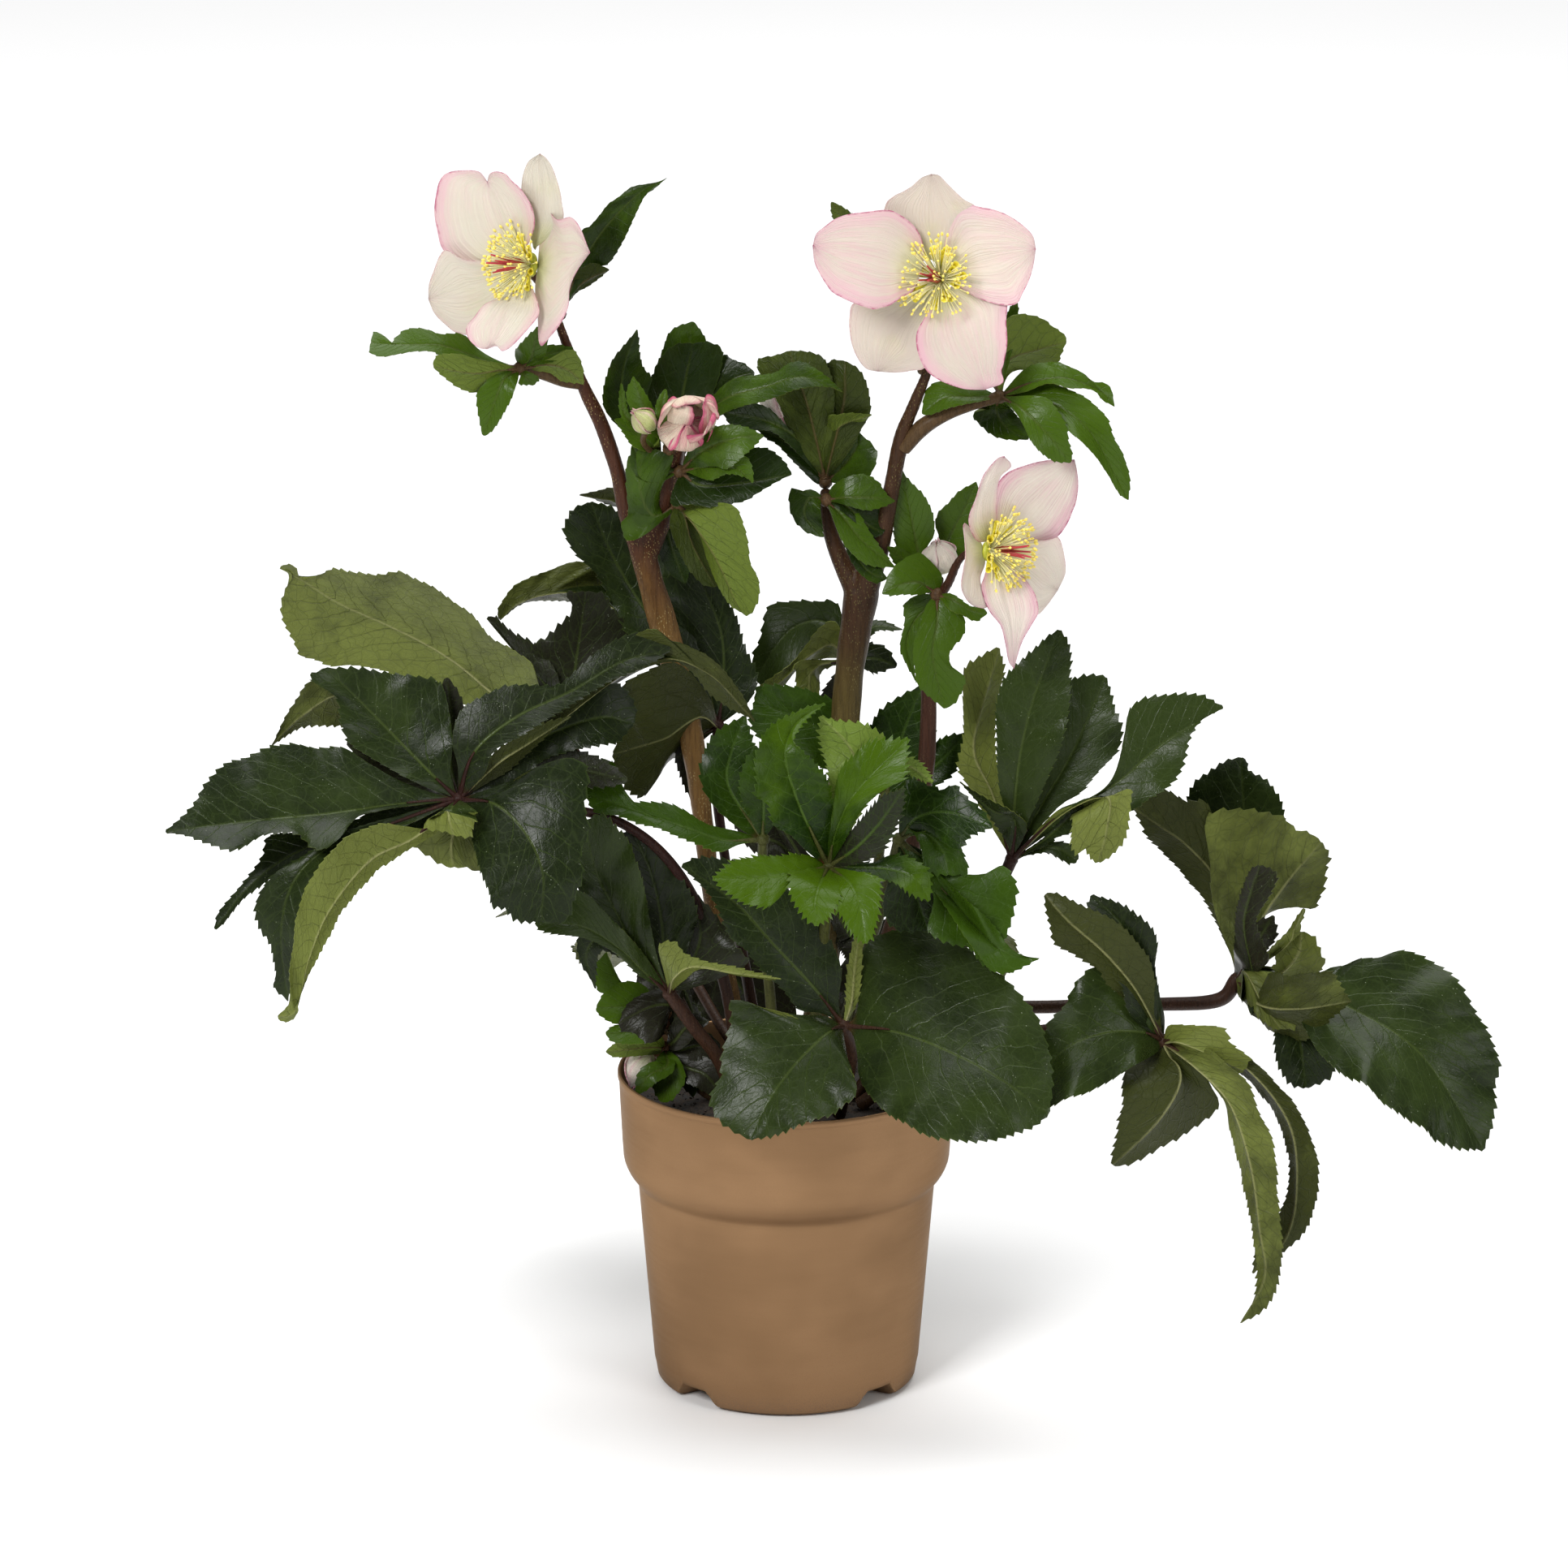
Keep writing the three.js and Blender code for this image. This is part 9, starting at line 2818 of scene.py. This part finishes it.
@dataclass
class Pot:
    """The pot: a tapering wall under a wide plain band, on a foot with four drains.

    Attributes:
        segments: How many sides it is turned with.
        drain_foot: Half a drain's width at the ground.
        drain_roof: Half its width at the top.
        dimple: The shallow round mark on its front: height, radius and depth.
        dimple_turn: Where on the pot the mark is.
        sharp: The angle from which its edges are sharp.
        drill_height: The middle of the drill that cuts a drain's hole.
        drill_length: The drill's length.
    """

    segments: int = 360
    drain_foot: float = 10.5
    drain_roof: float = 5.5
    dimple: Triple = (41.8, 2.4, 0.3)
    dimple_turn: float = math.radians(268.5)
    sharp: float = math.radians(38)
    drill_height: float = 6.0
    drill_length: float = 20.0

    def _lifted(self, angle: float, radius: float) -> float:
        """Returns how high a drain lifts the pot's underside at a place.

        Args:
            angle: The way from the axis, in radians.
            radius: The distance from the axis.

        Returns:
            The height, in millimetres.
        """
        step = FULL_TURN / DRAIN_COUNT
        off = (angle - DRAIN_TURN) % step
        off = min(off, step - off)
        aside = radius * math.sin(off)
        share = (self.drain_foot - aside) / (self.drain_foot - self.drain_roof)
        return DRAIN_HEIGHT * min(max(share, 0.0), 1.0)

    def _profile(self, angle: float) -> list[tuple[float, float]]:
        """Returns the outline of the wall at one angle, from the middle of its foot to its inner floor.

        Args:
            angle: The angle, in radians.

        Returns:
            The outline as (radius, height).
        """
        low = self._lifted(angle, DRAIN_INNER + 14)
        beside = self._lifted(angle, DRAIN_INNER)
        points = [(0.0, 0.0), (20.0, 0.0), (DRAIN_INNER - 1, 0.0), (DRAIN_INNER, beside * 0.06)]
        points += [(DRAIN_INNER + 0.4, beside * 0.94), (DRAIN_INNER + 1.4, beside)]
        points += [(38.0, low), (44.0, low), (FOOT_RADIUS - 0.6, low), (FOOT_RADIUS, low + 0.12)]
        points += [(FOOT_RADIUS + out, max(low + above, least)) for out, above, least in FOOT_ROUND]
        points.append((HEEL_RADIUS, HEEL_HEIGHT))
        for share in WALL_SHARES:
            radius = HEEL_RADIUS + (NECK_RADIUS - HEEL_RADIUS) * share
            points.append((radius, HEEL_HEIGHT + (NECK_HEIGHT - HEEL_HEIGHT) * share))
        return [*points, *SHOULDER, *BAND, *RIM, *LINING]

    def build(self, material: bpy.types.Material) -> bpy.types.Object:
        """Makes the pot.

        Args:
            material: Its skin.

        Returns:
            The piece.
        """
        rings = []
        for i in range(self.segments):
            angle = FULL_TURN * i / self.segments
            rings.append([self._point(angle, r, z) for r, z in self._profile(angle)])
        grid = np.array(rings)
        n, m = grid.shape[:2]
        index = np.arange(n * m).reshape(n, m)
        turned = np.roll(index, -1, axis=0)
        quads = np.stack((index[:, :-1], turned[:, :-1], turned[:, 1:], index[:, 1:]), axis=2)
        shell = Shell()
        shell.add(grid.reshape(-1, 3), quads.reshape(-1, 4), 0)
        piece = shell.make("pot_shell", (material,))
        self._close(piece)
        self._drill(piece)
        return keep(piece, "pot", "pot")

    def _point(self, angle: float, radius: float, height: float) -> Triple:
        """Returns a point of the wall, pressed in at the dimple.

        Args:
            angle: The way from the axis, in radians.
            radius: The distance from the axis.
            height: The height.

        Returns:
            The point x, y, z.
        """
        at, size, depth = self.dimple
        if radius > 45 and abs(height - at) < 12:
            off = math.hypot((angle - self.dimple_turn) * radius, height - at)
            radius -= depth * math.exp(-((off / size) ** 4))
        return (radius * math.cos(angle), radius * math.sin(angle), height)

    def _close(self, piece: bpy.types.Object) -> None:
        """Merges the seam and poles and turns the faces outward.

        Args:
            piece: The piece.
        """
        made = bmesh.new()
        made.from_mesh(piece.data)
        bmesh.ops.remove_doubles(made, verts=made.verts, dist=1e-6)
        bmesh.ops.dissolve_degenerate(made, edges=made.edges, dist=1e-7)
        bmesh.ops.recalc_face_normals(made, faces=made.faces)
        made.to_mesh(piece.data)
        made.free()
        piece.data.shade_smooth()
        piece.data.set_sharp_from_angle(angle=self.sharp)

    def _drill(self, piece: bpy.types.Object) -> None:
        """Cuts the round hole in the roof of each drain.

        Args:
            piece: The piece.
        """
        made = bmesh.new()
        for i in range(DRAIN_COUNT):
            turn = DRAIN_TURN + i * FULL_TURN / DRAIN_COUNT
            radius = (DRAIN_INNER + FOOT_RADIUS) / 2 * MM
            place = (radius * math.cos(turn), radius * math.sin(turn), self.drill_height * MM)
            bmesh.ops.create_cone(
                made,
                cap_ends=True,
                segments=32,
                radius1=DRAIN_HOLE * MM,
                radius2=DRAIN_HOLE * MM,
                depth=self.drill_length * MM,
                matrix=Matrix.Translation(place),
            )
        mesh = bpy.data.meshes.new("drills")
        made.to_mesh(mesh)
        made.free()
        drills = bpy.data.objects.new("drills", mesh)
        bpy.context.scene.collection.objects.link(drills)
        cut = piece.modifiers.new("Drill", "BOOLEAN")
        cut.operation = "DIFFERENCE"
        cut.solver = "EXACT"
        cut.object = drills
        settle(piece)
        remove(drills)


@dataclass
class Soil:
    """The peat in the pot and its crumbs.

    Attributes:
        edge: The radius that it reaches.
        rings: How many rings its surface has.
        segments: How many sides.
        underside: The height of its underside.
        crumb_density: How many crumbs lie on a square metre.
        crumb_sizes: The smallest and largest of them, in millimetres.
    """

    edge: float = 61.6
    rings: int = 44
    segments: int = 150
    underside: float = 100.0
    crumb_density: float = 90000.0
    crumb_sizes: tuple[float, float] = (0.4, 1.25)

    def _height(self, x: float, y: float) -> float:
        """Returns the height of the soil at a place, lumps and all.

        Args:
            x: The place, to the right.
            y: The place, to the back.

        Returns:
            The height, in millimetres.
        """
        r = math.hypot(x, y)
        smooth = np.interp(r, (0, 24, 48, 62), (SOIL_TOP, SOIL_TOP, SOIL_EDGE + 1.2, SOIL_EDGE))
        lumps = math.sin(x * 0.41 + 1.3 * math.sin(y * 0.23)) * math.sin(y * 0.37 + 0.8)
        grains = math.sin(x * 1.13 + y * 0.71) * math.sin(y * 1.37 - x * 0.52 + 1.9)
        return float(smooth) + 0.7 * lumps + 0.35 * grains - 0.4

    def build(self, material: bpy.types.Material) -> None:
        """Makes the soil and its crumbs.

        Args:
            material: The skin of the peat.
        """
        shell = Shell()
        points = [(0.0, 0.0, self._height(0, 0))]
        for i in range(1, self.rings + 1):
            radius = self.edge * i / self.rings
            for j in range(self.segments):
                turn = FULL_TURN * (j + 0.5 * (i % 2)) / self.segments
                x, y = radius * math.cos(turn), radius * math.sin(turn)
                points.append((x, y, self._height(x, y)))
        for j in range(self.segments):
            turn = FULL_TURN * (j + 0.5 * (self.rings % 2)) / self.segments
            x, y = self.edge * math.cos(turn) * 0.985, self.edge * math.sin(turn) * 0.985
            points.append((x, y, self.underside))
        faces: list[tuple[int, ...]] = []
        for j in range(self.segments):
            k = (j + 1) % self.segments
            faces.append((0, 1 + j, 1 + k))
            for i in range(self.rings):
                a = 1 + i * self.segments
                b = a + self.segments
                faces.append((a + j, b + j, b + k, a + k))
        last = 1 + self.rings * self.segments
        faces.append(tuple(last + j for j in reversed(range(self.segments))))
        shell.add(np.array(points), faces, 0)
        piece = keep(shell.make("soil_surface", (material,)), "soil", "soil")
        crumb = self._crumb()
        values = {
            "Shape": crumb,
            "Density": self.crumb_density,
            "Smallest": self.crumb_sizes[0],
            "Largest": self.crumb_sizes[1],
            "Seed": 5,
            "Material": material,
        }
        ground = self._top(piece.data).copy()
        keep(Crumbs().run("soil_crumbs", values, ground, Matrix.Identity(4)), "soil")
        remove(crumb)

    def _top(self, mesh: bpy.types.Mesh) -> bpy.types.Mesh:
        """Returns a copy of a mesh with only the faces that look up, well inside the rim.

        Args:
            mesh: The soil.

        Returns:
            The copy.
        """
        made = bmesh.new()
        made.from_mesh(mesh)
        inner = (self.edge - 2.5) * MM
        gone = [
            f
            for f in made.faces
            if f.normal.z < 0.3 or f.calc_center_median().to_2d().length > inner
        ]
        bmesh.ops.delete(made, geom=gone, context="FACES")
        top = bpy.data.meshes.new("soil_top")
        made.to_mesh(top)
        made.free()
        return top

    @staticmethod
    def _crumb() -> bpy.types.Object:
        """Returns one crumb of peat, a knobbly lump of few faces.

        Returns:
            The shape, out of sight.
        """
        made = bmesh.new()
        bmesh.ops.create_icosphere(made, subdivisions=1, radius=1.0)
        rng = np.random.default_rng(3)
        points = np.array([v.co[:] for v in made.verts]) * rng.uniform(0.6, 1.15, (len(made.verts), 1))
        faces = [[v.index for v in f.verts] for f in made.faces]
        made.free()
        shell = Shell()
        shell.add(points * (1.1, 0.8, 0.6), faces, 0)
        return hidden_shape(shell, "crumb_shape")


@dataclass
class Crown:
    """The short crown at the soil, where every stalk starts, and its old scales.

    Attributes:
        scales: How many dry scales stand round it.
        radius: The crown's.
        heights: The lowest and the tallest scale.
        widths: The narrowest and the widest.
    """

    scales: int = 11
    radius: float = 11.0
    heights: tuple[float, float] = (6, 13)
    widths: tuple[float, float] = (6, 9)

    def build(self, material: bpy.types.Material) -> None:
        """Makes the crown.

        Args:
            material: Its skin.
        """
        rng = np.random.default_rng(77)
        shell = Shell()
        shell.add_lump(np.array((0, 0, SOIL_TOP - 0.5)), (self.radius, self.radius * 0.9, 5.5), 0, rng)
        for i in range(self.scales):
            turn = i * GOLDEN_ANGLE
            out = np.array((math.cos(turn), math.sin(turn), 0.0))
            start = np.array((0, 0, SOIL_TOP)) + out * rng.uniform(6, self.radius)
            tall = rng.uniform(*self.heights)
            rib = np.array((start, start + out * 2 + (0, 0, tall * 0.5), start + out * 3 + (0, 0, tall)))
            width = rng.uniform(*self.widths)
            blade = Blade(((0, 0, 0),), width, tuple(-out), fold=0.35, swell=(0.35, 0.6))
            BladeSheet(blade, rib, BRACT_EDGE, 700 + i).add_to(shell, (0, 0))
        keep(shell.make("crown_living", (material,)), "crown", "crown")


@dataclass(frozen=True)
class Lamp:
    """A square soft light: its place and its side in metres, and its watts."""

    name: str
    at: Triple
    side: float
    watts: float


@dataclass
class Studio:
    """The camera, the floor and the lights.

    Attributes:
        pitch: How far the camera looks down, in degrees.
        lens: Its focal length.
        sensor: The width that the focal length goes with.
        shift: How far its frame is shifted sideways, as a share of its width.
        lamps: The lights.
        aim: What the lights look at, in metres.
        sky: The strength of the light from all round.
        floor: Half the floor's side, in metres.
    """

    pitch: float = 16.75
    lens: float = 188.76
    sensor: float = 36.0
    shift: float = -3 / 1932
    lamps: tuple[Lamp, ...] = (
        Lamp("key", (-1.5, -2.4, 2.2), 1.1, 88),
        Lamp("fill", (2.2, -2.2, 1.5), 1.3, 26),
        Lamp("top", (0.2, 0.5, 3.0), 2.4, 95),
    )
    aim: Triple = (0, 0, 0.25)
    sky: float = 0.24
    floor: float = 9.0

    def build(self) -> None:
        """Sets up the studio."""
        scene = bpy.context.scene
        camera = bpy.data.cameras.new("camera")
        camera.lens = self.lens
        camera.sensor_width = self.sensor
        camera.shift_x = self.shift
        camera.clip_end = 100
        eye = bpy.data.objects.new("camera", camera)
        eye.location = (0, -EYE_DISTANCE * MM, EYE_HEIGHT * MM)
        eye.rotation_euler = (math.radians(90 - self.pitch), 0, 0)
        scene.collection.objects.link(eye)
        scene.camera = eye
        self._floor()
        for lamp in self.lamps:
            self._light(lamp)
        world = bpy.data.worlds.new("studio")
        world.use_nodes = True
        background = world.node_tree.nodes["Background"]
        background.inputs["Color"].default_value = (1.0, 1.0, 1.0, 1)
        background.inputs["Strength"].default_value = self.sky
        scene.world = world
        scene.view_settings.view_transform = "Standard"

    def _floor(self) -> None:
        """Lays the pale floor."""
        material = FloorFinish().make()
        mesh = bpy.data.meshes.new("floor")
        half = self.floor
        corners = [(-half, -half, 0), (half, -half, 0), (half, half, 0), (-half, half, 0)]
        mesh.from_pydata(corners, [], [(0, 1, 2, 3)])
        mesh.materials.append(material)
        floor = bpy.data.objects.new("floor", mesh)
        bpy.context.scene.collection.objects.link(floor)

    def _light(self, lamp: Lamp) -> None:
        """Adds a light that looks at the plant.

        Args:
            lamp: The light.
        """
        light = bpy.data.lights.new(lamp.name, "AREA")
        light.size = lamp.side
        light.energy = lamp.watts
        made = bpy.data.objects.new(lamp.name, light)
        made.location = lamp.at
        towards = Vector(self.aim) - Vector(lamp.at)
        made.rotation_euler = towards.to_track_quat("-Z", "Y").to_euler()
        bpy.context.scene.collection.objects.link(made)


OLD = LeafFinish(
    "leaf_old",
    deep=(0.0080, 0.0132, 0.0036),
    fresh=(0.0205, 0.0330, 0.0064),
    vein=(0.04, 0.062, 0.012),
    midrib=(0.052, 0.074, 0.016),
    under=(0.076, 0.090, 0.018),
    under_rib=(0.055, 0.013, 0.009),
)
GREEN = LeafFinish(
    "leaf_green",
    deep=(0.0065, 0.016, 0.0014),
    fresh=(0.026, 0.056, 0.0030),
    vein=(0.042, 0.085, 0.010),
    midrib=(0.05, 0.09, 0.014),
    under=(0.062, 0.090, 0.011),
    under_rib=(0.07, 0.024, 0.012),
    dust=0.4,
)
YOUNG = LeafFinish(
    "leaf_young",
    deep=(0.0065, 0.019, 0.001),
    fresh=(0.040, 0.080, 0.002),
    vein=(0.05, 0.10, 0.008),
    midrib=(0.055, 0.10, 0.012),
    under=(0.082, 0.122, 0.018),
    under_rib=(0.12, 0.02, 0.015),
    flush=0.5,
    network=0.25,
    dust=0.2,
)
BRACT = LeafFinish(
    "bract",
    deep=(0.0075, 0.0165, 0.0012),
    fresh=(0.040, 0.079, 0.0040),
    vein=(0.04, 0.065, 0.009),
    midrib=(0.05, 0.07, 0.012),
    under=(0.060, 0.083, 0.011),
    under_rib=(0.075, 0.026, 0.013),
    rib_below=(0.09, 0.065, 0.026),
    roughness=0.24,
    network=0.12,
    dust=0.2,
)
PETIOLE = StemFinish(
    "petiole", (0.05, 0.024, 0.012), (0.03, 0.010, 0.007), (0.14, 0.085, 0.04), (120, 230), spots=0.3
)
GREEN_STALK = StemFinish(
    "green_stalk", (0.06, 0.055, 0.016), (0.06, 0.065, 0.015), (0.2, 0.17, 0.07), (120, 200), spots=0.2
)
BRACT_STALK = StemFinish(
    "bract_stalk", (0.075, 0.034, 0.016), (0.085, 0.05, 0.02), (0.2, 0.13, 0.06), (240, 440), spots=0.3
)
STEM_SKINS: dict[str, StemFinish] = {
    "stem_left": StemFinish(
        "stem_left", (0.16, 0.085, 0.024), (0.058, 0.019, 0.008), (0.36, 0.27, 0.11), (312, 350), spots=0.9
    ),
    "stem_centre": StemFinish(
        "stem_centre", (0.085, 0.060, 0.016), (0.046, 0.020, 0.008), (0.20, 0.17, 0.06), (285, 322), spots=0.6
    ),
    "stem_right": StemFinish(
        "stem_right", (0.05, 0.024, 0.011), (0.05, 0.018, 0.010), (0.16, 0.11, 0.05), (150, 320), spots=0.4
    ),
    "stem_low": StemFinish(
        "stem_low", (0.06, 0.03, 0.014), (0.08, 0.05, 0.022), (0.18, 0.12, 0.055), (115, 140), spots=0.4
    ),
}
SCALE_SKIN = StemFinish(
    "crown_scales", (0.05, 0.03, 0.02), (0.14, 0.09, 0.05), (0.2, 0.14, 0.08), (110, 126), 0.7, 0.4
)
EDGES: dict[Tone, Edge] = {
    Tone.OLD: LEAF_EDGE,
    Tone.GREEN: LEAF_EDGE,
    Tone.YOUNG: YOUNG_EDGE,
    Tone.BRACT: BRACT_EDGE,
}


def main() -> None:
    """Builds the plant, its pot and the studio."""
    logging.basicConfig(level=logging.INFO, format="%(name)s %(message)s")
    Pot().build(PotFinish().make())
    Soil().build(SoilFinish().make())
    Crown().build(SCALE_SKIN.make())
    Stems(STEM_SKINS).build()
    skins = {
        Tone.OLD: (OLD.upper(), OLD.lower(), PETIOLE.make()),
        Tone.GREEN: (GREEN.upper(), GREEN.lower(), GREEN_STALK.make()),
        Tone.BRACT: (BRACT.upper(), BRACT.lower(), BRACT_STALK.make()),
    }
    skins[Tone.YOUNG] = (YOUNG.upper(), YOUNG.lower(), skins[Tone.GREEN][2])
    for number, (name, spray) in enumerate({**LEAVES, **BRACTS}.items()):
        Foliage(name, spray, EDGES[spray.tone], skins[spray.tone], 100 + number).build()
    Blossoms(Whorl()).build()
    Buds(skins[Tone.BRACT][2]).build()
    Studio().build()


if __name__ == "__main__":
    main()
